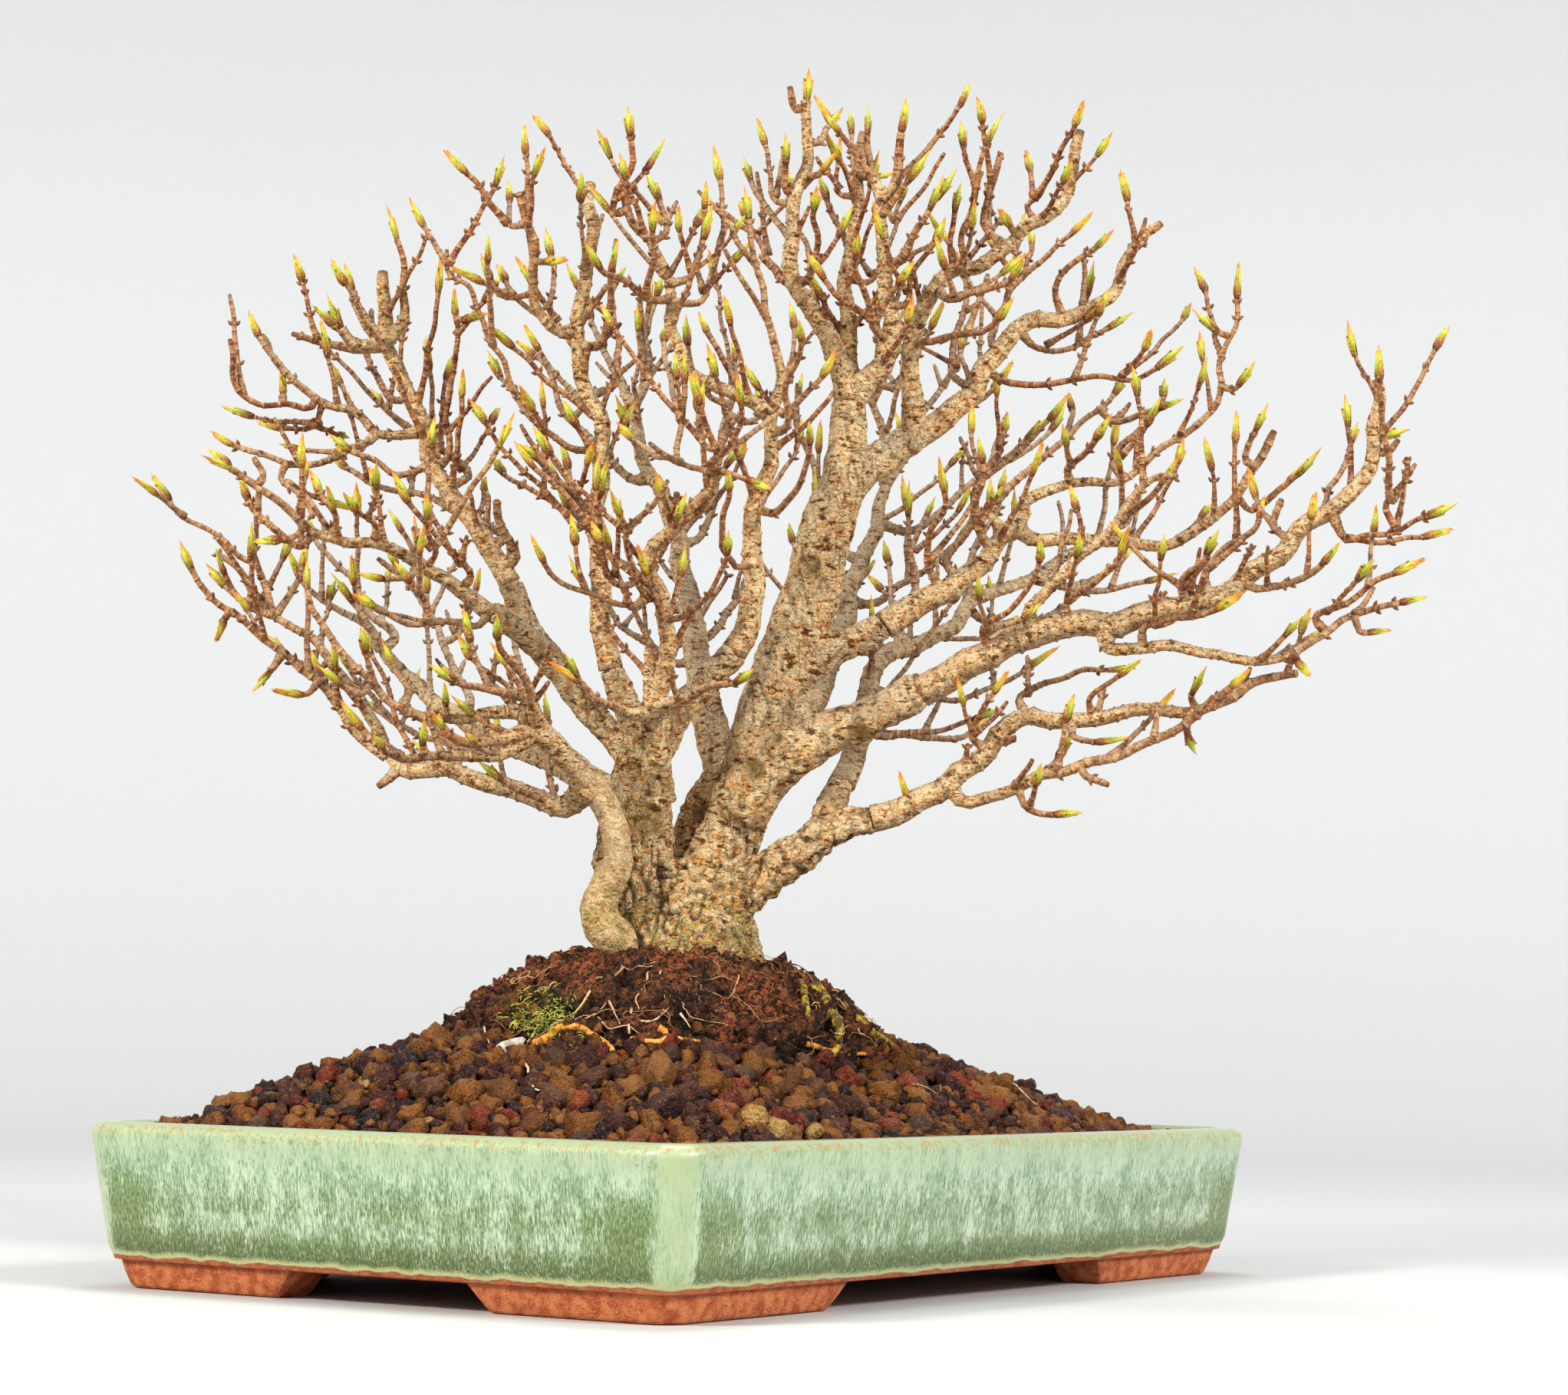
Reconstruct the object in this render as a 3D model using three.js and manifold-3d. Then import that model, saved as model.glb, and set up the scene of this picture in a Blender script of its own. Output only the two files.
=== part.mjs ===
// A trident maple bonsai in early spring, in a rectangular glazed pot.
// Millimetres, +Z up, the pot's long side along X. The origin is the middle of the object's footprint.

import * as THREE from 'three';
import { mergeVertices } from 'three/addons/utils/BufferGeometryUtils.js';
import Module from 'manifold-3d';

const wasm = await Module();
wasm.setup();

// Driving dimensions of the pot
const POT = {
  length: 279,
  width: 179,
  height: 40,
  footHeight: 6.6,
  flare: 4.2,
  lip: 3,
  wall: 7,
  floor: 6.4,
  cornerRadius: 11,
  cornerFacets: 4,
  footWidth: 13,
  footAlongLength: 65,
  footAlongWidth: 50,
  footSetIn: 2,
  footLean: 2,
  footSlope: 6,
  drainRadius: 9,
  drainSpacing: 130,
};

// Screens, clips and the anchor wire inside the pot
const SCREEN = { side: 30, thickness: 1.2, holes: 3, hole: 6, bar: 2.6 };
const CLIP_WIRE = 1.2;
const ANCHOR_WIRE = 2.2;

// The heap of granules and the old root ball
const SOIL = {
  edge: 36.8,
  rise: 43,
  squareness: 5,
  shoulder: 8,
  shoulderAt: 90,
  reach: 18,
  cell: 8.5,
  grain: 2.2,
  scatter: 0.6,
  seed: 11,
};
const BALL = {
  u: -11,
  lengthwise: 1.06,
  across: 0.93,
  seed: 23,
  roughness: 1.1,
  reach: 50,
  roughFrom: 60,
  segments: 24,
  profile: [[0, 20], [48, 20], [58, 40], [61, 54], [57.5, 65], [49.5, 71], [43, 76], [35, 80.5], [22, 84],
    [0, 85.5]],
};

// Gap between pieces that rest on each other, and between sprays that pass close by
const GAP = 0.3;
const CLEARANCE = 0.8;
const OWN_FORK = 22;

// A limb is followed from this far beyond its parent's bark, and bent towards or away from the viewer where
// it would cross other wood, by the first of these amounts that clears it
const FOOT_COVER = 5;
const WORTH_BENDING = 0.05;
const BENDS = [0, 4, -4, 8, -8, 12, -12, 17, -17, 23, -23];

// Edges shorter than this are taken out of the joined wood
const FINENESS = 0.15;

// The tree is described as it is seen from its front, in the plane through the pot's middle:
// u to the right and v up in that plane, w towards the viewer, who stands this far away.
const FRONT = { distance: 1000, eyeU: 18.4, eyeHeight: 67.2, turn: THREE.MathUtils.degToRad(33.2) };

const UP = new THREE.Vector3(0, 0, 1);
const BUD = 'bud';
const CUT = 'cut';

// Trunk and thick limbs: stations of [u, v, w, radius]
const TRUNK = {
  flare: [[-5, 66, 0, 15], [-5, 74, 0, 20.5], [-5, 82, 0, 20], [-4.5, 87, 0, 17.2], [-4, 93, 0, 15.2],
    [-4, 100, -1, 12.5], [-3, 106, -2, 8]],
  stem: [[-2, 90, -1, 12], [0, 100, -1, 10.6], [2.5, 108, -2, 8.6], [5, 116, -3, 7.8], [7.5, 124, -3, 7.9],
    [10.5, 132, -3, 8.2], [12, 140, -3, 8.1], [14, 150, -3, 7], [17.5, 160, -4, 6.8], [22, 170, -4, 7.8],
    [25, 180, -4, 7.2], [27, 190, -4, 7], [30, 200, -4, 6.5], [33, 210, -4, 6], [34, 220, -4, 5.1],
    [34, 230, -4, 4.4]],
  left_stem: [[-15, 84, 1, 11], [-18, 92, 1, 10.8], [-19.5, 100, 0, 10.2], [-19.5, 108, 0, 9.9],
    [-19.5, 116, 0, 9.8], [-19.5, 122, 1, 9], [-19.5, 128, 1, 7.4], [-20, 135, 2, 5.4], [-20, 142, 2, 4]],
  recess: [[-6, 90, -4, 8], [-5.5, 98, -6, 7], [-5, 107, -8, 6], [-4.5, 116, -9, 5.4], [-2, 124, -9, 4.6],
    [3, 132, -7, 3.8]],
  hook: [[-18, 83, 12, 5], [-24, 87, 14, 5.7], [-28.8, 93, 14, 4.9], [-28, 99, 14.5, 4.3], [-24.8, 105, 15, 3.9],
    [-24.4, 113, 15, 3.6], [-26.5, 120, 15, 3.3], [-30, 126, 17, 3.2], [-35, 131.5, 20, 3.1], [-40, 136, 24, 2.9],
    [-46, 142, 28, 3.1]],
  left: [[-19, 132, 0, 4.6], [-26, 140, -1, 4.2], [-31, 145, -1, 3.9], [-38, 154, -1, 3.7],
    [-46, 164, -1, 3.6], [-51, 172, -2, 3.5], [-54, 180, -3, 3.4]],
  left_fork: [[-43, 160, -1, 3.2], [-51, 167, 7, 2.9], [-59, 172.5, 14, 2.8]],
  left_back: [[-19, 137, 2, 3.8], [-21, 144, 5, 3.5], [-24, 151, 6, 3.3], [-27, 158, 7, 3.1]],
  front: [[-14, 124, 5, 4.2], [-14, 132, 9, 3.4], [-15, 141, 13, 3.1], [-16, 148, 16, 3]],
  middle: [[-16, 132, 3, 4], [-12, 140, 6, 3.8], [-8, 148, 9, 3.6], [0, 157, 10, 3.8], [5, 163, 11, 3.8]],
  low_right: [[4, 97, 3, 8], [10, 102, 5, 6.8], [16, 106.5, 6, 6], [22, 110.5, 7, 5.4], [28, 114.5, 8, 5],
    [34, 118, 8, 3.9], [42, 120, 9, 3.6]],
  low_right_fork: [[28, 115, 8, 4.4], [31, 122, 1, 3.9], [34, 129, -9, 3.7]],
  right: [[8, 122, 0, 8], [14, 130, 4, 7], [20, 135.5, 6, 6.3], [28, 140.5, 8, 5.8], [36, 144.5, 10, 5],
    [46, 149, 12, 4.8], [54, 153.5, 14, 4.6]],
  right_back: [[15, 152, -4, 5], [22, 157.5, -4, 4.4], [29, 162.5, -4, 3.9], [37, 167, -5, 3.8],
    [44, 171, -5, 3.7]],
  high_right: [[33, 206, -5, 5], [38, 211, -9, 4.6], [45, 216, -14, 4.3], [52, 221, -18, 4]],
  back: [[8, 120, -6, 6.5], [4, 130, -15, 5.4], [0, 141, -23, 4.8], [-3, 152, -30, 4.4]],
  back_left: [[-17, 118, -3, 5], [-25, 124, -12, 4.2], [-34, 130, -22, 3.8]],
  back_right: [[14, 136, -8, 6], [20, 143, -19, 4.8], [26, 151, -30, 4.3]],
};

// Limbs of each spray: [name, what it grows from, radius at foot, radius at tip, depth gained, tip,
// [u, v], [u, v], and so on from foot to tip]
const SPRAYS = {
  spray_low_left: [
    ['low_left', 'hook', 2.9, 2.1, -26, CUT, [-38, 121.5], [-48, 124.5], [-58, 127], [-68, 130], [-75, 131],
      [-80, 130.5], [-85, 134]],
    ['low_left_stub', 'low_left', 1.6, 1.5, 2, CUT, [-83, 129.5], [-87, 126]],
    ['low_left_outer', 'low_left', 1.9, 1.2, 10, BUD, [-92, 139], [-97, 146], [-102, 152], [-110, 158],
      [-118, 164], [-124, 169], [-130, 173], [-134, 178], [-139, 184], [-143.5, 189]],
    ['low_left_inner', 'low_left', 1.9, 1.4, -18, CUT, [-88, 142], [-93, 150], [-98, 156], [-104, 163],
      [-110, 167], [-116, 170.5]],
    ['far_left', 'low_left_inner', 1.4, 1.1, -6, BUD, [-118.5, 178.5], [-121, 184], [-125.5, 186.5],
      [-130, 190],
      [-134, 193], [-140.5, 196.5], [-145, 201.5], [-148.5, 207]],
    ['far_left_b', 'low_left_inner', 1.3, 1.1, 10, BUD, [-122, 173], [-127, 177.5], [-132, 189]],
    ['far_left_c', 'low_left_inner', 1.3, 1.2, -14, CUT, [-121, 177], [-125.5, 183], [-131, 187]],
    ['far_left_d', 'low_left_inner', 1.3, 1.1, -3, BUD, [-113, 174], [-109.5, 180], [-109.5, 192]],
    ['low_left_a', 'low_left_outer', 1.3, 1.1, 9, BUD, [-117, 155], [-123, 157.5]],
    ['low_left_b', 'low_left_outer', 1.3, 1.1, 12, BUD, [-106, 150], [-114.5, 152]],
    ['low_left_c', 'low_left_outer', 1.3, 1.1, -6, BUD, [-129, 169], [-134.5, 171.5]],
    ['low_left_d', 'low_left_inner', 1.3, 1.1, -16, BUD, [-104, 156], [-112, 160], [-117, 166]],
    ['low_left_e', 'low_left', 1.4, 1.1, -24, BUD, [-66, 134], [-72, 141], [-80, 146], [-88, 150]],
  ],
  spray_hook: [
    ['knot_long', 'hook', 1.7, 1.1, 14, BUD, [-50, 146], [-58, 145.5], [-66, 144], [-74, 144], [-80, 146],
      [-84, 148], [-90, 153], [-96, 160], [-100, 164], [-106, 173], [-106, 187]],
    ['knot_low', 'hook', 1.8, 1.2, 20, BUD, [-54, 136], [-66, 134], [-75, 134.5], [-82, 134], [-89, 138],
      [-95, 149]],
    ['knot_gnarl', 'hook', 1.7, 1.3, 28, BUD, [-50, 141], [-57, 139], [-65, 138], [-70, 141], [-74, 148]],
    ['knot_up', 'hook', 1.6, 1.1, 22, BUD, [-49, 150], [-55, 152], [-60, 153], [-66, 154], [-74.5, 159.5]],
    ['knot_a', 'knot_long', 1.3, 1.1, 8, BUD, [-70, 149], [-72, 155]],
    ['knot_b', 'knot_low', 1.3, 1.1, 10, BUD, [-76, 138], [-80, 141.5]],
    ['knot_c', 'knot_long', 1.3, 1.1, -10, BUD, [-80, 150], [-84, 158], [-86, 165]],
    ['knot_d', 'knot_long', 1.2, 1.1, 10, BUD, [-92, 150], [-97, 152], [-103, 158]],
    ['knot_e', 'hook', 1.6, 1.1, 42, BUD, [-47, 148], [-50, 156], [-56, 163], [-58, 172]],
  ],
  spray_left_back: [
    ['grey_left', 'back_left', 3.4, 1.9, -42, CUT, [-41, 134], [-50, 137], [-60, 141], [-70, 147], [-79, 154],
      [-87, 162]],
    ['grey_left_a', 'grey_left', 1.6, 1.1, -24, BUD, [-84, 165], [-91, 172], [-96, 181], [-104, 189],
      [-109, 198]],
    ['grey_left_b', 'grey_left', 1.5, 1.1, 6, BUD, [-91, 168], [-99, 172], [-107, 178], [-113, 187]],
    ['grey_left_c', 'grey_left', 1.8, 1.1, -40, BUD, [-64, 148], [-69, 158], [-73, 169], [-81, 179],
      [-86, 190]],
    ['grey_left_d', 'grey_left', 1.6, 1.1, 8, BUD, [-50, 142], [-55, 151], [-62, 158], [-66, 168]],
    ['grey_left_e', 'grey_left', 1.5, 1.1, -40, BUD, [-62, 136], [-72, 138], [-82, 142], [-92, 149]],
    ['grey_left_f', 'grey_left_c', 1.3, 1.1, -18, BUD, [-69, 165], [-64, 174], [-62, 184]],
    ['grey_left_g', 'grey_left', 1.8, 1.1, -52, BUD, [-46, 143], [-50, 154], [-53, 167], [-56, 181],
      [-60, 196],
      [-61, 207]],
  ],
  spray_front_left: [
    ['front_left', 'left_fork', 2.6, 1.3, 38, BUD, [-69, 180], [-75, 183], [-83, 187.5],
      [-89, 190], [-97.5, 189.5], [-104.5, 192.5], [-110.5, 197], [-115.5, 200.5], [-120, 204], [-126, 208],
      [-131.5, 210.5], [-136, 213.5]],
    ['front_left_a', 'front_left', 1.2, 1.2, 4, CUT, [-119.5, 207], [-122, 212]],
    ['front_left_b', 'front_left', 1.3, 1.1, -8, BUD, [-109, 188.5], [-115.5, 192.5], [-121.5, 198.5],
      [-127, 208]],
    ['front_left_c', 'front_left', 1.4, 1.1, 12, BUD, [-64.5, 181.5], [-70, 188.5], [-77, 195.5],
      [-81.5, 201.5],
      [-85.5, 208.5]],
    ['front_left_d', 'front_left', 1.3, 1.1, 16, BUD, [-90, 195], [-95, 199], [-97, 206]],
    ['front_left_e', 'front_left', 1.3, 1.1, 14, BUD, [-80, 182], [-88, 181], [-94, 184]],
    ['front_left_f', 'front_left', 1.3, 1.1, -12, BUD, [-100, 195], [-104, 202], [-104, 210]],
    ['front_left_g', 'front_left', 1.3, 1.1, 10, BUD, [-110, 192], [-116, 190], [-122, 193]],
    ['front_left_h', 'front_left', 1.5, 1.1, 30, BUD, [-62, 169], [-70, 170], [-80, 169], [-88, 173],
      [-96, 179]],
    ['front_left_i', 'front_left_h', 1.3, 1.1, 10, BUD, [-76, 174], [-80, 180], [-82, 188]],
    ['front_left_j', 'front_left', 1.3, 1.1, 22, BUD, [-74, 187], [-76, 194], [-74, 203]],
  ],
  spray_left: [
    ['left_main', 'left', 3.2, 2.6, -8, CUT, [-60, 190], [-65, 197], [-71, 204], [-75, 211],
      [-77.5, 219.5], [-79.5, 225.5], [-84, 233], [-86.5, 238.5], [-88, 243]],
    ['left_thumb', 'left_main', 2.1, 2, 3, CUT, [-88.5, 250], [-89.5, 262.5]],
    ['left_crook', 'left_main', 1.5, 1.1, 6, BUD, [-84, 249], [-83.5, 259], [-84.5, 267], [-86, 272],
      [-89, 279]],
    ['left_tip_a', 'left_main', 1.5, 1.1, -8, BUD, [-94, 249], [-96, 253], [-99, 265]],
    ['left_tip_b', 'left_main', 1.4, 1.1, 10, BUD, [-97, 243], [-101, 248], [-104, 255]],
    ['left_tip_c', 'left_main', 1.4, 1.3, -4, CUT, [-97, 242], [-105, 243], [-113, 245]],
    ['left_loop', 'left_main', 1.8, 1.5, 12, CUT, [-53, 187], [-56, 193], [-58, 202]],
    ['left_arm', 'left_main', 2, 1.3, 6, BUD, [-80, 219.5], [-90, 219], [-95, 224], [-105, 228], [-113, 233],
      [-118, 239], [-122, 245], [-127.5, 250.5]],
    ['left_arm_b', 'left_arm', 1.4, 1.3, 9, CUT, [-107.5, 226], [-114, 226.5], [-121, 226.5], [-126, 229],
      [-128.5, 234], [-129.5, 243]],
    ['left_arm_c', 'left_arm', 1.5, 1.1, 18, BUD, [-92.5, 217], [-97.5, 215], [-102, 211.5], [-110.5, 210],
      [-119, 213], [-125, 214], [-129, 216], [-133, 222.5]],
    ['left_arm_d', 'left_arm_c', 1.2, 1.1, 5, CUT, [-115, 207], [-110, 202.5], [-106, 196]],
    ['left_arm_e', 'left_arm', 1.3, 1.1, -10, BUD, [-107, 221], [-114, 220], [-121, 223.5]],
    ['left_arm_f', 'left_arm_b', 1.2, 1.1, -6, BUD, [-115, 230], [-118, 234.5]],
    ['left_low_arm', 'left_main', 1.5, 1.3, 14, BUD, [-84.5, 208.5], [-90.5, 212], [-96.5, 214.5],
      [-101, 222]],
    ['left_rod', 'left_main', 1.4, 1.1, -8, BUD, [-72, 212], [-72, 225], [-70, 238], [-70, 248],
      [-72, 258.5]],
    ['left_rod_b', 'left_rod', 1.2, 1.1, 4, BUD, [-67, 250], [-67, 256]],
    ['left_back_a', 'left_main', 1.6, 1.1, -34, BUD, [-84, 228], [-91, 235], [-95, 243]],
    ['left_back_b', 'left_main', 1.7, 1.1, -46, BUD, [-66, 208], [-74, 216], [-84, 222], [-92, 231]],
    ['left_back_c', 'left_main', 1.6, 1.1, -40, BUD, [-56, 192], [-66, 198], [-78, 203], [-92, 206],
      [-103, 213]],
  ],
  spray_left_top: [
    ['left_rise', 'left_back', 2.9, 2, 4, CUT, [-29.5, 170], [-30, 180], [-31.5, 195], [-31, 213], [-31, 222],
      [-34, 229], [-37, 238], [-38, 248], [-36.5, 258], [-35, 268], [-34.5, 277]],
    ['left_rise_fork', 'left_rise', 1.8, 1.4, 12, CUT, [-42, 247], [-48, 252], [-50, 262], [-50, 270],
      [-52, 277],
      [-54, 284]],
    ['left_rise_a', 'left_rise_fork', 1.3, 1.2, -4, CUT, [-56, 275], [-60, 278]],
    ['left_rise_b', 'left_rise_fork', 1.4, 1.1, -9, BUD, [-57, 256], [-61, 260], [-66, 266.5]],
    ['left_rise_c', 'left_rise_fork', 1.2, 1.1, 9, BUD, [-46, 266], [-45, 272]],
    ['left_rise_end', 'left_rise', 1.6, 1.5, -5, CUT, [-36, 282], [-35, 287]],
    ['red_rod', 'left_rise', 1.5, 1.1, 20, CUT, [-39, 216], [-46, 220.5], [-50.5, 226.5], [-54.5, 232.5],
      [-57.5, 239.5], [-60.5, 243.5], [-63.5, 250.5], [-67, 259.5], [-72, 262], [-73, 268]],
    ['left_rise_d', 'left_rise', 1.5, 1.1, -38, BUD, [-36, 196], [-44, 202], [-52, 206], [-60, 213]],
    ['left_rise_e', 'left_rise', 1.5, 1.1, -44, BUD, [-29, 232], [-27, 243], [-29, 254], [-27, 265]],
    ['left_rise_f', 'left_rise', 1.4, 1.1, 26, BUD, [-34, 200], [-41, 206], [-47, 212], [-53, 219]],
    ['left_rise_g', 'left_rise', 1.4, 1.1, -30, BUD, [-41, 246], [-45, 255], [-44, 264], [-47, 273]],
    ['left_rise_h', 'left_rise', 1.5, 1.1, 24, BUD, [-32, 244], [-29, 253], [-30, 262], [-27, 270]],
  ],
  spray_front: [
    ['front_rod', 'front', 2.7, 2.2, 18, CUT, [-12, 160], [-12.5, 168], [-14, 176.5], [-17.5, 186],
      [-16, 191]],
    ['front_stub', 'front', 2.2, 2.1, 2, CUT, [-16.5, 156], [-16.5, 164]],
    ['front_red', 'front_rod', 1.9, 1.6, 12, CUT, [-13, 194], [-8, 199], [-5, 203], [-1.5, 208], [0, 213],
      [2, 222]],
    ['front_red_a', 'front_red', 1.3, 1.1, 8, BUD, [-4, 217.5], [-5, 223], [-5, 235.5]],
    ['front_red_b', 'front_red', 1.3, 1.1, 8, BUD, [4, 210], [10, 208.5], [15, 212]],
    ['front_red_c', 'front_red', 1.3, 1.1, -8, BUD, [-10, 213], [-10, 225], [-9, 232], [-10, 242]],
    ['front_cut', 'front_rod', 1.4, 1.3, 14, CUT, [-11, 196], [-10, 205]],
    ['front_a', 'front_rod', 1.4, 1.1, 26, BUD, [-23, 175], [-31, 178], [-40, 181], [-50, 192.5]],
    ['front_b', 'front_rod', 1.3, 1.1, 18, BUD, [-25, 180], [-32, 192], [-40, 203], [-50, 213], [-53, 218]],
    ['front_c', 'front_rod', 1.3, 1.1, 32, BUD, [-8, 172], [-2, 178], [2, 187], [2, 196]],
    ['front_d', 'front_rod', 1.4, 1.1, 46, BUD, [-16, 177], [-22, 184], [-24, 194], [-28, 203]],
    ['front_e', 'front', 1.4, 1.1, 26, BUD, [-9, 150], [-2, 153.5], [6, 155], [13, 156]],
    ['front_f', 'front', 1.4, 1.1, 30, BUD, [-20, 146], [-27, 148], [-34, 152], [-38, 162]],
    ['front_g', 'front_red', 1.3, 1.1, 26, BUD, [-2, 212], [3, 219], [6, 227], [5, 236]],
  ],
  spray_middle: [
    ['middle_rod', 'middle', 3.5, 2.2, 10, CUT, [8, 168], [10, 176], [10, 185], [9, 195], [12, 208],
      [14, 218],
      [13, 226]],
    ['middle_pink', 'middle_rod', 2, 1.9, 4, CUT, [10, 229], [4, 231.5], [-2, 234], [-8.5, 237]],
    ['middle_rise', 'middle_pink', 1.9, 1.5, 3, CUT, [-11, 243], [-13, 249], [-13.5, 257.5], [-15.5, 265.5],
      [-19.5, 271.5], [-24, 275.5], [-25.5, 281], [-26, 287]],
    ['middle_red', 'middle_rise', 1.3, 1.1, 9, BUD, [-29, 279], [-28, 285], [-25, 291], [-24.5, 297],
      [-25.5, 309]],
    ['middle_a', 'middle_rise', 1.3, 1.1, -6, BUD, [-15, 274], [-17, 282], [-20, 290.5]],
    ['middle_b', 'middle_rise', 1.4, 1.1, 9, BUD, [-9, 262], [-6, 270], [-5, 280], [-5, 290]],
    ['middle_c', 'middle_rise', 1.4, 1.1, -12, BUD, [-6, 256], [-2, 265], [0, 276], [-1, 286], [-1, 296.5]],
    ['middle_d', 'middle_rod', 1.6, 1.1, 14, BUD, [16, 234], [15, 243], [12, 252], [10, 262], [7, 275],
      [6.5, 288]],
    ['middle_e', 'middle_rod', 1.4, 1.1, 28, BUD, [15, 200], [21, 207], [24, 216], [23, 226]],
    ['middle_f', 'middle_rod', 1.4, 1.1, 30, BUD, [5, 186], [1, 194], [3, 205], [0, 213]],
    ['middle_g', 'middle_rise', 1.4, 1.1, 20, BUD, [-19, 256], [-26, 261], [-32, 264], [-36, 272]],
    ['middle_h', 'middle_rod', 1.5, 1.1, 36, BUD, [17, 222], [17, 232], [21, 242], [20, 253]],
  ],
  spray_top: [
    ['apex', 'stem', 3.2, 1.6, 2, BUD, [33, 236], [29, 246], [24, 254], [19.5, 260], [18.5, 267], [18, 276],
      [19, 285], [21.5, 294], [22, 303], [21, 309], [24, 318.5]],
    ['apex_cut', 'apex', 1.3, 1.3, 3, CUT, [19, 308], [17, 314]],
    ['apex_a', 'apex', 1.3, 1.1, 9, BUD, [16.5, 286], [16.5, 292], [19.5, 301.5]],
    ['apex_b', 'apex', 1.4, 1.1, -6, BUD, [14, 283], [12, 290], [11, 297], [10, 306.5]],
    ['apex_c', 'apex', 1.3, 1.1, -6, BUD, [25, 299], [27, 303], [32, 310]],
    ['apex_d', 'apex', 1.3, 1.1, 8, BUD, [24, 290], [27, 293], [30.5, 298]],
    ['pale', 'stem', 3, 2, 10, CUT, [38, 235], [43, 240], [44.5, 250], [43, 262], [42.5, 270], [41.5, 279],
      [42, 284]],
    ['pale_a', 'pale', 1.4, 1.1, 3, BUD, [45, 287], [46, 297], [47.5, 311]],
    ['pale_b', 'pale', 1.4, 1.1, -6, BUD, [40, 289], [38, 298], [41.5, 309]],
    ['pale_c', 'pale', 1.4, 1.1, 16, BUD, [47, 268], [51, 274], [54, 281], [57.5, 289.5]],
    ['pale_d', 'pale', 1.4, 1.1, 14, BUD, [48, 256], [50, 265], [55, 272], [59, 281.5]],
    ['brown', 'stem', 2.6, 1.8, -14, CUT, [33, 240], [33, 250], [32, 262], [34, 272], [35, 282], [35.5, 292],
      [36, 302]],
    ['brown_a', 'brown', 1.3, 1.1, -6, BUD, [31, 285], [30, 294], [32, 301]],
    ['brown_b', 'brown', 1.3, 1.1, 7, BUD, [38, 290], [39, 297.5]],
    ['brown_c', 'brown', 1.5, 1.1, -38, BUD, [38, 262], [43, 270], [46, 280], [46, 290]],
    ['apex_e', 'apex', 1.5, 1.1, 26, BUD, [22, 262], [25, 271], [24, 280], [27, 288]],
    ['apex_f', 'apex', 1.6, 1.1, -44, BUD, [21, 258], [14, 265], [9, 274], [4, 283]],
    ['brown_d', 'brown', 1.6, 1.1, -50, BUD, [29, 250], [24, 260], [22, 272], [17, 282], [18, 292]],
    ['pale_e', 'pale', 1.5, 1.1, 34, BUD, [42, 248], [38, 257], [35, 266], [36, 276]],
  ],
  spray_top_right: [
    ['high', 'high_right', 3.7, 1.8, -12, CUT, [58, 225], [66, 232], [70, 240], [76, 247], [82, 252],
      [87, 253],
      [94, 254.5], [100, 258], [104.5, 262.5], [106.5, 269], [110.5, 275], [116, 279]],
    ['high_cut', 'high', 1.3, 1.3, -3, CUT, [108, 272], [112, 274]],
    ['high_a', 'high', 1.4, 1.1, 12, BUD, [88, 262], [94, 269], [100, 273], [105, 277.5]],
    ['fork', 'high_right', 2.8, 1.8, 30, CUT, [51, 230], [50, 240], [51, 250], [55, 258], [60, 265],
      [70, 267],
      [75, 272], [80, 277], [86, 281], [90, 285], [92, 291], [93, 298], [94, 303.5]],
    ['fork_a', 'fork', 1.5, 1.1, 8, BUD, [63, 275], [66, 282], [67, 289], [69, 300], [71, 308]],
    ['fork_b', 'fork', 1.5, 1.3, -7, CUT, [69, 278], [70, 285], [71, 290], [73, 296.5]],
    ['fork_c', 'fork', 1.3, 1.2, -5, CUT, [80, 283], [84, 287], [87, 293.5]],
    ['fork_d', 'fork', 1.3, 1.1, 10, BUD, [76, 277], [76, 285.5]],
    ['fork_e', 'fork', 1.3, 1.1, 9, BUD, [60, 272], [61, 280], [62, 289.5]],
    ['high_b', 'high', 1.5, 1.1, -20, BUD, [82, 246], [92, 246], [101, 250], [107, 254.5]],
    ['high_c', 'high', 1.6, 1.1, 8, BUD, [76, 236], [88, 236], [98, 238], [110, 238], [122, 245.5]],
    ['high_d', 'high', 1.6, 1.1, -44, BUD, [72, 246], [74, 256], [80, 266], [82, 277]],
    ['high_e', 'high', 1.6, 1.1, -48, BUD, [63, 236], [62, 247], [65, 258], [62, 268]],
    ['fork_f', 'fork', 1.5, 1.1, 34, BUD, [60, 258], [66, 259], [74, 262], [80, 268]],
    ['fork_g', 'fork', 1.5, 1.1, 34, BUD, [55, 246], [62, 248], [70, 250], [77, 257]],
  ],
  spray_right_high: [
    ['second', 'right_back', 3.4, 2, -8, CUT, [50, 175], [57, 178.5], [63.5, 182.5], [69, 187], [74, 193],
      [79, 199], [80, 204]],
    ['second_out', 'second', 1.9, 1.1, -8, BUD, [84.5, 206.5], [89, 208], [97.5, 210], [105, 209.5],
      [110, 213.5],
      [115.5, 218], [121, 222.5], [127, 226.5], [130, 230], [131.5, 236], [131.5, 241.5], [133, 246],
      [135.5, 252],
      [136.5, 260], [137, 267.5]],
    ['second_a', 'second_out', 1.2, 1.1, -4, BUD, [131, 250.5], [130.5, 258]],
    ['second_b', 'second_out', 1.3, 1.1, 7, BUD, [135, 235], [138.5, 239], [141, 243.5]],
    ['third', 'second', 2.3, 1.5, 18, CUT, [82, 195], [89, 194], [98, 194], [109.5, 193.5], [118.5, 194],
      [124, 196.5], [129, 200], [133, 203.5], [137, 208], [141, 214.5], [146, 224]],
    ['third_a', 'third', 1.3, 1.1, 8, BUD, [139, 216], [139.5, 221], [145.5, 232]],
    ['third_b', 'third', 1.3, 1.2, -8, BUD, [140.5, 203], [146.5, 207], [150, 211], [153, 217.5]],
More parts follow.
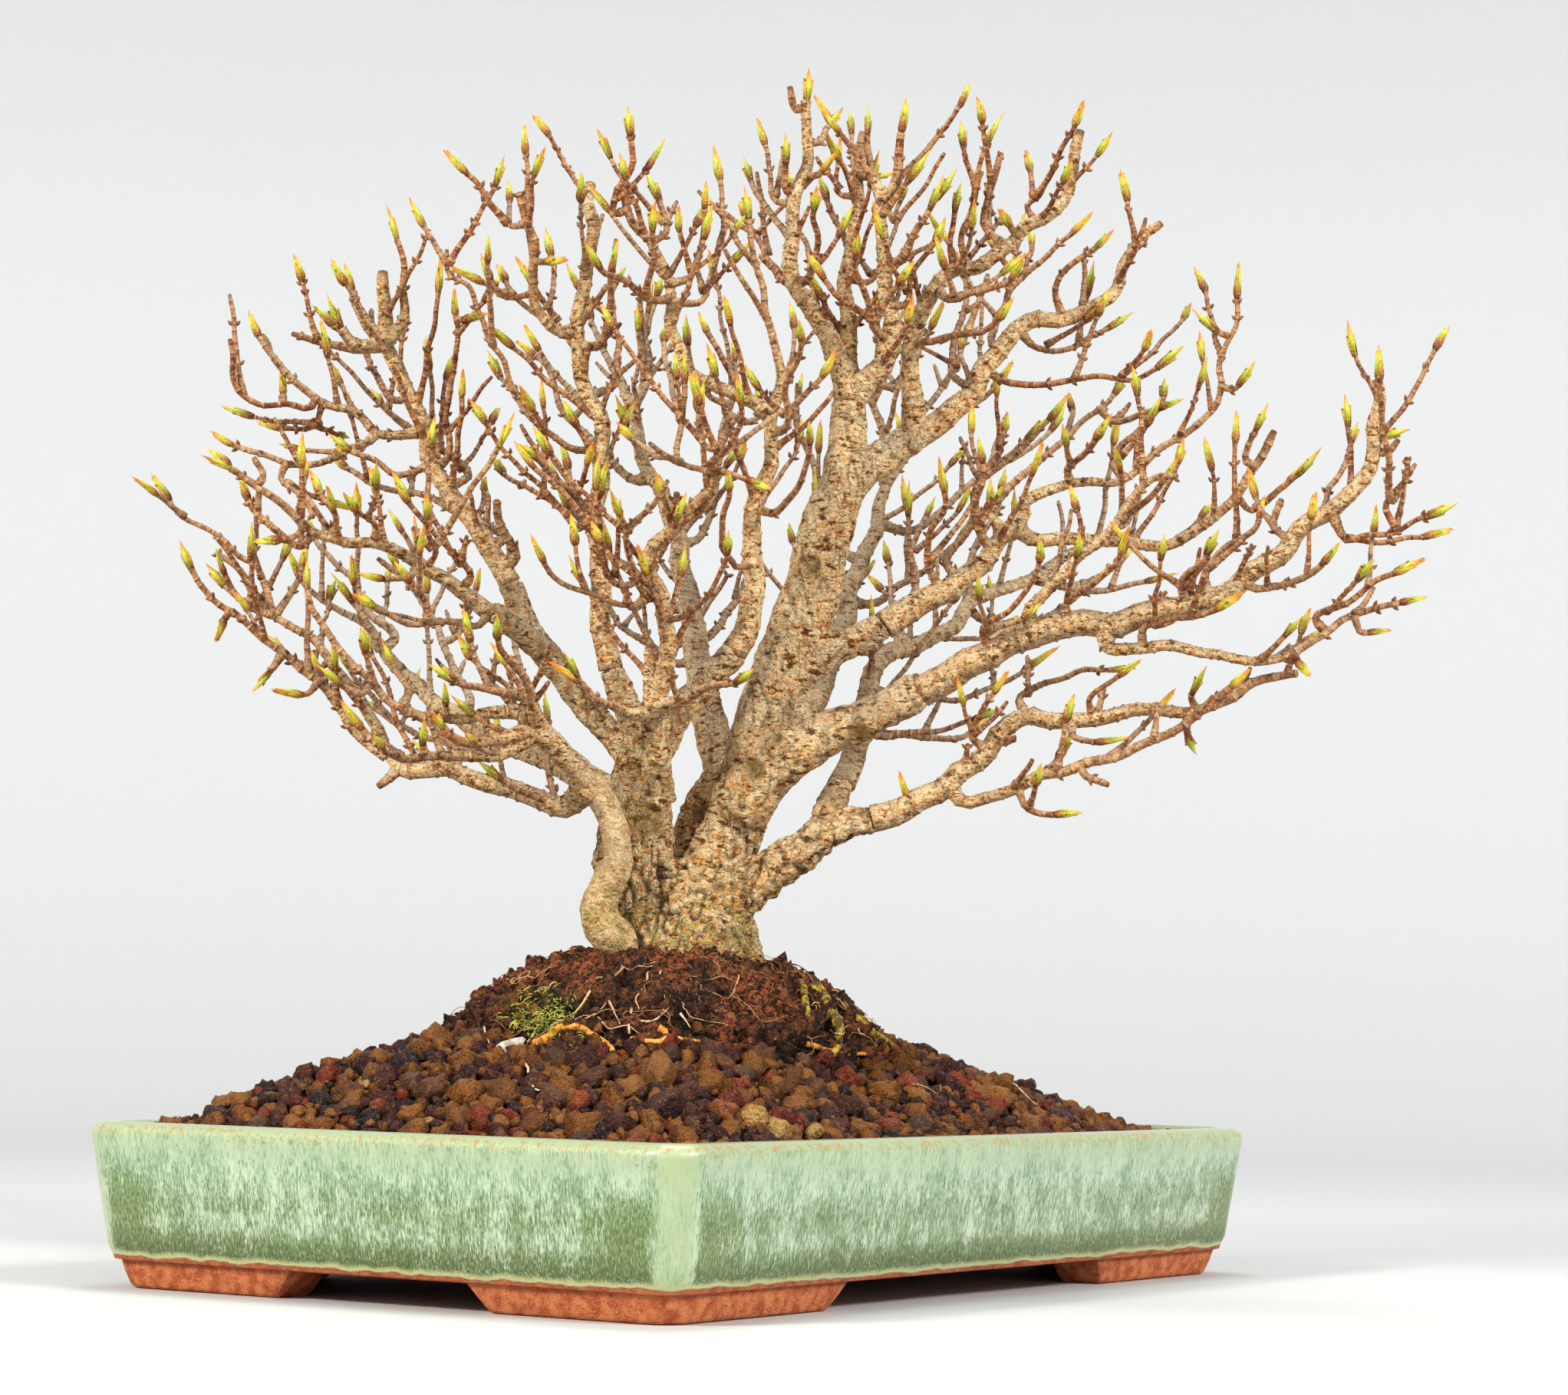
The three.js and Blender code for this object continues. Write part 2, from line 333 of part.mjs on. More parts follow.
    ['third_c', 'third', 1.5, 1.1, 16, BUD, [104, 197], [110, 203], [116, 209], [119, 217]],
    ['second_c', 'second', 1.8, 1.1, -24, BUD, [72, 200], [80, 211], [90, 220], [97, 227], [103, 232],
      [107, 240]],
    ['second_d', 'second_c', 1.4, 1.1, 12, BUD, [103, 226], [112, 229], [122, 233.5]],
    ['second_e', 'second', 1.5, 1.1, 18, BUD, [70, 194], [68, 203], [70, 213], [68, 222]],
    ['second_f', 'second', 1.6, 1.1, -40, BUD, [60, 188], [66, 197], [68, 208], [74, 218], [76, 229]],
    ['second_g', 'second_out', 1.5, 1.1, -28, BUD, [104, 214], [109, 222], [116, 230], [118, 239]],
    ['second_h', 'second', 1.6, 1.1, 22, BUD, [56, 186], [56, 195], [60, 204], [58, 214]],
    ['second_i', 'second_out', 1.5, 1.1, 20, BUD, [92, 213], [98, 219], [100, 228]],
  ],
  spray_right: [
    ['long', 'right', 4.3, 2, 26, CUT, [62, 158], [74, 165], [84, 169.5], [93, 171.5], [104, 172.5],
      [115, 176],
      [124, 178], [134, 181], [141, 187], [148, 191], [154, 198.5], [161, 203], [167, 209], [172, 215],
      [172.5, 221], [172, 226], [174, 232], [173, 238]],
    ['long_a', 'long', 1.3, 1.3, 4, CUT, [176, 219], [179, 222.5]],
    ['long_b', 'long', 1.5, 1.1, 12, BUD, [166, 195.5], [171, 197], [177, 198], [184, 201], [191, 203.5],
      [195, 206]],
    ['long_c', 'long_b', 1.3, 1.2, 7, CUT, [176, 205], [179, 209.5], [181.5, 213], [181, 218.5]],
    ['long_d', 'long', 1.3, 1.1, 5, BUD, [174, 223], [178, 228]],
    ['long_e', 'long', 1.3, 1.3, -8, CUT, [146, 199], [148, 206]],
    ['long_up', 'long', 2.4, 1.4, -14, CUT, [82, 175], [88, 182], [95, 189], [102, 196], [108, 204],
      [113, 210],
      [121, 212.5]],
    ['long_low', 'long', 2.4, 1.2, 14, BUD, [103, 166], [113, 166.5], [123, 167], [131, 165], [138, 163],
      [144, 163],
      [151, 165], [158, 170], [165, 175], [172, 178], [180, 180], [188, 182]],
    ['long_low_a', 'long_low', 1.4, 1.1, 12, BUD, [157, 175], [165, 179], [172, 184], [178, 187], [186, 191]],
    ['long_low_b', 'long_low', 1.2, 1.1, -7, BUD, [169, 172], [178, 176]],
    ['long_low_c', 'long_low', 1.2, 1.1, 9, BUD, [153, 163], [157, 167.5]],
    ['long_f', 'long', 1.5, 1.1, 22, BUD, [92, 178], [99, 183], [106, 190], [108, 199]],
    ['long_g', 'long', 1.5, 1.1, 20, BUD, [122, 184], [128, 190], [131, 199]],
    ['long_h', 'long', 1.5, 1.1, 30, BUD, [70, 169], [78, 176], [84, 186], [86, 196]],
    ['long_i', 'long', 1.5, 1.1, 26, BUD, [140, 183], [149, 184], [158, 188], [163, 196]],
    ['long_j', 'long', 1.5, 1.1, -18, BUD, [128, 186], [133, 193], [141, 198], [143, 208]],
    ['long_k', 'long_low', 1.4, 1.1, 22, BUD, [112, 171], [121, 174], [130, 176], [137, 183]],
  ],
  spray_low_right: [
    ['low', 'low_right', 3.3, 1.4, 22, CUT, [46, 121], [53, 124], [60, 128], [66, 133], [72, 138],
      [76, 143], [82, 147.5], [90, 147], [98, 147], [105, 149], [115, 150], [124, 149], [130, 151],
      [136, 153.5],
      [141, 157], [147, 159], [153, 160.5]],
    ['low_under', 'low', 2, 1.2, 20, BUD, [66, 125], [72, 126], [80, 129], [86, 132], [93, 134], [100, 136],
      [108, 139], [115, 142], [122, 146], [130, 152], [137, 158], [141, 163.5]],
    ['low_cut', 'low_under', 1.3, 1.2, 5, CUT, [97, 133], [103, 130]],
    ['low_bud', 'low', 1.1, 1.1, 4, BUD, [50, 129], [51, 134]],
    ['low_a', 'low', 1.4, 1.1, 14, BUD, [68, 142], [71, 150], [78, 160]],
    ['low_b', 'low', 1.3, 1.3, 5, CUT, [75, 141], [79, 142]],
    ['low_c', 'low', 1.3, 1.1, 10, BUD, [94, 143], [101, 140.5], [108, 140]],
    ['low_d', 'low', 1.3, 1.1, -8, BUD, [124, 144], [131, 143.5]],
    ['low_e', 'low', 1.3, 1.1, 9, BUD, [125, 154], [133, 158]],
    ['low_f', 'low', 1.5, 1.1, -26, BUD, [80, 152], [88, 157], [98, 160], [111, 161]],
    ['low_g', 'low', 1.4, 1.1, 16, BUD, [98, 152], [105, 158], [112, 163]],
    ['low_h', 'low_under', 1.3, 1.1, 12, BUD, [82, 124], [90, 122], [97, 125]],
  ],
  spray_back_right: [
    ['grey', 'low_right_fork', 3.5, 2.2, -50, CUT, [38, 138], [40, 148], [41, 156], [46, 163],
      [55, 167], [62, 171], [68, 178], [76, 181], [84, 184]],
    ['grey_a', 'grey', 1.7, 1.1, -14, BUD, [92, 190], [100, 194], [108, 200], [112, 209]],
    ['grey_b', 'grey', 1.6, 1.1, 4, BUD, [92, 182], [101, 181], [111, 183], [120, 187]],
    ['grey_c', 'grey', 1.7, 1.1, -34, BUD, [66, 182], [68, 192], [74, 202], [76, 212]],
    ['grey_d', 'grey', 1.7, 1.1, -40, BUD, [48, 170], [52, 181], [52, 193], [57, 204]],
    ['grey_e', 'grey', 1.6, 1.1, -30, BUD, [48, 153], [58, 152], [68, 153], [78, 157], [87, 163]],
    ['grey_f', 'grey', 1.5, 1.1, -22, BUD, [70, 173], [80, 172], [89, 175], [96, 182]],
    ['grey_g', 'grey', 1.6, 1.1, -46, BUD, [42, 142], [52, 142], [63, 141], [72, 145]],
  ],
  spray_back: [
    ['rear', 'back', 4, 2.2, -36, CUT, [-5, 165], [-8, 180], [-13, 200], [-20, 214], [-23, 227]],
    ['rear_a', 'rear', 1.7, 1.1, -22, BUD, [-27, 236], [-33, 246], [-35, 257]],
    ['rear_b', 'rear', 1.6, 1.1, 4, BUD, [-19, 236], [-20, 248], [-17, 260]],
    ['rear_c', 'rear', 1.9, 1.2, -34, BUD, [-6, 192], [-1, 204], [0, 218], [4, 232], [3, 246]],
    ['rear_d', 'rear', 1.8, 1.1, -26, BUD, [-20, 208], [-30, 215], [-40, 225], [-46, 237], [-54, 245]],
    ['rear_e', 'rear', 1.8, 1.1, -46, BUD, [-12, 174], [-20, 182], [-30, 190], [-39, 201], [-45, 213]],
    ['rear_f', 'rear', 1.7, 1.1, -52, BUD, [-2, 167], [4, 175], [9, 186], [9, 199]],
    ['rear_g', 'rear_c', 1.5, 1.1, -16, BUD, [8, 224], [15, 233], [19, 244], [18, 256]],
    ['rear_h', 'rear', 1.7, 1.1, -44, BUD, [-9, 160], [-17, 164], [-25, 170], [-31, 179]],
    ['rear_i', 'rear_d', 1.4, 1.1, -18, BUD, [-36, 227], [-37, 239], [-42, 249]],
    ['rear_j', 'rear_c', 1.5, 1.1, 10, BUD, [-2, 230], [-8, 240], [-9, 252]],
  ],
  spray_back_rise: [
    ['rise', 'back_right', 3.9, 2.1, -50, CUT, [30, 160], [34, 171], [36, 183], [41, 195], [44, 208]],
    ['rise_a', 'rise', 1.8, 1.1, -24, BUD, [50, 217], [54, 228], [61, 237], [64, 248]],
    ['rise_b', 'rise', 1.7, 1.1, 2, BUD, [43, 220], [40, 232], [42, 244], [39, 256]],
    ['rise_c', 'rise', 1.8, 1.1, -34, BUD, [33, 190], [27, 201], [25, 213], [20, 225], [21, 237]],
    ['rise_d', 'rise', 1.8, 1.1, -22, BUD, [50, 196], [61, 203], [71, 213], [83, 219], [91, 229]],
    ['rise_e', 'rise', 1.7, 1.1, -38, BUD, [40, 176], [49, 182], [59, 189], [68, 199]],
    ['rise_f', 'rise', 1.6, 1.1, -40, BUD, [29, 166], [24, 176], [22, 187], [17, 197]],
    ['rise_g', 'rise_a', 1.4, 1.1, 12, BUD, [56, 224], [64, 228], [73, 235], [77, 243]],
    ['rise_h', 'rise_b', 1.4, 1.1, -20, BUD, [46, 234], [52, 243], [53, 254]],
    ['rise_i', 'rise', 1.7, 1.1, -48, BUD, [38, 164], [47, 166], [58, 168], [70, 168], [80, 174]],
  ],
};

// How twigs come off the limbs, in opposite pairs at every other joint of the wood
const TWIG = {
  seed: 7,
  spacing: 13,
  wander: 3,
  first: 0.22,
  clearOfFoot: 7,
  clearOfTip: 3,
  shortest: 5,
  longest: 27,
  radius: 1.15,
  chance: 0.56,
  buds: 0.65,
  forward: 0.6,
  outward: 0.8,
  upward: 0.3,
  curl: 0.22,
  shares: [0, 0.3, 0.65, 1],
  steepestDrop: -0.45,
  keptOneIn: 9,
};
const BUD_SHAPE = { length: 10.5, radius: 1.5, widest: 0.3 };

// A repeatable draw between 0 and 1
function seededDraw(seed) {
  let state = seed >>> 0;
  return () => {
    state = (state + 0x6d2b79f5) >>> 0;
    let t = Math.imul(state ^ (state >>> 15), 1 | state);
    t = (t + Math.imul(t ^ (t >>> 7), 61 | t)) ^ t;
    return ((t ^ (t >>> 14)) >>> 0) / 4294967296;
  };
}

// Turns a place as seen from the front into the pot's frame
function seen(u, v, w) {
  const nearer = (FRONT.distance - w) / FRONT.distance;
  const x = FRONT.eyeU + nearer * (u - FRONT.eyeU);
  const z = FRONT.eyeHeight + nearer * (v - FRONT.eyeHeight);
  const sin = Math.sin(FRONT.turn);
  const cos = Math.cos(FRONT.turn);
  return new THREE.Vector3(x * sin - w * cos, -x * cos - w * sin, z);
}

// Welds a closed geometry's corners and makes it a solid
function solidOf(geometry) {
  const bare = geometry.clone();
  bare.deleteAttribute('normal');
  bare.deleteAttribute('uv');
  const welded = mergeVertices(bare, 1e-4);
  return new wasm.Manifold(new wasm.Mesh({
    numProp: 3,
    vertProperties: Float32Array.from(welded.attributes.position.array),
    triVerts: Uint32Array.from(welded.index.array),
  }));
}

// Turns a solid back into a mesh's geometry
function geometryOf(solid) {
  const mesh = solid.getMesh();
  const geometry = new THREE.BufferGeometry();
  geometry.setAttribute('position', new THREE.BufferAttribute(Float32Array.from(mesh.vertProperties), 3));
  geometry.setIndex(new THREE.BufferAttribute(Uint32Array.from(mesh.triVerts), 1));
  geometry.computeVertexNormals();
  return geometry;
}

// Joins solids two by two
function joined(solids) {
  let rest = solids;
  while (rest.length > 1) {
    const next = [];
    for (let i = 0; i < rest.length; i += 2) {
      next.push(i + 1 < rest.length ? rest[i].add(rest[i + 1]) : rest[i]);
    }
    rest = next;
  }
  return rest[0];
}

// Keeps the largest body of a solid and drops loose scraps
function largestBody(solid) {
  return solid.decompose().reduce((best, body) => (body.volume() > best.volume() ? body : best));
}

// Skins a stack of rings, each with the same number of corners going round counter-clockwise as seen from
// the last ring, and closes both ends. A ring of one corner is a point.
function skin(rings) {
  const corners = [];
  const faces = [];
  const starts = rings.map((ring) => {
    const start = corners.length;
    corners.push(...ring);
    return start;
  });
  const count = Math.max(...rings.map((ring) => ring.length));
  for (let k = 0; k + 1 < rings.length; k += 1) {
    const low = starts[k];
    const high = starts[k + 1];
    for (let i = 0; i < count; i += 1) {
      const j = (i + 1) % count;
      if (rings[k].length === 1) faces.push(low, high + j, high + i);
      else if (rings[k + 1].length === 1) faces.push(low + i, low + j, high);
      else faces.push(low + i, low + j, high + j, low + i, high + j, high + i);
    }
  }
  const last = starts[rings.length - 1];
  for (let i = 1; i + 1 < count; i += 1) {
    if (rings[0].length > 1) faces.push(starts[0], starts[0] + i + 1, starts[0] + i);
    if (rings[rings.length - 1].length > 1) faces.push(last, last + i, last + i + 1);
  }
  const geometry = new THREE.BufferGeometry();
  const numbers = corners.flatMap(({ x, y, z }) => [x, y, z]);
  geometry.setAttribute('position', new THREE.Float32BufferAttribute(numbers, 3));
  geometry.setIndex(faces);
  return geometry;
}

// A tapered limb through stations { at, radius }
function limbGeometry(stations, sides) {
  const rings = [];
  let side = null;
  stations.forEach((station, k) => {
    const before = stations[Math.max(k - 1, 0)].at;
    const after = stations[Math.min(k + 1, stations.length - 1)].at;
    const along = after.clone().sub(before).normalize();
    if (!side) side = new THREE.Vector3(0.31, 0.87, 0.39).cross(along);
    side.addScaledVector(along, -side.dot(along)).normalize();
    const across = along.clone().cross(side);
    if (station.radius === 0) {
      rings.push([station.at.clone()]);
      return;
    }
    const ring = [];
    for (let i = 0; i < sides; i += 1) {
      const turn = (2 * Math.PI * i) / sides;
      ring.push(station.at.clone()
        .addScaledVector(side, station.radius * Math.cos(turn))
        .addScaledVector(across, station.radius * Math.sin(turn)));
    }
    rings.push(ring);
  });
  return skin(rings);
}

// Closest approach of two straight stretches of wood
function stretchDistance(a, b) {
  const p = a.end.clone().sub(a.start);
  const q = b.end.clone().sub(b.start);
  const r = a.start.clone().sub(b.start);
  const pp = p.dot(p);
  const qq = q.dot(q);
  const pq = p.dot(q);
  const pr = p.dot(r);
  const qr = q.dot(r);
  const span = pp * qq - pq * pq;
  let s = span > 1e-9 ? THREE.MathUtils.clamp((pq * qr - pr * qq) / span, 0, 1) : 0;
  const t = THREE.MathUtils.clamp((pq * s + qr) / qq, 0, 1);
  s = THREE.MathUtils.clamp((pq * t - pr) / pp, 0, 1);
  return a.start.clone().addScaledVector(p, s).distanceTo(b.start.clone().addScaledVector(q, t));
}

// The tree's wood: every limb and twig with the straight stretches that it takes up
class Tree {
  constructor() {
    this.limbs = new Map();
    this.stretches = [];
  }

  stretchesOf(stations, node) {
    return stations.slice(1).map((station, i) => ({
      start: stations[i].at,
      end: station.at,
      radius: Math.max(stations[i].radius, station.radius),
      node,
    })).filter(({ start, end }) => start.distanceTo(end) > 0);
  }

  // How deep the wood would cut into other wood, past its foot where it leaves what carries it; 0 when clear
  crowding(stations, node, foot) {
    const root = stations[0].at;
    let worst = 0;
    let run = 0;
    for (const piece of this.stretchesOf(stations, node)) {
      const length = piece.start.distanceTo(piece.end);
      const hidden = THREE.MathUtils.clamp((foot - run) / length, 0, 1);
      run += length;
      if (hidden === 1) continue;
      const free = { start: piece.start.clone().lerp(piece.end, hidden), end: piece.end };
      const reach = free.start.distanceTo(free.end) + piece.radius + CLEARANCE;
      for (const other of this.stretches) {
        if (other.node === node && other.start.distanceTo(root) < OWN_FORK) continue;
        const farthest = reach + other.radius + other.start.distanceTo(other.end);
        if (free.start.distanceTo(other.start) > farthest) continue;
        const room = piece.radius + other.radius + (other.node === node ? 0 : CLEARANCE);
        worst = Math.max(worst, room - stretchDistance(free, other));
      }
    }
    return worst;
  }

  add(name, node, stations, tip, order) {
    this.limbs.set(name, { node, stations, tip, order });
    this.stretches.push(...this.stretchesOf(stations, node));
  }
}

// Spaces a limb's places about evenly, with radius and depth running from foot to tip
function limbStations(foot, footDepth, places, footRadius, tipRadius, depth, bend) {
  const lengths = [0];
  const all = [foot, ...places];
  for (let i = 1; i < all.length; i += 1) {
    lengths.push(lengths[i - 1] + Math.hypot(all[i][0] - all[i - 1][0], all[i][1] - all[i - 1][1]));
  }
  const total = lengths[lengths.length - 1];
  return all.map(([u, v], i) => {
    const share = lengths[i] / total;
    const w = footDepth + depth * share + bend * Math.min(1, 3 * share);
    return { at: seen(u, v, w), radius: footRadius + (tipRadius - footRadius) * share, u, v, w };
  });
}

// The point on a parent's middle line nearest to a place, as seen from the front
function footOn(parent, [u, v]) {
  let best = null;
  for (let i = 0; i + 1 < parent.length; i += 1) {
    const a = parent[i];
    const b = parent[i + 1];
    const along = [b.u - a.u, b.v - a.v];
    const square = along[0] ** 2 + along[1] ** 2 || 1;
    const t = THREE.MathUtils.clamp(((u - a.u) * along[0] + (v - a.v) * along[1]) / square, 0, 1);
    const spot = { u: a.u + t * along[0], v: a.v + t * along[1], w: a.w + t * (b.w - a.w) };
    spot.radius = a.radius + t * (b.radius - a.radius);
    spot.far = Math.hypot(u - spot.u, v - spot.v);
    if (!best || spot.far < best.far) best = spot;
  }
  return best;
}

// Sets every limb of the tables in the tree, from its parent's middle line outwards
function growLimbs(tree) {
  for (const [name, stations] of Object.entries(TRUNK)) {
    const placed = stations.map(([u, v, w, radius]) => ({ at: seen(u, v, w), radius, u, v, w }));
    tree.add(name, 'trunk', placed, CUT);
  }
  for (const [node, limbs] of Object.entries(SPRAYS)) {
    for (const [name, parentName, footRadius, tipRadius, depth, tip, ...places] of limbs) {
      const parent = tree.limbs.get(parentName).stations;
      const foot = footOn(parent, places[0]);
      const free = foot.radius + FOOT_COVER;
      let best = null;
      for (const bend of BENDS) {
        const stations = limbStations([foot.u, foot.v], foot.w, places, footRadius, tipRadius, depth, bend);
        const crowding = tree.crowding(stations, node, free);
        if (!best || crowding < best.crowding - WORTH_BENDING) best = { stations, crowding };
        if (crowding === 0) break;
      }
      tree.add(name, node, best.stations, tip);
    }
  }
}

// The place and direction at a distance along a limb
function alongLimb(stations, distance) {
  let run = 0;
  for (let i = 0; i + 1 < stations.length; i += 1) {
    const a = stations[i];
    const b = stations[i + 1];
    const length = a.at.distanceTo(b.at);
    if (run + length >= distance || i + 2 === stations.length) {
      const t = THREE.MathUtils.clamp((distance - run) / length, 0, 1);
      return {
        at: a.at.clone().lerp(b.at, t),
        radius: THREE.MathUtils.lerp(a.radius, b.radius, t),
        along: b.at.clone().sub(a.at).normalize(),
      };
    }
    run += length;
  }
  return null;
}

// Length of a limb's middle line
function lengthOf(stations) {
  return stations.slice(1).reduce((sum, station, i) => sum + station.at.distanceTo(stations[i].at), 0);
}

// Short twigs in opposite pairs, each pair turned a quarter from the last, curving up to the light
function growTwigs(tree) {
  const draw = seededDraw(TWIG.seed);
  let order = 0;
  for (const limb of [...tree.limbs.values()].filter(({ node }) => node !== 'trunk')) {
    const length = lengthOf(limb.stations);
    const end = length - TWIG.clearOfTip - (limb.tip === BUD ? BUD_SHAPE.length : 0);
    let joint = 0;
    const start = Math.max(length * TWIG.first, TWIG.clearOfFoot);
    for (let distance = start; distance < end; distance += TWIG.spacing) {
      const { at, radius, along } = alongLimb(limb.stations, distance + TWIG.wander * (draw() - 0.5));
      const level = along.clone().cross(UP).normalize();
      const upright = level.clone().cross(along);
      joint += 1;
      for (const hand of [1, -1]) {
        const chance = draw();
        const reach = draw();
        const lean = draw() - 0.5;
        const budded = draw() < TWIG.buds;
        const side = joint % 2 ? level.clone().multiplyScalar(hand) : upright.clone().multiplyScalar(hand);
        side.addScaledVector(joint % 2 ? upright : level, lean);
        if (chance > TWIG.chance || side.z < TWIG.steepestDrop) continue;
        const twigLength = TWIG.shortest + (TWIG.longest - TWIG.shortest) * reach * reach;
        const heading = along.clone().multiplyScalar(TWIG.forward).addScaledVector(side, TWIG.outward)
          .addScaledVector(UP, TWIG.upward).normalize();
        const full = radius + twigLength + (budded ? BUD_SHAPE.length : 0);
        const stations = TWIG.shares.map((share) => ({
          at: at.clone()
            .addScaledVector(heading, full * share)
            .addScaledVector(UP, TWIG.curl * full * share * share),
          radius: TWIG.radius,
        }));
        if (tree.crowding(stations, limb.node, radius + 2) > 0) continue;
        tree.add(`twig_${order}`, limb.node, stations, budded ? BUD : CUT, order);
        order += 1;
      }
    }
  }
}

// Drops the stations that a straight run would pass within the tolerance
function straightened(stations, tolerance) {
  const first = stations[0];
  const last = stations[stations.length - 1];
  const line = new THREE.Line3(first.at, last.at);
  let worst = tolerance;
  let split = 0;
  stations.slice(1, -1).forEach((station, i) => {
    const off = line.closestPointToPoint(station.at, true, new THREE.Vector3()).distanceTo(station.at);
    if (off > worst) {
      worst = off;
      split = i + 1;
    }
  });
  if (!split) return [first, last];
  const head = straightened(stations.slice(0, split + 1), tolerance);
  return [...head.slice(0, -1), ...straightened(stations.slice(split), tolerance)];
}

// Ends a limb in a pointed bud, which takes up its last stretch
function withBud(stations) {
  const length = lengthOf(stations);
  const neck = length - BUD_SHAPE.length;
  const kept = [];
  let run = 0;
  stations.forEach((station, i) => {
    if (i) run += station.at.distanceTo(stations[i - 1].at);
    if (run < neck) kept.push(station);
  });
  const widest = alongLimb(stations, neck + BUD_SHAPE.length * BUD_SHAPE.widest).at;
  return [
    ...kept,
    { at: widest, radius: BUD_SHAPE.radius },
    { at: stations[stations.length - 1].at, radius: 0 },
  ];
}

// Facets stand in for round wood: few sides on thin wood, a little wider so that its section keeps its area
function woodSolid(limb, extra = 0) {
  const thick = limb.stations[0].radius;
  const bounds = limb.node === 'trunk' ? [0, 0, 0, 4, 6] : [2.6, 3.4];
  const sides = bounds.reduce((count, bound) => (thick >= bound ? count + 1 : count), 3);
  const swell = Math.sqrt((2 * Math.PI / sides) / Math.sin(2 * Math.PI / sides));
  let stations = straightened(limb.stations, limb.node === 'trunk' ? 0.5 : 1.6);
  if (limb.tip === BUD) stations = withBud(stations);
  const widened = stations.map(({ at, radius }) => ({ at, radius: radius && radius * swell + extra }));
  if (extra) {
    const [last, previous] = [widened[widened.length - 1], widened[widened.length - 2]];
    const outward = last.at.clone().sub(previous.at).normalize();
    last.at = last.at.clone().addScaledVector(outward, GAP);
  }
  return solidOf(limbGeometry(widened, sides));
}

// A facet's middle lies this much nearer to the axis than its corners
const FACET = Math.cos(Math.PI / 6);

// The trunk, the trunk grown by the gap, and the sprays less what the grown trunk takes up
function treeSolids() {
  const tree = new Tree();
  growLimbs(tree);
  growTwigs(tree);
  const isKept = ({ order }) => order === undefined || order % TWIG.keptOneIn === 0;
  const limbs = [...tree.limbs.values()].filter(isKept);
  const trunkLimbs = limbs.filter(({ node }) => node === 'trunk');
  const trunk = joined(trunkLimbs.map((limb) => woodSolid(limb))).simplify(FINENESS);
  const aroundTrunk = joined(trunkLimbs.map((limb) => woodSolid(limb, GAP / FACET)));
  const sprays = Object.keys(SPRAYS).map((node) => {
    const wood = joined(limbs.filter((limb) => limb.node === node).map((limb) => woodSolid(limb)));
    return [node, largestBody(wood.subtract(aroundTrunk)).simplify(FINENESS)];
  });
  return { trunk, aroundTrunk, sprays };
}

// Round-cornered outline of the pot at one height, drawn in from its full size
function outline(inset, z) {
  const radius = Math.max(POT.cornerRadius - inset * 0.4, 3);
  const x = POT.length / 2 - inset - radius;
  const y = POT.width / 2 - inset - radius;
  const ring = [];
  [[x, y], [-x, y], [-x, -y], [x, -y]].forEach(([cx, cy], corner) => {
    for (let i = 0; i <= POT.cornerFacets; i += 1) {
      const turn = (Math.PI / 2) * (corner + i / POT.cornerFacets);
      ring.push(new THREE.Vector3(cx + radius * Math.cos(turn), cy + radius * Math.sin(turn), z));
    }
  });
  return ring;
}

// How far the wall stands in from the rim at a height
function flareAt(z) {
  return (POT.flare * (POT.height - POT.lip - z)) / (POT.height - POT.lip - POT.footHeight);
}

const FLOOR_TOP = POT.footHeight + POT.floor;

// The pot's inside, from its floor to well above the rim, drawn in by a margin all round
function cavity(margin) {
  const lip = POT.wall + flareAt(POT.height - 4) + margin;
  const foot = POT.wall + flareAt(FLOOR_TOP) + 1.5 + margin;
  const rings = [
    outline(foot, FLOOR_TOP + margin),
    outline(lip, POT.height - 4),
    outline(lip, 2 * POT.height),
  ];
  return solidOf(skin(rings));
}

// A long bar under the pot, wider at its top, which opens the space between two feet
function barAlong(axis, halfWidthLow, halfWidthHigh, low, high) {
  const shape = new THREE.Shape();
  shape.moveTo(-halfWidthLow, low);
  shape.lineTo(halfWidthLow, low);
  shape.lineTo(halfWidthHigh, high);
  shape.lineTo(-halfWidthHigh, high);
  const span = 2 * POT.length;
  const bar = new THREE.ExtrudeGeometry(shape, { depth: span, bevelEnabled: false });
  bar.translate(0, 0, -span / 2);
  bar.rotateX(Math.PI / 2);
  if (axis === 'x') bar.rotateZ(Math.PI / 2);
  return solidOf(bar);
}

// A round post, for the holes in the pot's floor
function upright(radius, x, low, high, segments) {
  const post = new THREE.CylinderGeometry(radius, radius, high - low, segments);
  post.rotateX(Math.PI / 2);
  post.translate(x, 0, (low + high) / 2);
  return solidOf(post);
}

// Four feet shaped like an L: a low ring under the pot's edge, less what stands open between them
function footSolid() {
  const top = flareAt(POT.footHeight) + POT.footSetIn;
  const bottom = top + POT.footLean;
  const into = POT.footHeight + 1;
  const inner = bottom + POT.footWidth;
  const ring = solidOf(skin([outline(bottom, 0), outline(top, into)]))
    .subtract(solidOf(skin([outline(inner, -1), outline(inner, into + 1)])));
  const halfLength = POT.length / 2 - bottom - POT.footAlongLength;
  const halfWidth = POT.width / 2 - bottom - POT.footAlongWidth;
  const low = -1;
  const high = into + 1;
  const slope = POT.footSlope / POT.footHeight;
  return ring
    .subtract(barAlong('y', halfLength - slope * low, halfLength - slope * high, low, high))
    .subtract(barAlong('x', halfWidth - slope * low, halfWidth - slope * high, low, high));
}

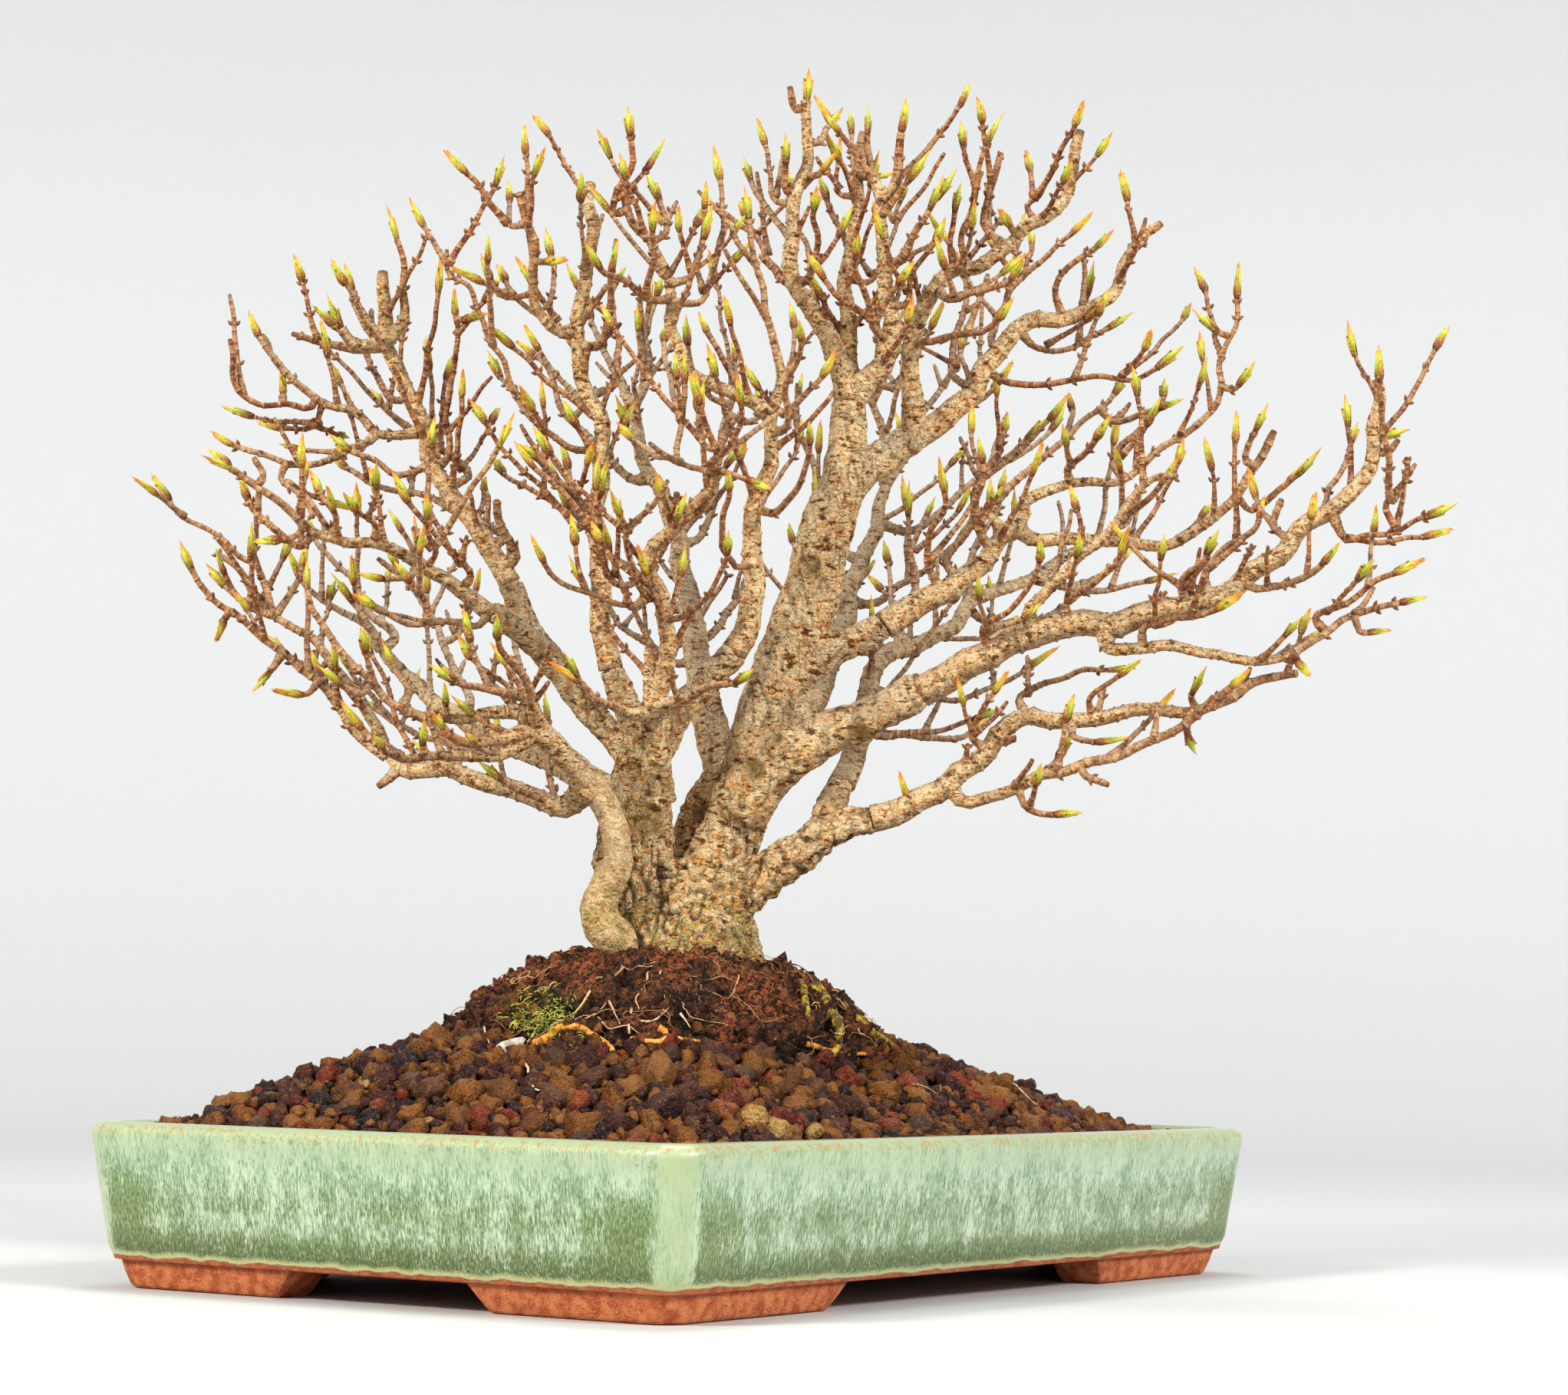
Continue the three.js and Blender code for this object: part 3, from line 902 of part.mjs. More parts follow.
// The fired pot: wall and floor, four feet, two drain holes and two holes for the anchor wire
function potSolid() {
  const h = POT.height;
  const foot = POT.footHeight;
  const body = solidOf(skin([
    outline(flareAt(foot) + 2.2, foot),
    outline(flareAt(foot) + 0.6, foot + 1.3),
    outline(flareAt(foot + 4), foot + 4),
    outline(flareAt(h - 5), h - 5),
    outline(0, h - 3),
    outline(0.5, h - 1.5),
    outline(1.6, h - 0.4),
    outline(3.2, h),
    outline(POT.wall - 2.4, h),
    outline(POT.wall - 0.8, h - 0.8),
    outline(POT.wall + flareAt(h - 4), h - 4),
    outline(POT.wall + flareAt(FLOOR_TOP + 3), FLOOR_TOP + 3),
    outline(POT.wall + flareAt(FLOOR_TOP) + 1.5, FLOOR_TOP),
  ]));
  let pot = body.add(footSolid());
  for (const x of [-POT.drainSpacing / 2, POT.drainSpacing / 2]) {
    pot = pot.subtract(upright(POT.drainRadius, x, foot - 2, FLOOR_TOP + 2, 20));
  }
  for (const x of [-ANCHOR.halfSpan, ANCHOR.halfSpan]) {
    pot = pot.subtract(upright(ANCHOR_WIRE, x, foot - 2, FLOOR_TOP + 2, 10));
  }
  return pot.simplify(FINENESS);
}

function boxAround(x, y, width, depth, low, high) {
  const box = new THREE.BoxGeometry(width, depth, high - low);
  box.translate(x, y, (low + high) / 2);
  return solidOf(box);
}

function screenSolid(x) {
  const low = FLOOR_TOP + GAP;
  const high = low + SCREEN.thickness;
  const pitch = SCREEN.hole + SCREEN.bar;
  let screen = boxAround(x, 0, SCREEN.side, SCREEN.side, low, high);
  for (let i = 0; i < SCREEN.holes ** 2; i += 1) {
    const across = ((i % SCREEN.holes) - (SCREEN.holes - 1) / 2) * pitch;
    const deep = (Math.floor(i / SCREEN.holes) - (SCREEN.holes - 1) / 2) * pitch;
    screen = screen.subtract(boxAround(x + across, deep, SCREEN.hole, SCREEN.hole, low - 1, high + 1));
  }
  return screen;
}

// A bent wire of even thickness through the given corners
function wireSolid(corners, diameter, extra = 0) {
  const radius = diameter / 2 + extra;
  return solidOf(limbGeometry(corners.map(([x, y, z]) => ({ at: new THREE.Vector3(x, y, z), radius })), 5));
}

// Each clip comes up one side of its drain hole, crosses the screen and goes down again
const SCREEN_TOP = FLOOR_TOP + GAP + SCREEN.thickness;
const CLIP = {
  leg: 7.2,
  toe: 16,
  under: POT.footHeight - GAP - CLIP_WIRE * 0.6,
  over: SCREEN_TOP + GAP + CLIP_WIRE * 0.6,
  rounding: 1.2,
};

function clipCorners(x) {
  const { leg, toe, under, over, rounding } = CLIP;
  const half = [
    [toe, under], [leg + rounding, under], [leg, under + rounding], [leg, over - rounding],
    [leg - rounding, over],
  ];
  return [...half, ...half.map(([reach, z]) => [-reach, z]).reverse()].map(([reach, z]) => [x + reach, 0, z]);
}

// The anchor wire comes up through the floor beside the drain holes and crosses inside the root ball
const ANCHOR = {
  halfSpan: 36,
  tail: 5,
  under: POT.footHeight - GAP - ANCHOR_WIRE * 0.6,
  over: 50,
  rounding: 4,
};

function anchorCorners() {
  const { halfSpan, under, over, tail, rounding } = ANCHOR;
  const half = [
    [tail, over + 1], [halfSpan - rounding, over], [halfSpan, over - rounding], [halfSpan, under + 2],
    [halfSpan - 2, under],
  ];
  return [...half, ...half.map(([reach, z]) => [-reach, z]).reverse()].map(([reach, z]) => [reach, 0, z]);
}

// The old root ball: a low dome, rough with roots, flattened a little across the pot
function ballSolid() {
  const draw = seededDraw(BALL.seed);
  const jitter = () => BALL.roughness * (draw() - 0.5) * 2;
  const dome = new THREE.LatheGeometry(BALL.profile.map(([r, z]) => new THREE.Vector2(r, z)), BALL.segments);
  dome.rotateX(Math.PI / 2);
  dome.deleteAttribute('normal');
  dome.deleteAttribute('uv');
  const welded = mergeVertices(dome, 1e-3);
  const centre = seen(BALL.u, 0, 0);
  const place = welded.attributes.position;
  for (let i = 0; i < place.count; i += 1) {
    const push = 1 + jitter() / BALL.reach;
    place.setXYZ(
      i,
      centre.x + place.getX(i) * BALL.lengthwise * push,
      centre.y + place.getY(i) * BALL.across * push,
      place.getZ(i) + (place.getZ(i) > BALL.roughFrom ? jitter() : 0),
    );
  }
  return solidOf(welded);
}

// Height of the heap at a place: a square-based cone, with a fuller shoulder on the tree's left
function heapHeight(x, y) {
  const halfLength = POT.length / 2 - POT.wall;
  const halfWidth = POT.width / 2 - POT.wall;
  const { squareness } = SOIL;
  const lengthwise = (Math.abs(x) / halfLength) ** squareness;
  const spread = (lengthwise + (Math.abs(y) / halfWidth) ** squareness) ** (1 / squareness);
  const fromWall = Math.max(0, Math.min(halfLength - Math.abs(x), halfWidth - Math.abs(y)));
  const leftward = y * Math.cos(FRONT.turn) - x * Math.sin(FRONT.turn);
  const toLeft = THREE.MathUtils.clamp(leftward / SOIL.shoulderAt, 0, 1);
  const shoulder = SOIL.shoulder * toLeft * (1 - Math.exp(-fromWall / SOIL.reach));
  return SOIL.edge + SOIL.rise * Math.max(0, 1 - spread) + shoulder;
}

// The granules: a grid of rough knobs over the heap, closed underneath
function heapSolid() {
  const draw = seededDraw(SOIL.seed);
  const across = Math.ceil(POT.length / SOIL.cell);
  const deep = Math.ceil(POT.width / SOIL.cell);
  const corners = [];
  for (let j = 0; j <= deep; j += 1) {
    for (let i = 0; i <= across; i += 1) {
      const x = (i - across / 2 + (draw() - 0.5) * SOIL.scatter) * SOIL.cell;
      const y = (j - deep / 2 + (draw() - 0.5) * SOIL.scatter) * SOIL.cell;
      const knob = (draw() - 0.5) * 2 * SOIL.grain;
      corners.push(x, y, heapHeight(x, y) + knob);
    }
  }
  const faces = [];
  const top = (i, j) => j * (across + 1) + i;
  for (let j = 0; j < deep; j += 1) {
    for (let i = 0; i < across; i += 1) {
      const [a, b, c, d] = [top(i, j), top(i + 1, j), top(i + 1, j + 1), top(i, j + 1)];
      if ((i + j) % 2) faces.push(a, b, c, a, c, d);
      else faces.push(a, b, d, b, c, d);
    }
  }
  const edge = [];
  for (let i = 0; i < across; i += 1) edge.push(top(i, 0));
  for (let j = 0; j < deep; j += 1) edge.push(top(across, j));
  for (let i = across; i > 0; i -= 1) edge.push(top(i, deep));
  for (let j = deep; j > 0; j -= 1) edge.push(top(0, j));
  const keel = corners.length / 3;
  corners.push(0, 0, 0);
  edge.forEach((from, k) => faces.push(keel, edge[(k + 1) % edge.length], from));
  const geometry = new THREE.BufferGeometry();
  geometry.setAttribute('position', new THREE.Float32BufferAttribute(corners, 3));
  geometry.setIndex(faces);
  return solidOf(geometry);
}

// The heap inside the pot, less the ball, the wires and the screens that it lies around
function soilSolid(aroundBall, aroundAnchor) {
  let soil = heapSolid().intersect(cavity(GAP)).subtract(aroundBall).subtract(aroundAnchor);
  for (const x of [-POT.drainSpacing / 2, POT.drainSpacing / 2]) {
    const side = SCREEN.side + 2 * GAP;
    soil = soil.subtract(boxAround(x, 0, side, side, 0, SCREEN_TOP + GAP));
    soil = soil.subtract(boxAround(x, 0, 2 * CLIP.leg + 3, 3, 0, CLIP.over + CLIP_WIRE));
  }
  return largestBody(soil).simplify(FINENESS);
}

// The dome once more, grown all round by the gap
function grown(solid, margin) {
  const box = solid.boundingBox();
  const size = [0, 1, 2].map((i) => box.max[i] - box.min[i]);
  const middle = [0, 1, 2].map((i) => (box.max[i] + box.min[i]) / 2);
  return solid.translate(middle.map((c) => -c))
    .scale(size.map((s) => (s + 2 * margin) / s))
    .translate(middle);
}

const FINISH = {
  glaze: { color: 0x86b487, roughness: 0.25 },
  plastic: { color: 0x26282a, roughness: 0.6 },
  wire: { color: 0xa8a39b, roughness: 0.4, metalness: 1 },
  granules: { color: 0x5a3523, roughness: 0.85 },
  roots: { color: 0x3a2519, roughness: 0.9 },
  bark: { color: 0xb08e66, roughness: 0.8 },
  twigs: { color: 0x94673f, roughness: 0.75 },
};

function meshOf(name, solid, finish) {
  const material = new THREE.MeshStandardMaterial({ ...finish, flatShading: true });
  const mesh = new THREE.Mesh(geometryOf(solid), material);
  mesh.name = name;
  return mesh;
}

function bonsai() {
  const { trunk, aroundTrunk, sprays } = treeSolids();
  const ball = ballSolid();
  const aroundAnchor = wireSolid(anchorCorners(), ANCHOR_WIRE, 2 * GAP);
  const group = new THREE.Group();
  group.add(meshOf('pot', potSolid(), FINISH.glaze));
  [['left', -POT.drainSpacing / 2], ['right', POT.drainSpacing / 2]].forEach(([side, x]) => {
    group.add(meshOf(`drain_screen_${side}`, screenSolid(x), FINISH.plastic));
    group.add(meshOf(`screen_clip_${side}`, wireSolid(clipCorners(x), CLIP_WIRE), FINISH.wire));
  });
  group.add(meshOf('anchor_wire', wireSolid(anchorCorners(), ANCHOR_WIRE), FINISH.wire));
  group.add(meshOf('soil', soilSolid(grown(ball, 1.5 * GAP), aroundAnchor), FINISH.granules));
  const openedBall = largestBody(ball.subtract(aroundTrunk).subtract(aroundAnchor)).simplify(FINENESS);
  group.add(meshOf('root_ball', openedBall, FINISH.roots));
  group.add(meshOf('trunk', trunk, FINISH.bark));
  for (const [node, solid] of sprays) group.add(meshOf(node, solid, FINISH.twigs));
  return group;
}

const model = bonsai();

// The middle of the object's footprint becomes the origin
const extent = new THREE.Box3().setFromObject(model, true);
const middle = extent.getCenter(new THREE.Vector3());
model.position.set(-middle.x, -middle.y, -extent.min.z);

export default model;
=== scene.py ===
"""A trident maple bonsai in early spring, on its old root ball in a rectangular glazed pot.

The tree is described in millimetres as it is seen from its front, and its meshes are made in metres.
"""

import logging
import math
from dataclasses import dataclass, field
from enum import Enum

import bmesh
import bpy
import numpy as np
from mathutils import Matrix, Vector, noise


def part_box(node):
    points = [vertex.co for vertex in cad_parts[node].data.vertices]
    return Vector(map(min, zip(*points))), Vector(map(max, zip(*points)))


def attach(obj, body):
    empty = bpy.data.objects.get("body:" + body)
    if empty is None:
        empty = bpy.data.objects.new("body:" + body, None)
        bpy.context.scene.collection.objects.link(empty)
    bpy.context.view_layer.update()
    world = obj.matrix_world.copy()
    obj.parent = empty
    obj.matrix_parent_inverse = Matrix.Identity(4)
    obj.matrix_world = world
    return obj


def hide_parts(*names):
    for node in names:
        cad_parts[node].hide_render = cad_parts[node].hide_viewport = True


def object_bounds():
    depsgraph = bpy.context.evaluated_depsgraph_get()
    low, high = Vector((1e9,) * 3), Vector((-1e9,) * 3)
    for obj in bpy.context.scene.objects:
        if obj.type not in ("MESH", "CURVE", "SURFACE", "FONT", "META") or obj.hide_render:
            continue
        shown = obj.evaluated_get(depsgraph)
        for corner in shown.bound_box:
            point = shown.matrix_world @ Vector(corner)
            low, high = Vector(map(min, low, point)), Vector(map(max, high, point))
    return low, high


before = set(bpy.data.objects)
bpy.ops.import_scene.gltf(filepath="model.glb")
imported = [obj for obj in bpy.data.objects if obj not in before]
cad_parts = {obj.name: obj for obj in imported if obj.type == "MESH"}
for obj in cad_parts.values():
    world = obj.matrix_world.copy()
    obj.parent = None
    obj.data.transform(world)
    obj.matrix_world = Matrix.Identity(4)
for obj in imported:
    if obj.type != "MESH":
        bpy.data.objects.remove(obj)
CAD_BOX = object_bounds()
log = logging.getLogger("bonsai")

MM = 0.001
UP = np.array([0.0, 0.0, 1.0])


class Tip(Enum):
    """How a limb ends: in an opening bud, or cut back."""

    BUD = "bud"
    CUT = "cut"


class Rock(Enum):
    """Kinds of granule, each at its place on the scale of colours."""

    BROWN = 0.1
    PLUM = 0.35
    CHARCOAL = 0.5
    RUST = 0.65
    OCHRE = 0.8
    CREAM = 0.95


# Each limb of the trunk: its name, and its stations from the foot up as u,v,w,radius in millimetres
TRUNK = """
    flare -5,66,0,15 -5,74,0,20.5 -5,82,0,20 -4.5,87,0,17.2 -4,93,0,15.2 -4,100,-1,12.5 -3,106,-2,8;
    stem -2,90,-1,12 0,100,-1,10.6 2.5,108,-2,8.6 5,116,-3,7.8 7.5,124,-3,7.9 10.5,132,-3,8.2
      12,140,-3,8.1 14,150,-3,7 17.5,160,-4,6.8 22,170,-4,7.8 25,180,-4,7.2 27,190,-4,7 30,200,-4,6.5
      33,210,-4,6 34,220,-4,5.1 34,230,-4,4.4;
    left_stem -15,84,1,11 -18,92,1,10.8 -19.5,100,0,10.2 -19.5,108,0,9.9 -19.5,116,0,9.8 -19.5,122,1,9
      -19.5,128,1,7.4 -20,135,2,5.4 -20,142,2,4;
    recess -6,90,-4,8 -5.5,98,-6,7 -5,107,-8,6 -4.5,116,-9,5.4 -2,124,-9,4.6 3,132,-7,3.8;
    hook -18,83,12,5 -24,87,14,5.7 -28.8,93,14,4.9 -28,99,14.5,4.3 -24.8,105,15,3.9 -24.4,113,15,3.6
      -26.5,120,15,3.3 -30,126,17,3.2 -35,131.5,20,3.1 -40,136,24,2.9 -46,142,28,3.1;
    left -19,132,0,4.6 -26,140,-1,4.2 -31,145,-1,3.9 -38,154,-1,3.7 -46,164,-1,3.6 -51,172,-2,3.5
      -54,180,-3,3.4;
    left_fork -43,160,-1,3.2 -51,167,7,2.9 -59,172.5,14,2.8;
    left_back -19,137,2,3.8 -21,144,5,3.5 -24,151,6,3.3 -27,158,7,3.1;
    front -14,124,5,4.2 -14,132,9,3.4 -15,141,13,3.1 -16,148,16,3;
    middle -16,132,3,4 -12,140,6,3.8 -8,148,9,3.6 0,157,10,3.8 5,163,11,3.8;
    low_right 4,97,3,8 10,102,5,6.8 16,106.5,6,6 22,110.5,7,5.4 28,114.5,8,5 34,118,8,3.9 42,120,9,3.6;
    low_right_fork 28,115,8,4.4 31,122,1,3.9 34,129,-9,3.7;
    right 8,122,0,8 14,130,4,7 20,135.5,6,6.3 28,140.5,8,5.8 36,144.5,10,5 46,149,12,4.8 54,153.5,14,4.6;
    right_back 15,152,-4,5 22,157.5,-4,4.4 29,162.5,-4,3.9 37,167,-5,3.8 44,171,-5,3.7;
    high_right 33,206,-5,5 38,211,-9,4.6 45,216,-14,4.3 52,221,-18,4;
    back 8,120,-6,6.5 4,130,-15,5.4 0,141,-23,4.8 -3,152,-30,4.4;
    back_left -17,118,-3,5 -25,124,-12,4.2 -34,130,-22,3.8;
    back_right 14,136,-8,6 20,143,-19,4.8 26,151,-30,4.3
"""

# The limbs of each spray: name (a dash where none grows from it), parent, radius at foot and tip,
# change in depth, its end, and places u,v
SPRAYS = {
    "spray_low_left": """
    low_left hook 2.9 2.1 -26 cut -38,121.5 -48,124.5 -58,127 -68,130 -75,131 -80,130.5 -85,134;
    - low_left 1.6 1.5 2 cut -83,129.5 -87,126;
    low_left_outer low_left 1.9 1.2 10 bud -92,139 -97,146 -102,152 -110,158 -118,164 -124,169 -130,173
      -134,178 -139,184 -143.5,189;
    low_left_inner low_left 1.9 1.4 -18 cut -88,142 -93,150 -98,156 -104,163 -110,167 -116,170.5;
    - low_left_inner 1.4 1.1 -6 bud -118.5,178.5 -121,184 -125.5,186.5 -130,190 -134,193 -140.5,196.5
      -145,201.5 -148.5,207;
    - low_left_inner 1.3 1.1 10 bud -122,173 -127,177.5 -132,189;
    - low_left_inner 1.3 1.2 -14 cut -121,177 -125.5,183 -131,187;
    - low_left_inner 1.3 1.1 -3 bud -113,174 -109.5,180 -109.5,192;
    - low_left_outer 1.3 1.1 9 bud -117,155 -123,157.5;
    - low_left_outer 1.3 1.1 12 bud -106,150 -114.5,152;
    - low_left_outer 1.3 1.1 -6 bud -129,169 -134.5,171.5;
    - low_left_inner 1.3 1.1 -16 bud -104,156 -112,160 -117,166;
    - low_left 1.4 1.1 -24 bud -66,134 -72,141 -80,146 -88,150""",
    "spray_hook": """
    knot_long hook 1.7 1.1 14 bud -50,146 -58,145.5 -66,144 -74,144 -80,146 -84,148 -90,153 -96,160 -100,164
      -106,173 -106,187;
    knot_low hook 1.8 1.2 20 bud -54,136 -66,134 -75,134.5 -82,134 -89,138 -95,149;
    - hook 1.7 1.3 28 bud -50,141 -57,139 -65,138 -70,141 -74,148;
    - hook 1.6 1.1 22 bud -49,150 -55,152 -60,153 -66,154 -74.5,159.5;
    - knot_long 1.3 1.1 8 bud -70,149 -72,155;
    - knot_low 1.3 1.1 10 bud -76,138 -80,141.5;
    - knot_long 1.3 1.1 -10 bud -80,150 -84,158 -86,165;
    - knot_long 1.2 1.1 10 bud -92,150 -97,152 -103,158;
    - hook 1.6 1.1 42 bud -47,148 -50,156 -56,163 -58,172""",
    "spray_left_back": """
    grey_left back_left 3.4 1.9 -42 cut -41,134 -50,137 -60,141 -70,147 -79,154 -87,162;
    - grey_left 1.6 1.1 -24 bud -84,165 -91,172 -96,181 -104,189 -109,198;
    - grey_left 1.5 1.1 6 bud -91,168 -99,172 -107,178 -113,187;
    grey_left_c grey_left 1.8 1.1 -40 bud -64,148 -69,158 -73,169 -81,179 -86,190;
    - grey_left 1.6 1.1 8 bud -50,142 -55,151 -62,158 -66,168;
    - grey_left 1.5 1.1 -40 bud -62,136 -72,138 -82,142 -92,149;
    - grey_left_c 1.3 1.1 -18 bud -69,165 -64,174 -62,184;
    - grey_left 1.8 1.1 -52 bud -46,143 -50,154 -53,167 -56,181 -60,196 -61,207""",
    "spray_front_left": """
    front_left left_fork 2.6 1.3 38 bud -69,180 -75,183 -83,187.5 -89,190 -97.5,189.5 -104.5,192.5
      -110.5,197 -115.5,200.5 -120,204 -126,208 -131.5,210.5 -136,213.5;
    - front_left 1.2 1.2 4 cut -119.5,207 -122,212;
    - front_left 1.3 1.1 -8 bud -109,188.5 -115.5,192.5 -121.5,198.5 -127,208;
    - front_left 1.4 1.1 12 bud -64.5,181.5 -70,188.5 -77,195.5 -81.5,201.5 -85.5,208.5;
    - front_left 1.3 1.1 16 bud -90,195 -95,199 -97,206;
    - front_left 1.3 1.1 14 bud -80,182 -88,181 -94,184;
    - front_left 1.3 1.1 -12 bud -100,195 -104,202 -104,210;
    - front_left 1.3 1.1 10 bud -110,192 -116,190 -122,193;
    front_left_h front_left 1.5 1.1 30 bud -62,169 -70,170 -80,169 -88,173 -96,179;
    - front_left_h 1.3 1.1 10 bud -76,174 -80,180 -82,188;
    - front_left 1.3 1.1 22 bud -74,187 -76,194 -74,203""",
    "spray_left": """
    left_main left 3.2 2.6 -8 cut -60,190 -65,197 -71,204 -75,211 -77.5,219.5 -79.5,225.5 -84,233
      -86.5,238.5 -88,243;
    - left_main 2.1 2 3 cut -88.5,250 -89.5,262.5;
    - left_main 1.5 1.1 6 bud -84,249 -83.5,259 -84.5,267 -86,272 -89,279;
    - left_main 1.5 1.1 -8 bud -94,249 -96,253 -99,265;
    - left_main 1.4 1.1 10 bud -97,243 -101,248 -104,255;
    - left_main 1.4 1.3 -4 cut -97,242 -105,243 -113,245;
    - left_main 1.8 1.5 12 cut -53,187 -56,193 -58,202;
    left_arm left_main 2 1.3 6 bud -80,219.5 -90,219 -95,224 -105,228 -113,233 -118,239 -122,245
      -127.5,250.5;
    left_arm_b left_arm 1.4 1.3 9 cut -107.5,226 -114,226.5 -121,226.5 -126,229 -128.5,234 -129.5,243;
    left_arm_c left_arm 1.5 1.1 18 bud -92.5,217 -97.5,215 -102,211.5 -110.5,210 -119,213 -125,214 -129,216
      -133,222.5;
    - left_arm_c 1.2 1.1 5 cut -115,207 -110,202.5 -106,196;
    - left_arm 1.3 1.1 -10 bud -107,221 -114,220 -121,223.5;
    - left_arm_b 1.2 1.1 -6 bud -115,230 -118,234.5;
    - left_main 1.5 1.3 14 bud -84.5,208.5 -90.5,212 -96.5,214.5 -101,222;
    left_rod left_main 1.4 1.1 -8 bud -72,212 -72,225 -70,238 -70,248 -72,258.5;
    - left_rod 1.2 1.1 4 bud -67,250 -67,256;
    - left_main 1.6 1.1 -34 bud -84,228 -91,235 -95,243;
    - left_main 1.7 1.1 -46 bud -66,208 -74,216 -84,222 -92,231;
    - left_main 1.6 1.1 -40 bud -56,192 -66,198 -78,203 -92,206 -103,213""",
    "spray_left_top": """
    left_rise left_back 2.9 2 4 cut -29.5,170 -30,180 -31.5,195 -31,213 -31,222 -34,229 -37,238 -38,248
      -36.5,258 -35,268 -34.5,277;
    left_rise_fork left_rise 1.8 1.4 12 cut -42,247 -48,252 -50,262 -50,270 -52,277 -54,284;
    - left_rise_fork 1.3 1.2 -4 cut -56,275 -60,278;
    - left_rise_fork 1.4 1.1 -9 bud -57,256 -61,260 -66,266.5;
    - left_rise_fork 1.2 1.1 9 bud -46,266 -45,272;
    - left_rise 1.6 1.5 -5 cut -36,282 -35,287;
    - left_rise 1.5 1.1 20 cut -39,216 -46,220.5 -50.5,226.5 -54.5,232.5 -57.5,239.5 -60.5,243.5 -63.5,250.5
      -67,259.5 -72,262 -73,268;
    - left_rise 1.5 1.1 -38 bud -36,196 -44,202 -52,206 -60,213;
    - left_rise 1.5 1.1 -44 bud -29,232 -27,243 -29,254 -27,265;
    - left_rise 1.4 1.1 26 bud -34,200 -41,206 -47,212 -53,219;
    - left_rise 1.4 1.1 -30 bud -41,246 -45,255 -44,264 -47,273;
    - left_rise 1.5 1.1 24 bud -32,244 -29,253 -30,262 -27,270""",
    "spray_front": """
    front_rod front 2.7 2.2 18 cut -12,160 -12.5,168 -14,176.5 -17.5,186 -16,191;
    - front 2.2 2.1 2 cut -16.5,156 -16.5,164;
    front_red front_rod 1.9 1.6 12 cut -13,194 -8,199 -5,203 -1.5,208 0,213 2,222;
    - front_red 1.3 1.1 8 bud -4,217.5 -5,223 -5,235.5;
    - front_red 1.3 1.1 8 bud 4,210 10,208.5 15,212;
    - front_red 1.3 1.1 -8 bud -10,213 -10,225 -9,232 -10,242;
    - front_rod 1.4 1.3 14 cut -11,196 -10,205;
    - front_rod 1.4 1.1 26 bud -23,175 -31,178 -40,181 -50,192.5;
    - front_rod 1.3 1.1 18 bud -25,180 -32,192 -40,203 -50,213 -53,218;
    - front_rod 1.3 1.1 32 bud -8,172 -2,178 2,187 2,196;
    - front_rod 1.4 1.1 46 bud -16,177 -22,184 -24,194 -28,203;
    - front 1.4 1.1 26 bud -9,150 -2,153.5 6,155 13,156;
    - front 1.4 1.1 30 bud -20,146 -27,148 -34,152 -38,162;
    - front_red 1.3 1.1 26 bud -2,212 3,219 6,227 5,236""",
    "spray_middle": """
    middle_rod middle 3.5 2.2 10 cut 8,168 10,176 10,185 9,195 12,208 14,218 13,226;
    middle_pink middle_rod 2 1.9 4 cut 10,229 4,231.5 -2,234 -8.5,237;
    middle_rise middle_pink 1.9 1.5 3 cut -11,243 -13,249 -13.5,257.5 -15.5,265.5 -19.5,271.5 -24,275.5
      -25.5,281 -26,287;
    - middle_rise 1.3 1.1 9 bud -29,279 -28,285 -25,291 -24.5,297 -25.5,309;
    - middle_rise 1.3 1.1 -6 bud -15,274 -17,282 -20,290.5;
    - middle_rise 1.4 1.1 9 bud -9,262 -6,270 -5,280 -5,290;
    - middle_rise 1.4 1.1 -12 bud -6,256 -2,265 0,276 -1,286 -1,296.5;
    - middle_rod 1.6 1.1 14 bud 16,234 15,243 12,252 10,262 7,275 6.5,288;
    - middle_rod 1.4 1.1 28 bud 15,200 21,207 24,216 23,226;
    - middle_rod 1.4 1.1 30 bud 5,186 1,194 3,205 0,213;
    - middle_rise 1.4 1.1 20 bud -19,256 -26,261 -32,264 -36,272;
    - middle_rod 1.5 1.1 36 bud 17,222 17,232 21,242 20,253""",
    "spray_top": """
    apex stem 3.2 1.6 2 bud 33,236 29,246 24,254 19.5,260 18.5,267 18,276 19,285 21.5,294 22,303 21,309
      24,318.5;
    - apex 1.3 1.3 3 cut 19,308 17,314;
    - apex 1.3 1.1 9 bud 16.5,286 16.5,292 19.5,301.5;
    - apex 1.4 1.1 -6 bud 14,283 12,290 11,297 10,306.5;
    - apex 1.3 1.1 -6 bud 25,299 27,303 32,310;
    - apex 1.3 1.1 8 bud 24,290 27,293 30.5,298;
    pale stem 3 2 10 cut 38,235 43,240 44.5,250 43,262 42.5,270 41.5,279 42,284;
    - pale 1.4 1.1 3 bud 45,287 46,297 47.5,311;
    - pale 1.4 1.1 -6 bud 40,289 38,298 41.5,309;
    - pale 1.4 1.1 16 bud 47,268 51,274 54,281 57.5,289.5;
    - pale 1.4 1.1 14 bud 48,256 50,265 55,272 59,281.5;
    brown stem 2.6 1.8 -14 cut 33,240 33,250 32,262 34,272 35,282 35.5,292 36,302;
    - brown 1.3 1.1 -6 bud 31,285 30,294 32,301;
    - brown 1.3 1.1 7 bud 38,290 39,297.5;
    - brown 1.5 1.1 -38 bud 38,262 43,270 46,280 46,290;
    - apex 1.5 1.1 26 bud 22,262 25,271 24,280 27,288;
    - apex 1.6 1.1 -44 bud 21,258 14,265 9,274 4,283;
    - brown 1.6 1.1 -50 bud 29,250 24,260 22,272 17,282 18,292;
    - pale 1.5 1.1 34 bud 42,248 38,257 35,266 36,276""",
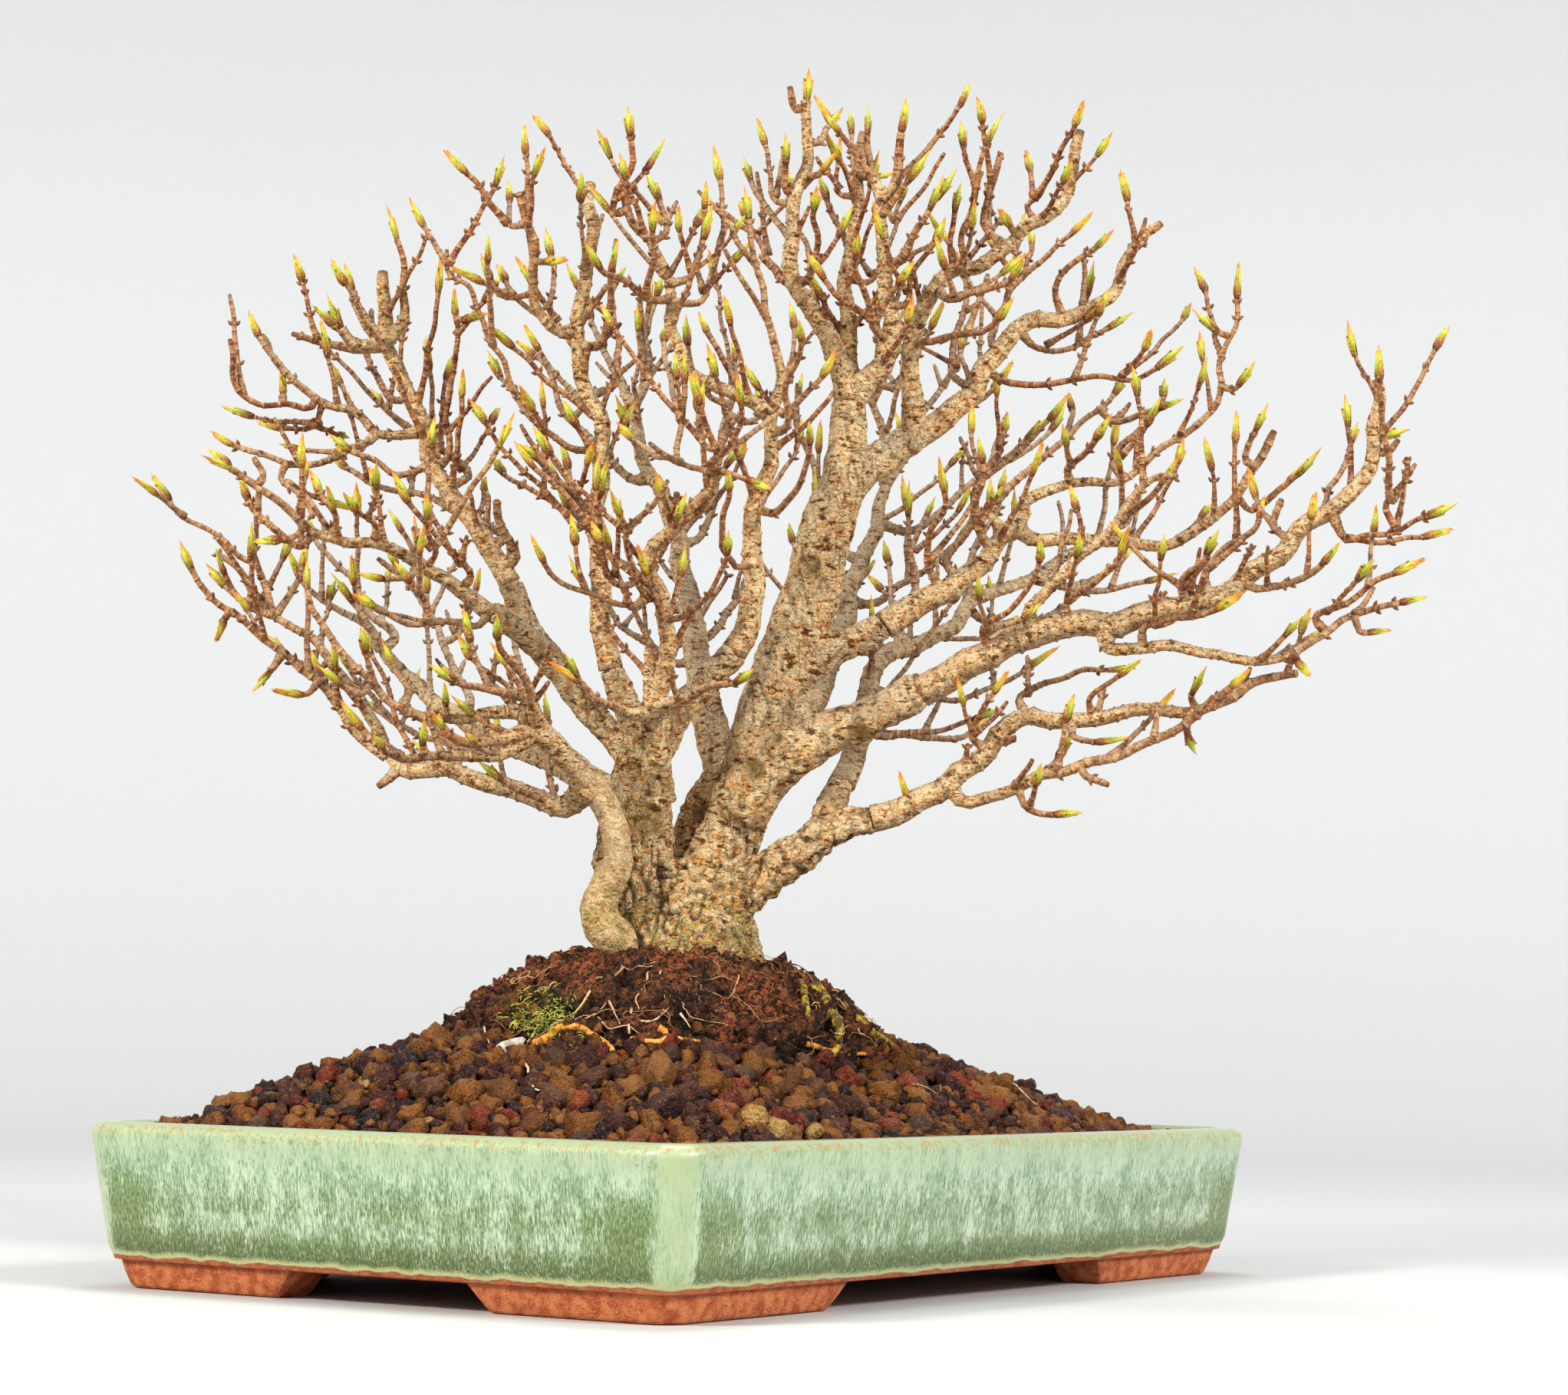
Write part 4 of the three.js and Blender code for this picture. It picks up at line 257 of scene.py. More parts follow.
    "spray_top_right": """
    high high_right 3.7 1.8 -12 cut 58,225 66,232 70,240 76,247 82,252 87,253 94,254.5 100,258 104.5,262.5
      106.5,269 110.5,275 116,279;
    - high 1.3 1.3 -3 cut 108,272 112,274;
    - high 1.4 1.1 12 bud 88,262 94,269 100,273 105,277.5;
    fork high_right 2.8 1.8 30 cut 51,230 50,240 51,250 55,258 60,265 70,267 75,272 80,277 86,281 90,285
      92,291 93,298 94,303.5;
    - fork 1.5 1.1 8 bud 63,275 66,282 67,289 69,300 71,308;
    - fork 1.5 1.3 -7 cut 69,278 70,285 71,290 73,296.5;
    - fork 1.3 1.2 -5 cut 80,283 84,287 87,293.5;
    - fork 1.3 1.1 10 bud 76,277 76,285.5;
    - fork 1.3 1.1 9 bud 60,272 61,280 62,289.5;
    - high 1.5 1.1 -20 bud 82,246 92,246 101,250 107,254.5;
    - high 1.6 1.1 8 bud 76,236 88,236 98,238 110,238 122,245.5;
    - high 1.6 1.1 -44 bud 72,246 74,256 80,266 82,277;
    - high 1.6 1.1 -48 bud 63,236 62,247 65,258 62,268;
    - fork 1.5 1.1 34 bud 60,258 66,259 74,262 80,268;
    - fork 1.5 1.1 34 bud 55,246 62,248 70,250 77,257""",
    "spray_right_high": """
    second right_back 3.4 2 -8 cut 50,175 57,178.5 63.5,182.5 69,187 74,193 79,199 80,204;
    second_out second 1.9 1.1 -8 bud 84.5,206.5 89,208 97.5,210 105,209.5 110,213.5 115.5,218 121,222.5
      127,226.5 130,230 131.5,236 131.5,241.5 133,246 135.5,252 136.5,260 137,267.5;
    - second_out 1.2 1.1 -4 bud 131,250.5 130.5,258;
    - second_out 1.3 1.1 7 bud 135,235 138.5,239 141,243.5;
    third second 2.3 1.5 18 cut 82,195 89,194 98,194 109.5,193.5 118.5,194 124,196.5 129,200 133,203.5
      137,208 141,214.5 146,224;
    - third 1.3 1.1 8 bud 139,216 139.5,221 145.5,232;
    - third 1.3 1.2 -8 bud 140.5,203 146.5,207 150,211 153,217.5;
    - third 1.5 1.1 16 bud 104,197 110,203 116,209 119,217;
    second_c second 1.8 1.1 -24 bud 72,200 80,211 90,220 97,227 103,232 107,240;
    - second_c 1.4 1.1 12 bud 103,226 112,229 122,233.5;
    - second 1.5 1.1 18 bud 70,194 68,203 70,213 68,222;
    - second 1.6 1.1 -40 bud 60,188 66,197 68,208 74,218 76,229;
    - second_out 1.5 1.1 -28 bud 104,214 109,222 116,230 118,239;
    - second 1.6 1.1 22 bud 56,186 56,195 60,204 58,214;
    - second_out 1.5 1.1 20 bud 92,213 98,219 100,228""",
    "spray_right": """
    long right 4.3 2 26 cut 62,158 74,165 84,169.5 93,171.5 104,172.5 115,176 124,178 134,181 141,187
      148,191 154,198.5 161,203 167,209 172,215 172.5,221 172,226 174,232 173,238;
    - long 1.3 1.3 4 cut 176,219 179,222.5;
    long_b long 1.5 1.1 12 bud 166,195.5 171,197 177,198 184,201 191,203.5 195,206;
    - long_b 1.3 1.2 7 cut 176,205 179,209.5 181.5,213 181,218.5;
    - long 1.3 1.1 5 bud 174,223 178,228;
    - long 1.3 1.3 -8 cut 146,199 148,206;
    - long 2.4 1.4 -14 cut 82,175 88,182 95,189 102,196 108,204 113,210 121,212.5;
    long_low long 2.4 1.2 14 bud 103,166 113,166.5 123,167 131,165 138,163 144,163 151,165 158,170 165,175
      172,178 180,180 188,182;
    - long_low 1.4 1.1 12 bud 157,175 165,179 172,184 178,187 186,191;
    - long_low 1.2 1.1 -7 bud 169,172 178,176;
    - long_low 1.2 1.1 9 bud 153,163 157,167.5;
    - long 1.5 1.1 22 bud 92,178 99,183 106,190 108,199;
    - long 1.5 1.1 20 bud 122,184 128,190 131,199;
    - long 1.5 1.1 30 bud 70,169 78,176 84,186 86,196;
    - long 1.5 1.1 26 bud 140,183 149,184 158,188 163,196;
    - long 1.5 1.1 -18 bud 128,186 133,193 141,198 143,208;
    - long_low 1.4 1.1 22 bud 112,171 121,174 130,176 137,183""",
    "spray_low_right": """
    low low_right 3.3 1.4 22 cut 46,121 53,124 60,128 66,133 72,138 76,143 82,147.5 90,147 98,147 105,149
      115,150 124,149 130,151 136,153.5 141,157 147,159 153,160.5;
    low_under low 2 1.2 20 bud 66,125 72,126 80,129 86,132 93,134 100,136 108,139 115,142 122,146 130,152
      137,158 141,163.5;
    - low_under 1.3 1.2 5 cut 97,133 103,130;
    - low 1.1 1.1 4 bud 50,129 51,134;
    - low 1.4 1.1 14 bud 68,142 71,150 78,160;
    - low 1.3 1.3 5 cut 75,141 79,142;
    - low 1.3 1.1 10 bud 94,143 101,140.5 108,140;
    - low 1.3 1.1 -8 bud 124,144 131,143.5;
    - low 1.3 1.1 9 bud 125,154 133,158;
    - low 1.5 1.1 -26 bud 80,152 88,157 98,160 111,161;
    - low 1.4 1.1 16 bud 98,152 105,158 112,163;
    - low_under 1.3 1.1 12 bud 82,124 90,122 97,125""",
    "spray_back_right": """
    grey low_right_fork 3.5 2.2 -50 cut 38,138 40,148 41,156 46,163 55,167 62,171 68,178 76,181 84,184;
    - grey 1.7 1.1 -14 bud 92,190 100,194 108,200 112,209;
    - grey 1.6 1.1 4 bud 92,182 101,181 111,183 120,187;
    - grey 1.7 1.1 -34 bud 66,182 68,192 74,202 76,212;
    - grey 1.7 1.1 -40 bud 48,170 52,181 52,193 57,204;
    - grey 1.6 1.1 -30 bud 48,153 58,152 68,153 78,157 87,163;
    - grey 1.5 1.1 -22 bud 70,173 80,172 89,175 96,182;
    - grey 1.6 1.1 -46 bud 42,142 52,142 63,141 72,145""",
    "spray_back": """
    rear back 4 2.2 -36 cut -5,165 -8,180 -13,200 -20,214 -23,227;
    - rear 1.7 1.1 -22 bud -27,236 -33,246 -35,257;
    - rear 1.6 1.1 4 bud -19,236 -20,248 -17,260;
    rear_c rear 1.9 1.2 -34 bud -6,192 -1,204 0,218 4,232 3,246;
    rear_d rear 1.8 1.1 -26 bud -20,208 -30,215 -40,225 -46,237 -54,245;
    - rear 1.8 1.1 -46 bud -12,174 -20,182 -30,190 -39,201 -45,213;
    - rear 1.7 1.1 -52 bud -2,167 4,175 9,186 9,199;
    - rear_c 1.5 1.1 -16 bud 8,224 15,233 19,244 18,256;
    - rear 1.7 1.1 -44 bud -9,160 -17,164 -25,170 -31,179;
    - rear_d 1.4 1.1 -18 bud -36,227 -37,239 -42,249;
    - rear_c 1.5 1.1 10 bud -2,230 -8,240 -9,252""",
    "spray_back_rise": """
    rise back_right 3.9 2.1 -50 cut 30,160 34,171 36,183 41,195 44,208;
    rise_a rise 1.8 1.1 -24 bud 50,217 54,228 61,237 64,248;
    rise_b rise 1.7 1.1 2 bud 43,220 40,232 42,244 39,256;
    - rise 1.8 1.1 -34 bud 33,190 27,201 25,213 20,225 21,237;
    - rise 1.8 1.1 -22 bud 50,196 61,203 71,213 83,219 91,229;
    - rise 1.7 1.1 -38 bud 40,176 49,182 59,189 68,199;
    - rise 1.6 1.1 -40 bud 29,166 24,176 22,187 17,197;
    - rise_a 1.4 1.1 12 bud 56,224 64,228 73,235 77,243;
    - rise_b 1.4 1.1 -20 bud 46,234 52,243 53,254;
    - rise 1.7 1.1 -48 bud 38,164 47,166 58,168 70,168 80,174""",
}


def length_of(vectors: np.ndarray) -> np.ndarray:
    """Lengths of vectors held in the last axis."""
    return np.sqrt((vectors * vectors).sum(-1))


def unit(vectors: np.ndarray) -> np.ndarray:
    """The same vectors, one long."""
    return vectors / np.maximum(length_of(vectors), 1e-9)[..., None]


def turns(count: int) -> np.ndarray:
    """Angles of points that stand evenly round a circle."""
    return np.arange(count) * 2 * math.pi / count


def middle_of(node: str) -> np.ndarray:
    """Middle of a node's footprint in millimetres, at the table's height."""
    low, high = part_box(node)
    return np.array([(low.x + high.x) / 2, (low.y + high.y) / 2, 0.0]) / MM


POT_CENTRE = middle_of("pot")


@dataclass(frozen=True)
class Front:
    """The place in front of the tree that its tables are seen from.

    u runs to the right and v up in the plane through the pot's middle, and w towards the viewer.

    Attributes:
        distance: how far the viewer stands from the pot's middle, in millimetres.
        eye_u: where the middle of the view lies, as u.
        eye_height: the viewer's height above the table.
        turn: how far the pot is turned.
        rise: how far the view looks up.
        roll: how far it leans.
        picture_width: width of the picture in pixels.
        focal_pixels: the lens, in the same pixels.
        sensor: width of the camera's sensor in millimetres.
    """

    distance: float = 1000.0
    eye_u: float = 18.4
    eye_height: float = 67.2
    turn: float = math.radians(33.2)
    rise: float = math.radians(4.81)
    roll: float = math.radians(-1.08)
    picture_width: int = 2044
    focal_pixels: float = 5000.0
    sensor: float = 36.0

    def turned(self, right: float, away: float, up: float) -> np.ndarray:
        """Turns a direction or place as seen (right, away, up) into the pot's frame."""
        sin, cos = math.sin(self.turn), math.cos(self.turn)
        return np.array([right * sin + away * cos, -right * cos + away * sin, up])

    def seen(self, u: float, v: float, w: float) -> np.ndarray:
        """The place in the pot's frame that is seen at u, v and lies w nearer than the pot's middle.

        Args:
            u: how far right it is seen.
            v: how far up it is seen.
            w: how much nearer than the pot's middle it lies.

        Returns:
            The place.
        """
        nearer = (self.distance - w) / self.distance
        right = self.eye_u + nearer * (u - self.eye_u)
        up = self.eye_height + nearer * (v - self.eye_height)
        return self.turned(right, -w, up)

    def shown(self, places: np.ndarray) -> tuple[np.ndarray, np.ndarray, np.ndarray]:
        """Where places in the pot's frame are seen, as u, v and how far each lies beyond the pot's middle.

        Args:
            places: the places, one in each row.

        Returns:
            u, v and the depths.
        """
        sin, cos = math.sin(self.turn), math.cos(self.turn)
        right, away = places[:, 0] * sin - places[:, 1] * cos, places[:, 0] * cos + places[:, 1] * sin
        nearer = (self.distance + away) / self.distance
        v = self.eye_height + (places[:, 2] - self.eye_height) / nearer
        return self.eye_u + (right - self.eye_u) / nearer, v, away


FRONT = Front()


class Draw:
    """Repeatable draws between 0 and 1, the same as those that the solids were grown with."""

    def __init__(self, seed: int) -> None:
        """Starts the draws at a seed."""
        self.state = seed

    def __call__(self) -> float:
        """The next draw.

        Returns:
            A number from 0 to 1.
        """
        mask = 0xFFFFFFFF
        self.state = (self.state + 0x6D2B79F5) & mask
        t = self.state
        t = ((t ^ (t >> 15)) * (t | 1)) & mask
        t = (t + ((t ^ (t >> 7)) * (t | 61) & mask)) & mask ^ t
        return ((t ^ (t >> 14)) & mask) / 4294967296


@dataclass
class Limb:
    """One limb or twig, from foot to tip.

    Attributes:
        node: the spray or trunk that it belongs to.
        places: its stations in the pot's frame, in millimetres.
        radii: its radius at each station.
        tip: how it ends.
        cover: radius of the wood that hides its foot.
        spots: u, v, w and radius of each station, empty for a twig.
        follows: whether it goes on from the end of its parent.
    """

    node: str
    places: np.ndarray
    radii: np.ndarray
    tip: Tip
    cover: float
    spots: np.ndarray
    follows: bool = False

    def outside(self, points: np.ndarray) -> np.ndarray:
        """How far points lie outside the limb's own skin.

        Args:
            points: the points, one in each row.

        Returns:
            Their distances from it, below 0 inside.
        """
        least = np.full(len(points), np.inf)
        for k, (start, step) in enumerate(zip(self.places, np.diff(self.places, axis=0))):
            share = np.clip((points - start) @ step / max(step @ step, 1e-9), 0, 1)
            radius = self.radii[k] + (self.radii[k + 1] - self.radii[k]) * share
            least = np.minimum(least, length_of(points - start - share[:, None] * step) - radius)
        return least


@dataclass(frozen=True)
class TwigHabit:
    """How twigs come off the limbs, in opposite pairs, each pair turned a quarter from the last.

    Attributes:
        seed: seed of the draws.
        spacing: distance from pair to pair, in millimetres.
        wander: how far a pair may stray from its place.
        first: where the first pair stands, as a share of the limb.
        clear_of_foot: least distance from the foot to the first pair.
        clear_of_tip: bare length below the tip or its bud.
        shortest: length of the shortest twig.
        longest: length of the longest.
        radius: a twig's radius.
        chance: what share of the twigs grows.
        buds: what share of them has a bud.
        forward: how much a twig heads along its limb.
        outward: how much it heads away from it.
        upward: how much it heads up.
        curl: how far it curls up, as a share of its length.
        steepest_drop: how steeply down a twig may start.
        shares: where its stations lie, as shares of its length.
    """

    seed: int = 7
    spacing: float = 13.0
    wander: float = 3.0
    first: float = 0.22
    clear_of_foot: float = 7.0
    clear_of_tip: float = 3.0
    shortest: float = 5.0
    longest: float = 27.0
    radius: float = 1.15
    chance: float = 0.56
    buds: float = 0.65
    forward: float = 0.6
    outward: float = 0.8
    upward: float = 0.3
    curl: float = 0.22
    steepest_drop: float = -0.45
    shares: tuple[float, ...] = (0, 0.3, 0.65, 1)


@dataclass(frozen=True)
class BudShape:
    """Length and largest radius of an opening bud, in millimetres."""

    length: float = 10.5
    radius: float = 1.5


TWIG = TwigHabit()
BUD_SHAPE = BudShape()


def approach(start: np.ndarray, end: np.ndarray, starts: np.ndarray, ends: np.ndarray) -> np.ndarray:
    """Closest approach of one straight stretch to each of many.

    Args:
        start: where the one stretch starts.
        end: where it ends.
        starts: where the others start, one in each row.
        ends: where they end.

    Returns:
        The distances.
    """
    p, q, r = end - start, ends - starts, start - starts
    pp, qq, pq = p @ p, (q * q).sum(1), q @ p
    pr, qr = r @ p, (q * r).sum(1)
    span = pp * qq - pq * pq
    s = np.where(span > 1e-9, np.clip((pq * qr - pr * qq) / np.where(span > 1e-9, span, 1), 0, 1), 0)
    t = np.clip((pq * s + qr) / qq, 0, 1)
    s = np.clip((pq * t - pr) / pp, 0, 1)
    return length_of(r + p * s[:, None] - q * t[:, None])


class Tree:
    """All limbs and twigs, grown by the same rules as the solids, so that each keeps its place.

    Attributes:
        clearance: gap that wood keeps to the wood of another spray, in millimetres.
        own_fork: how far from its foot a limb may touch its own spray.
        foot_cover: how much of a limb past its parent's skin isn't counted as crossing it.
        near_end: how near a parent's tip a limb counts as going on from it.
        worth_bending: how much clearer a bend has to be to be chosen.
        bends: shifts in depth that are tried in turn.
    """

    clearance = 0.8
    own_fork = 22.0
    foot_cover = 5.0
    near_end = 2.0
    worth_bending = 0.05
    bends = (0, 4, -4, 8, -8, 12, -12, 17, -17, 23, -23)

    def __init__(self) -> None:
        """Grows the limbs of the tables and then the twigs."""
        self.limbs: dict[str, Limb] = {}
        self.starts = np.empty((0, 3))
        self.ends = np.empty((0, 3))
        self.thick = np.empty(0)
        self.nodes = np.empty(0, dtype=object)
        for row in TRUNK.split(";"):
            name, *stations = row.split()
            spots = np.array([station.split(",") for station in stations], float)
            places = np.array([FRONT.seen(*spot[:3]) for spot in spots])
            self.add(name, Limb("trunk", places, spots[:, 3], Tip.CUT, 0.0, spots))
        for node, rows in SPRAYS.items():
            for row in rows.split(";"):
                name, parent, thick, thin, depth, tip, *seen = row.split()
                places = np.array([spot.split(",") for spot in seen], float)
                name = name.replace("-", f"{node}_{len(self.limbs)}")
                self.grow_limb(node, name, parent, float(thick), float(thin), float(depth), Tip(tip), places)
        self.grow_twigs()

    def of(self, node: str) -> list[Limb]:
        """The limbs and twigs of one node."""
        return [limb for limb in self.limbs.values() if limb.node == node]

    def add(self, name: str, limb: Limb) -> None:
        """Keeps a limb, with the straight stretches that it takes up.

        Args:
            name: its name.
            limb: the limb.
        """
        self.limbs[name] = limb
        real = length_of(np.diff(limb.places, axis=0)) > 0
        self.starts = np.vstack([self.starts, limb.places[:-1][real]])
        self.ends = np.vstack([self.ends, limb.places[1:][real]])
        self.thick = np.append(self.thick, np.maximum(limb.radii[:-1], limb.radii[1:])[real])
        self.nodes = np.append(self.nodes, [limb.node] * int(real.sum()))

    def crowding(self, places: np.ndarray, radii: np.ndarray, node: str, foot: float) -> float:
        """How deep new wood would cut into other wood past its foot, 0 when it is clear.

        Args:
            places: stations of the new wood.
            radii: its radius at each.
            node: the node that it belongs to.
            foot: length at its foot that isn't counted.

        Returns:
            The depth of the deepest cut.
        """
        own = self.nodes == node
        counted = ~(own & (length_of(self.starts - places[0]) < self.own_fork))
        room = self.thick + np.where(own, 0, self.clearance)
        worst, run = 0.0, 0.0
        for k in range(len(places) - 1):
            start, end = places[k], places[k + 1]
            length = float(length_of(end - start))
            if foot - run >= length:
                run += length
                continue
            hidden = max((foot - run) / length, 0.0)
            run += length
            start = start + (end - start) * hidden
            gaps = approach(start, end, self.starts, self.ends)
            cut = (room + max(radii[k], radii[k + 1]) - gaps)[counted]
            worst = max(worst, float(cut.max(initial=0.0)))
        return worst

    @staticmethod
    def foot_on(parent: np.ndarray, u: float, v: float) -> np.ndarray:
        """The point [u, v, w, radius] on a parent's middle line nearest to a place, as seen from the front.

        Args:
            parent: stations of the parent, as u, v, w and radius.
            u: the place's u.
            v: the place's v.

        Returns:
            The point.
        """
        start, along = parent[:-1], np.diff(parent, axis=0)
        square = np.maximum(along[:, 0] ** 2 + along[:, 1] ** 2, 1e-9)
        share = ((u - start[:, 0]) * along[:, 0] + (v - start[:, 1]) * along[:, 1]) / square
        points = start + np.clip(share, 0, 1)[:, None] * along
        return points[np.hypot(points[:, 0] - u, points[:, 1] - v).argmin()]

    def grow_limb(self, node: str, name: str, parent: str, foot_radius: float, tip_radius: float,
                  depth: float, tip: Tip, seen: np.ndarray) -> None:
        """Sets one limb of the tables, bent away in depth where it would cross other wood.

        Args:
            node: the spray that it belongs to.
            name: its name.
            parent: name of the limb that it grows from.
            foot_radius: its radius at the foot.
            tip_radius: its radius at the tip.
            depth: how much nearer its tip is than its foot.
            tip: how it ends.
            seen: u and v of its stations after the foot.
        """
        foot = self.foot_on(self.limbs[parent].spots, *seen[0])
        flat = np.array([foot[:2], *seen])
        run = np.append(0, np.cumsum(length_of(np.diff(flat, axis=0))))
        share = run / run[-1]
        radii = foot_radius + (tip_radius - foot_radius) * share
        best = None
        for bend in self.bends:
            w = foot[2] + depth * share + bend * np.minimum(1, 3 * share)
            places = np.array([FRONT.seen(*spot) for spot in np.column_stack([flat, w])])
            crowding = self.crowding(places, radii, node, foot[3] + self.foot_cover)
            if best is None or crowding < best[0] - self.worth_bending:
                best = (crowding, places, np.column_stack([flat, w, radii]))
            if crowding == 0:
                break
        follows = bool(length_of(foot[:3] - self.limbs[parent].spots[-1, :3]) < self.near_end)
        self.add(name, Limb(node, best[1], radii, tip, foot[3], best[2], follows))

    def grow_twigs(self) -> None:
        """Grows short twigs on every limb of the sprays, curving up to the light."""
        draw = Draw(TWIG.seed)
        for limb in [limb for limb in self.limbs.values() if limb.node != "trunk"]:
            steps = np.diff(limb.places, axis=0)
            lengths = length_of(steps)
            run = np.append(0, np.cumsum(lengths))
            end = run[-1] - TWIG.clear_of_tip - (BUD_SHAPE.length if limb.tip is Tip.BUD else 0)
            distance, joint = max(run[-1] * TWIG.first, TWIG.clear_of_foot), 0
            while distance < end:
                place = distance + TWIG.wander * (draw() - 0.5)
                k = min(int(np.searchsorted(run[1:], place)), len(lengths) - 1)
                share = min(max((place - run[k]) / lengths[k], 0), 1)
                at = limb.places[k] + steps[k] * share
                radius = limb.radii[k] + (limb.radii[k + 1] - limb.radii[k]) * share
                along = steps[k] / lengths[k]
                level = unit(np.cross(along, UP))
                upright = np.cross(level, along)
                joint += 1
                for hand in (1, -1):
                    self.try_twig(limb, draw, at, radius, along, (level, upright), joint, hand)
                distance += TWIG.spacing

    def try_twig(self, limb: Limb, draw: Draw, at: np.ndarray, radius: float, along: np.ndarray,
                 ways: tuple[np.ndarray, np.ndarray], joint: int, hand: int) -> None:
        """Draws one twig of a pair and keeps it where it is clear of other wood.

        Args:
            limb: the limb that it grows from.
            draw: the draws.
            at: where it starts.
            radius: the limb's radius there.
            along: the limb's direction there.
            ways: two directions across the limb.
            joint: number of the pair.
            hand: 1 for the first of the pair, -1 for the second.
        """
        chance, reach, lean = draw(), draw(), draw() - 0.5
        budded = draw() < TWIG.buds
        level, upright = ways
        side = hand * (level if joint % 2 else upright) + lean * (upright if joint % 2 else level)
        if chance > TWIG.chance or side[2] < TWIG.steepest_drop:
            return
        length = TWIG.shortest + (TWIG.longest - TWIG.shortest) * reach * reach
        heading = unit(along * TWIG.forward + side * TWIG.outward + UP * TWIG.upward)
        full = radius + length + (BUD_SHAPE.length if budded else 0)
        shares = np.array(TWIG.shares)[:, None]
        places = at + heading * full * shares + UP * TWIG.curl * full * shares * shares
        radii = np.full(len(places), TWIG.radius)
        if self.crowding(places, radii, limb.node, radius + 2) > 0:
            return
        tip = Tip.BUD if budded else Tip.CUT
        self.add(f"twig_{len(self.limbs)}", Limb(limb.node, places, radii, tip, radius, np.empty((0, 4))))


def stood(name: str, data: bpy.types.ID) -> bpy.types.Object:
    """Puts a new object into the scene.

    Args:
        name: its name.
        data: its mesh, lamp or lens.

    Returns:
        The object.
    """
    thing = bpy.data.objects.new(name, data)
    bpy.context.scene.collection.objects.link(thing)
    return thing


def modified(*pieces: bpy.types.Object) -> bpy.types.Mesh:
    """Applies a piece's modifiers.

    Args:
        pieces: the piece, and then those that its modifiers use. All of them are removed.

    Returns:
        The mesh, in metres in the row's frame.
    """
    mesh = bpy.data.meshes.new_from_object(pieces[0].evaluated_get(bpy.context.evaluated_depsgraph_get()))
    for piece in pieces:
        bpy.data.objects.remove(piece)
    return mesh


def read(mesh: bpy.types.Mesh, name: str) -> np.ndarray:
    """Reads a value of three parts from a mesh's points.

    Args:
        mesh: the mesh.
        name: "co" for the places or "normal" for the ways that they face.

    Returns:
        The values, one in each row.
    """
    values = np.empty(len(mesh.vertices) * 3)
    mesh.vertices.foreach_get(name, values)
    return values.reshape(-1, 3)


class Shell:
    """Gathers one mesh: points in the pot's frame in millimetres, faces, and named values at the points."""

    def __init__(self) -> None:
        """Starts an empty mesh."""
        self.points: list[np.ndarray] = []
        self.faces: dict[int, list[np.ndarray]] = {3: [], 4: []}
        self.values: dict[str, list[np.ndarray]] = {}
        self.count = 0

    def add(self, points: np.ndarray, *faces: np.ndarray, **values: np.ndarray | float) -> None:
        """Adds points with their faces.

        Args:
            points: places, one in each row.
            faces: arrays of triangles or quads, which count from these points' first.
            values: a number or a row of three for each point, or one for all of them.
        """
        self.points.append(points)
        for face in faces:
            self.faces[face.shape[1]].append(face + self.count)
        for name, value in values.items():
            value = np.asarray(value, float)
            full = np.broadcast_to(value, (len(points), 3) if value.ndim == 2 else (len(points),))
            self.values.setdefault(name, []).append(full)
        self.count += len(points)

    def build(self, name: str, material: bpy.types.Material, slot: str, *replaced: str) -> bpy.types.Object:
        """Makes the Blender piece.

        Args:
            name: its name.
            material: its finish.
            slot: the record's material slot; not used.
            replaced: the CAD nodes that it stands for.

        Returns:
            The piece.
        """
        mesh = bpy.data.meshes.new(name)
        mesh.vertices.add(self.count)
        points = (np.concatenate(self.points) + POT_CENTRE) * MM
        mesh.vertices.foreach_set("co", points.astype(np.float32).ravel())
        corners, starts, total = [], [], 0
        for sides, faces in self.faces.items():
            for face in faces:
                corners.append(face.ravel())
                starts.append(total + np.arange(len(face)) * sides)
                total += face.size
        mesh.loops.add(total)
        mesh.loops.foreach_set("vertex_index", np.concatenate(corners).astype(np.int32))
        first = np.concatenate(starts).astype(np.int32)
        mesh.polygons.add(len(first))
        mesh.polygons.foreach_set("loop_start", first)
        mesh.update(calc_edges=True)
        mesh.validate()
        mesh.shade_smooth()
        for key, pieces in self.values.items():
            value = np.concatenate(pieces).astype(np.float32)
            wide = value.ndim == 2
            layer = mesh.attributes.new(key, "FLOAT_VECTOR" if wide else "FLOAT", "POINT")
            layer.data.foreach_set("vector" if wide else "value", value.ravel())
        mesh.materials.append(material)
        piece = stood(name, mesh)
        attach(piece, "root")
        if replaced:
            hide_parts(*replaced)
        log.info("%s: %d triangles", name, sum(len(face.vertices) - 2 for face in mesh.polygons))
        return piece


def grid_faces(rows: int, columns: int, wrapped: bool = True) -> np.ndarray:
    """Quads between the points of a grid, which closes on itself across the columns where wrapped.

    Args:
        rows: how many rows of points.
        columns: how many points each row has.
        wrapped: whether each row closes on itself.

    Returns:
        The quads.
    """
    across = np.arange(columns if wrapped else columns - 1)
    row, column = np.meshgrid(np.arange(rows - 1), across, indexing="ij")
    after = (column + 1) % columns
    quads = [row * columns + column, row * columns + after, (row + 1) * columns + after,
             (row + 1) * columns + column]
    return np.stack(quads, -1).reshape(-1, 4)


def fan_faces(ring: np.ndarray, middle: int, inward: bool = False) -> np.ndarray:
    """Triangles from a ring's points to a point in its middle."""
    after = np.roll(ring, 1 if inward else -1)
    return np.stack([ring, after, np.full(len(ring), middle)], -1)


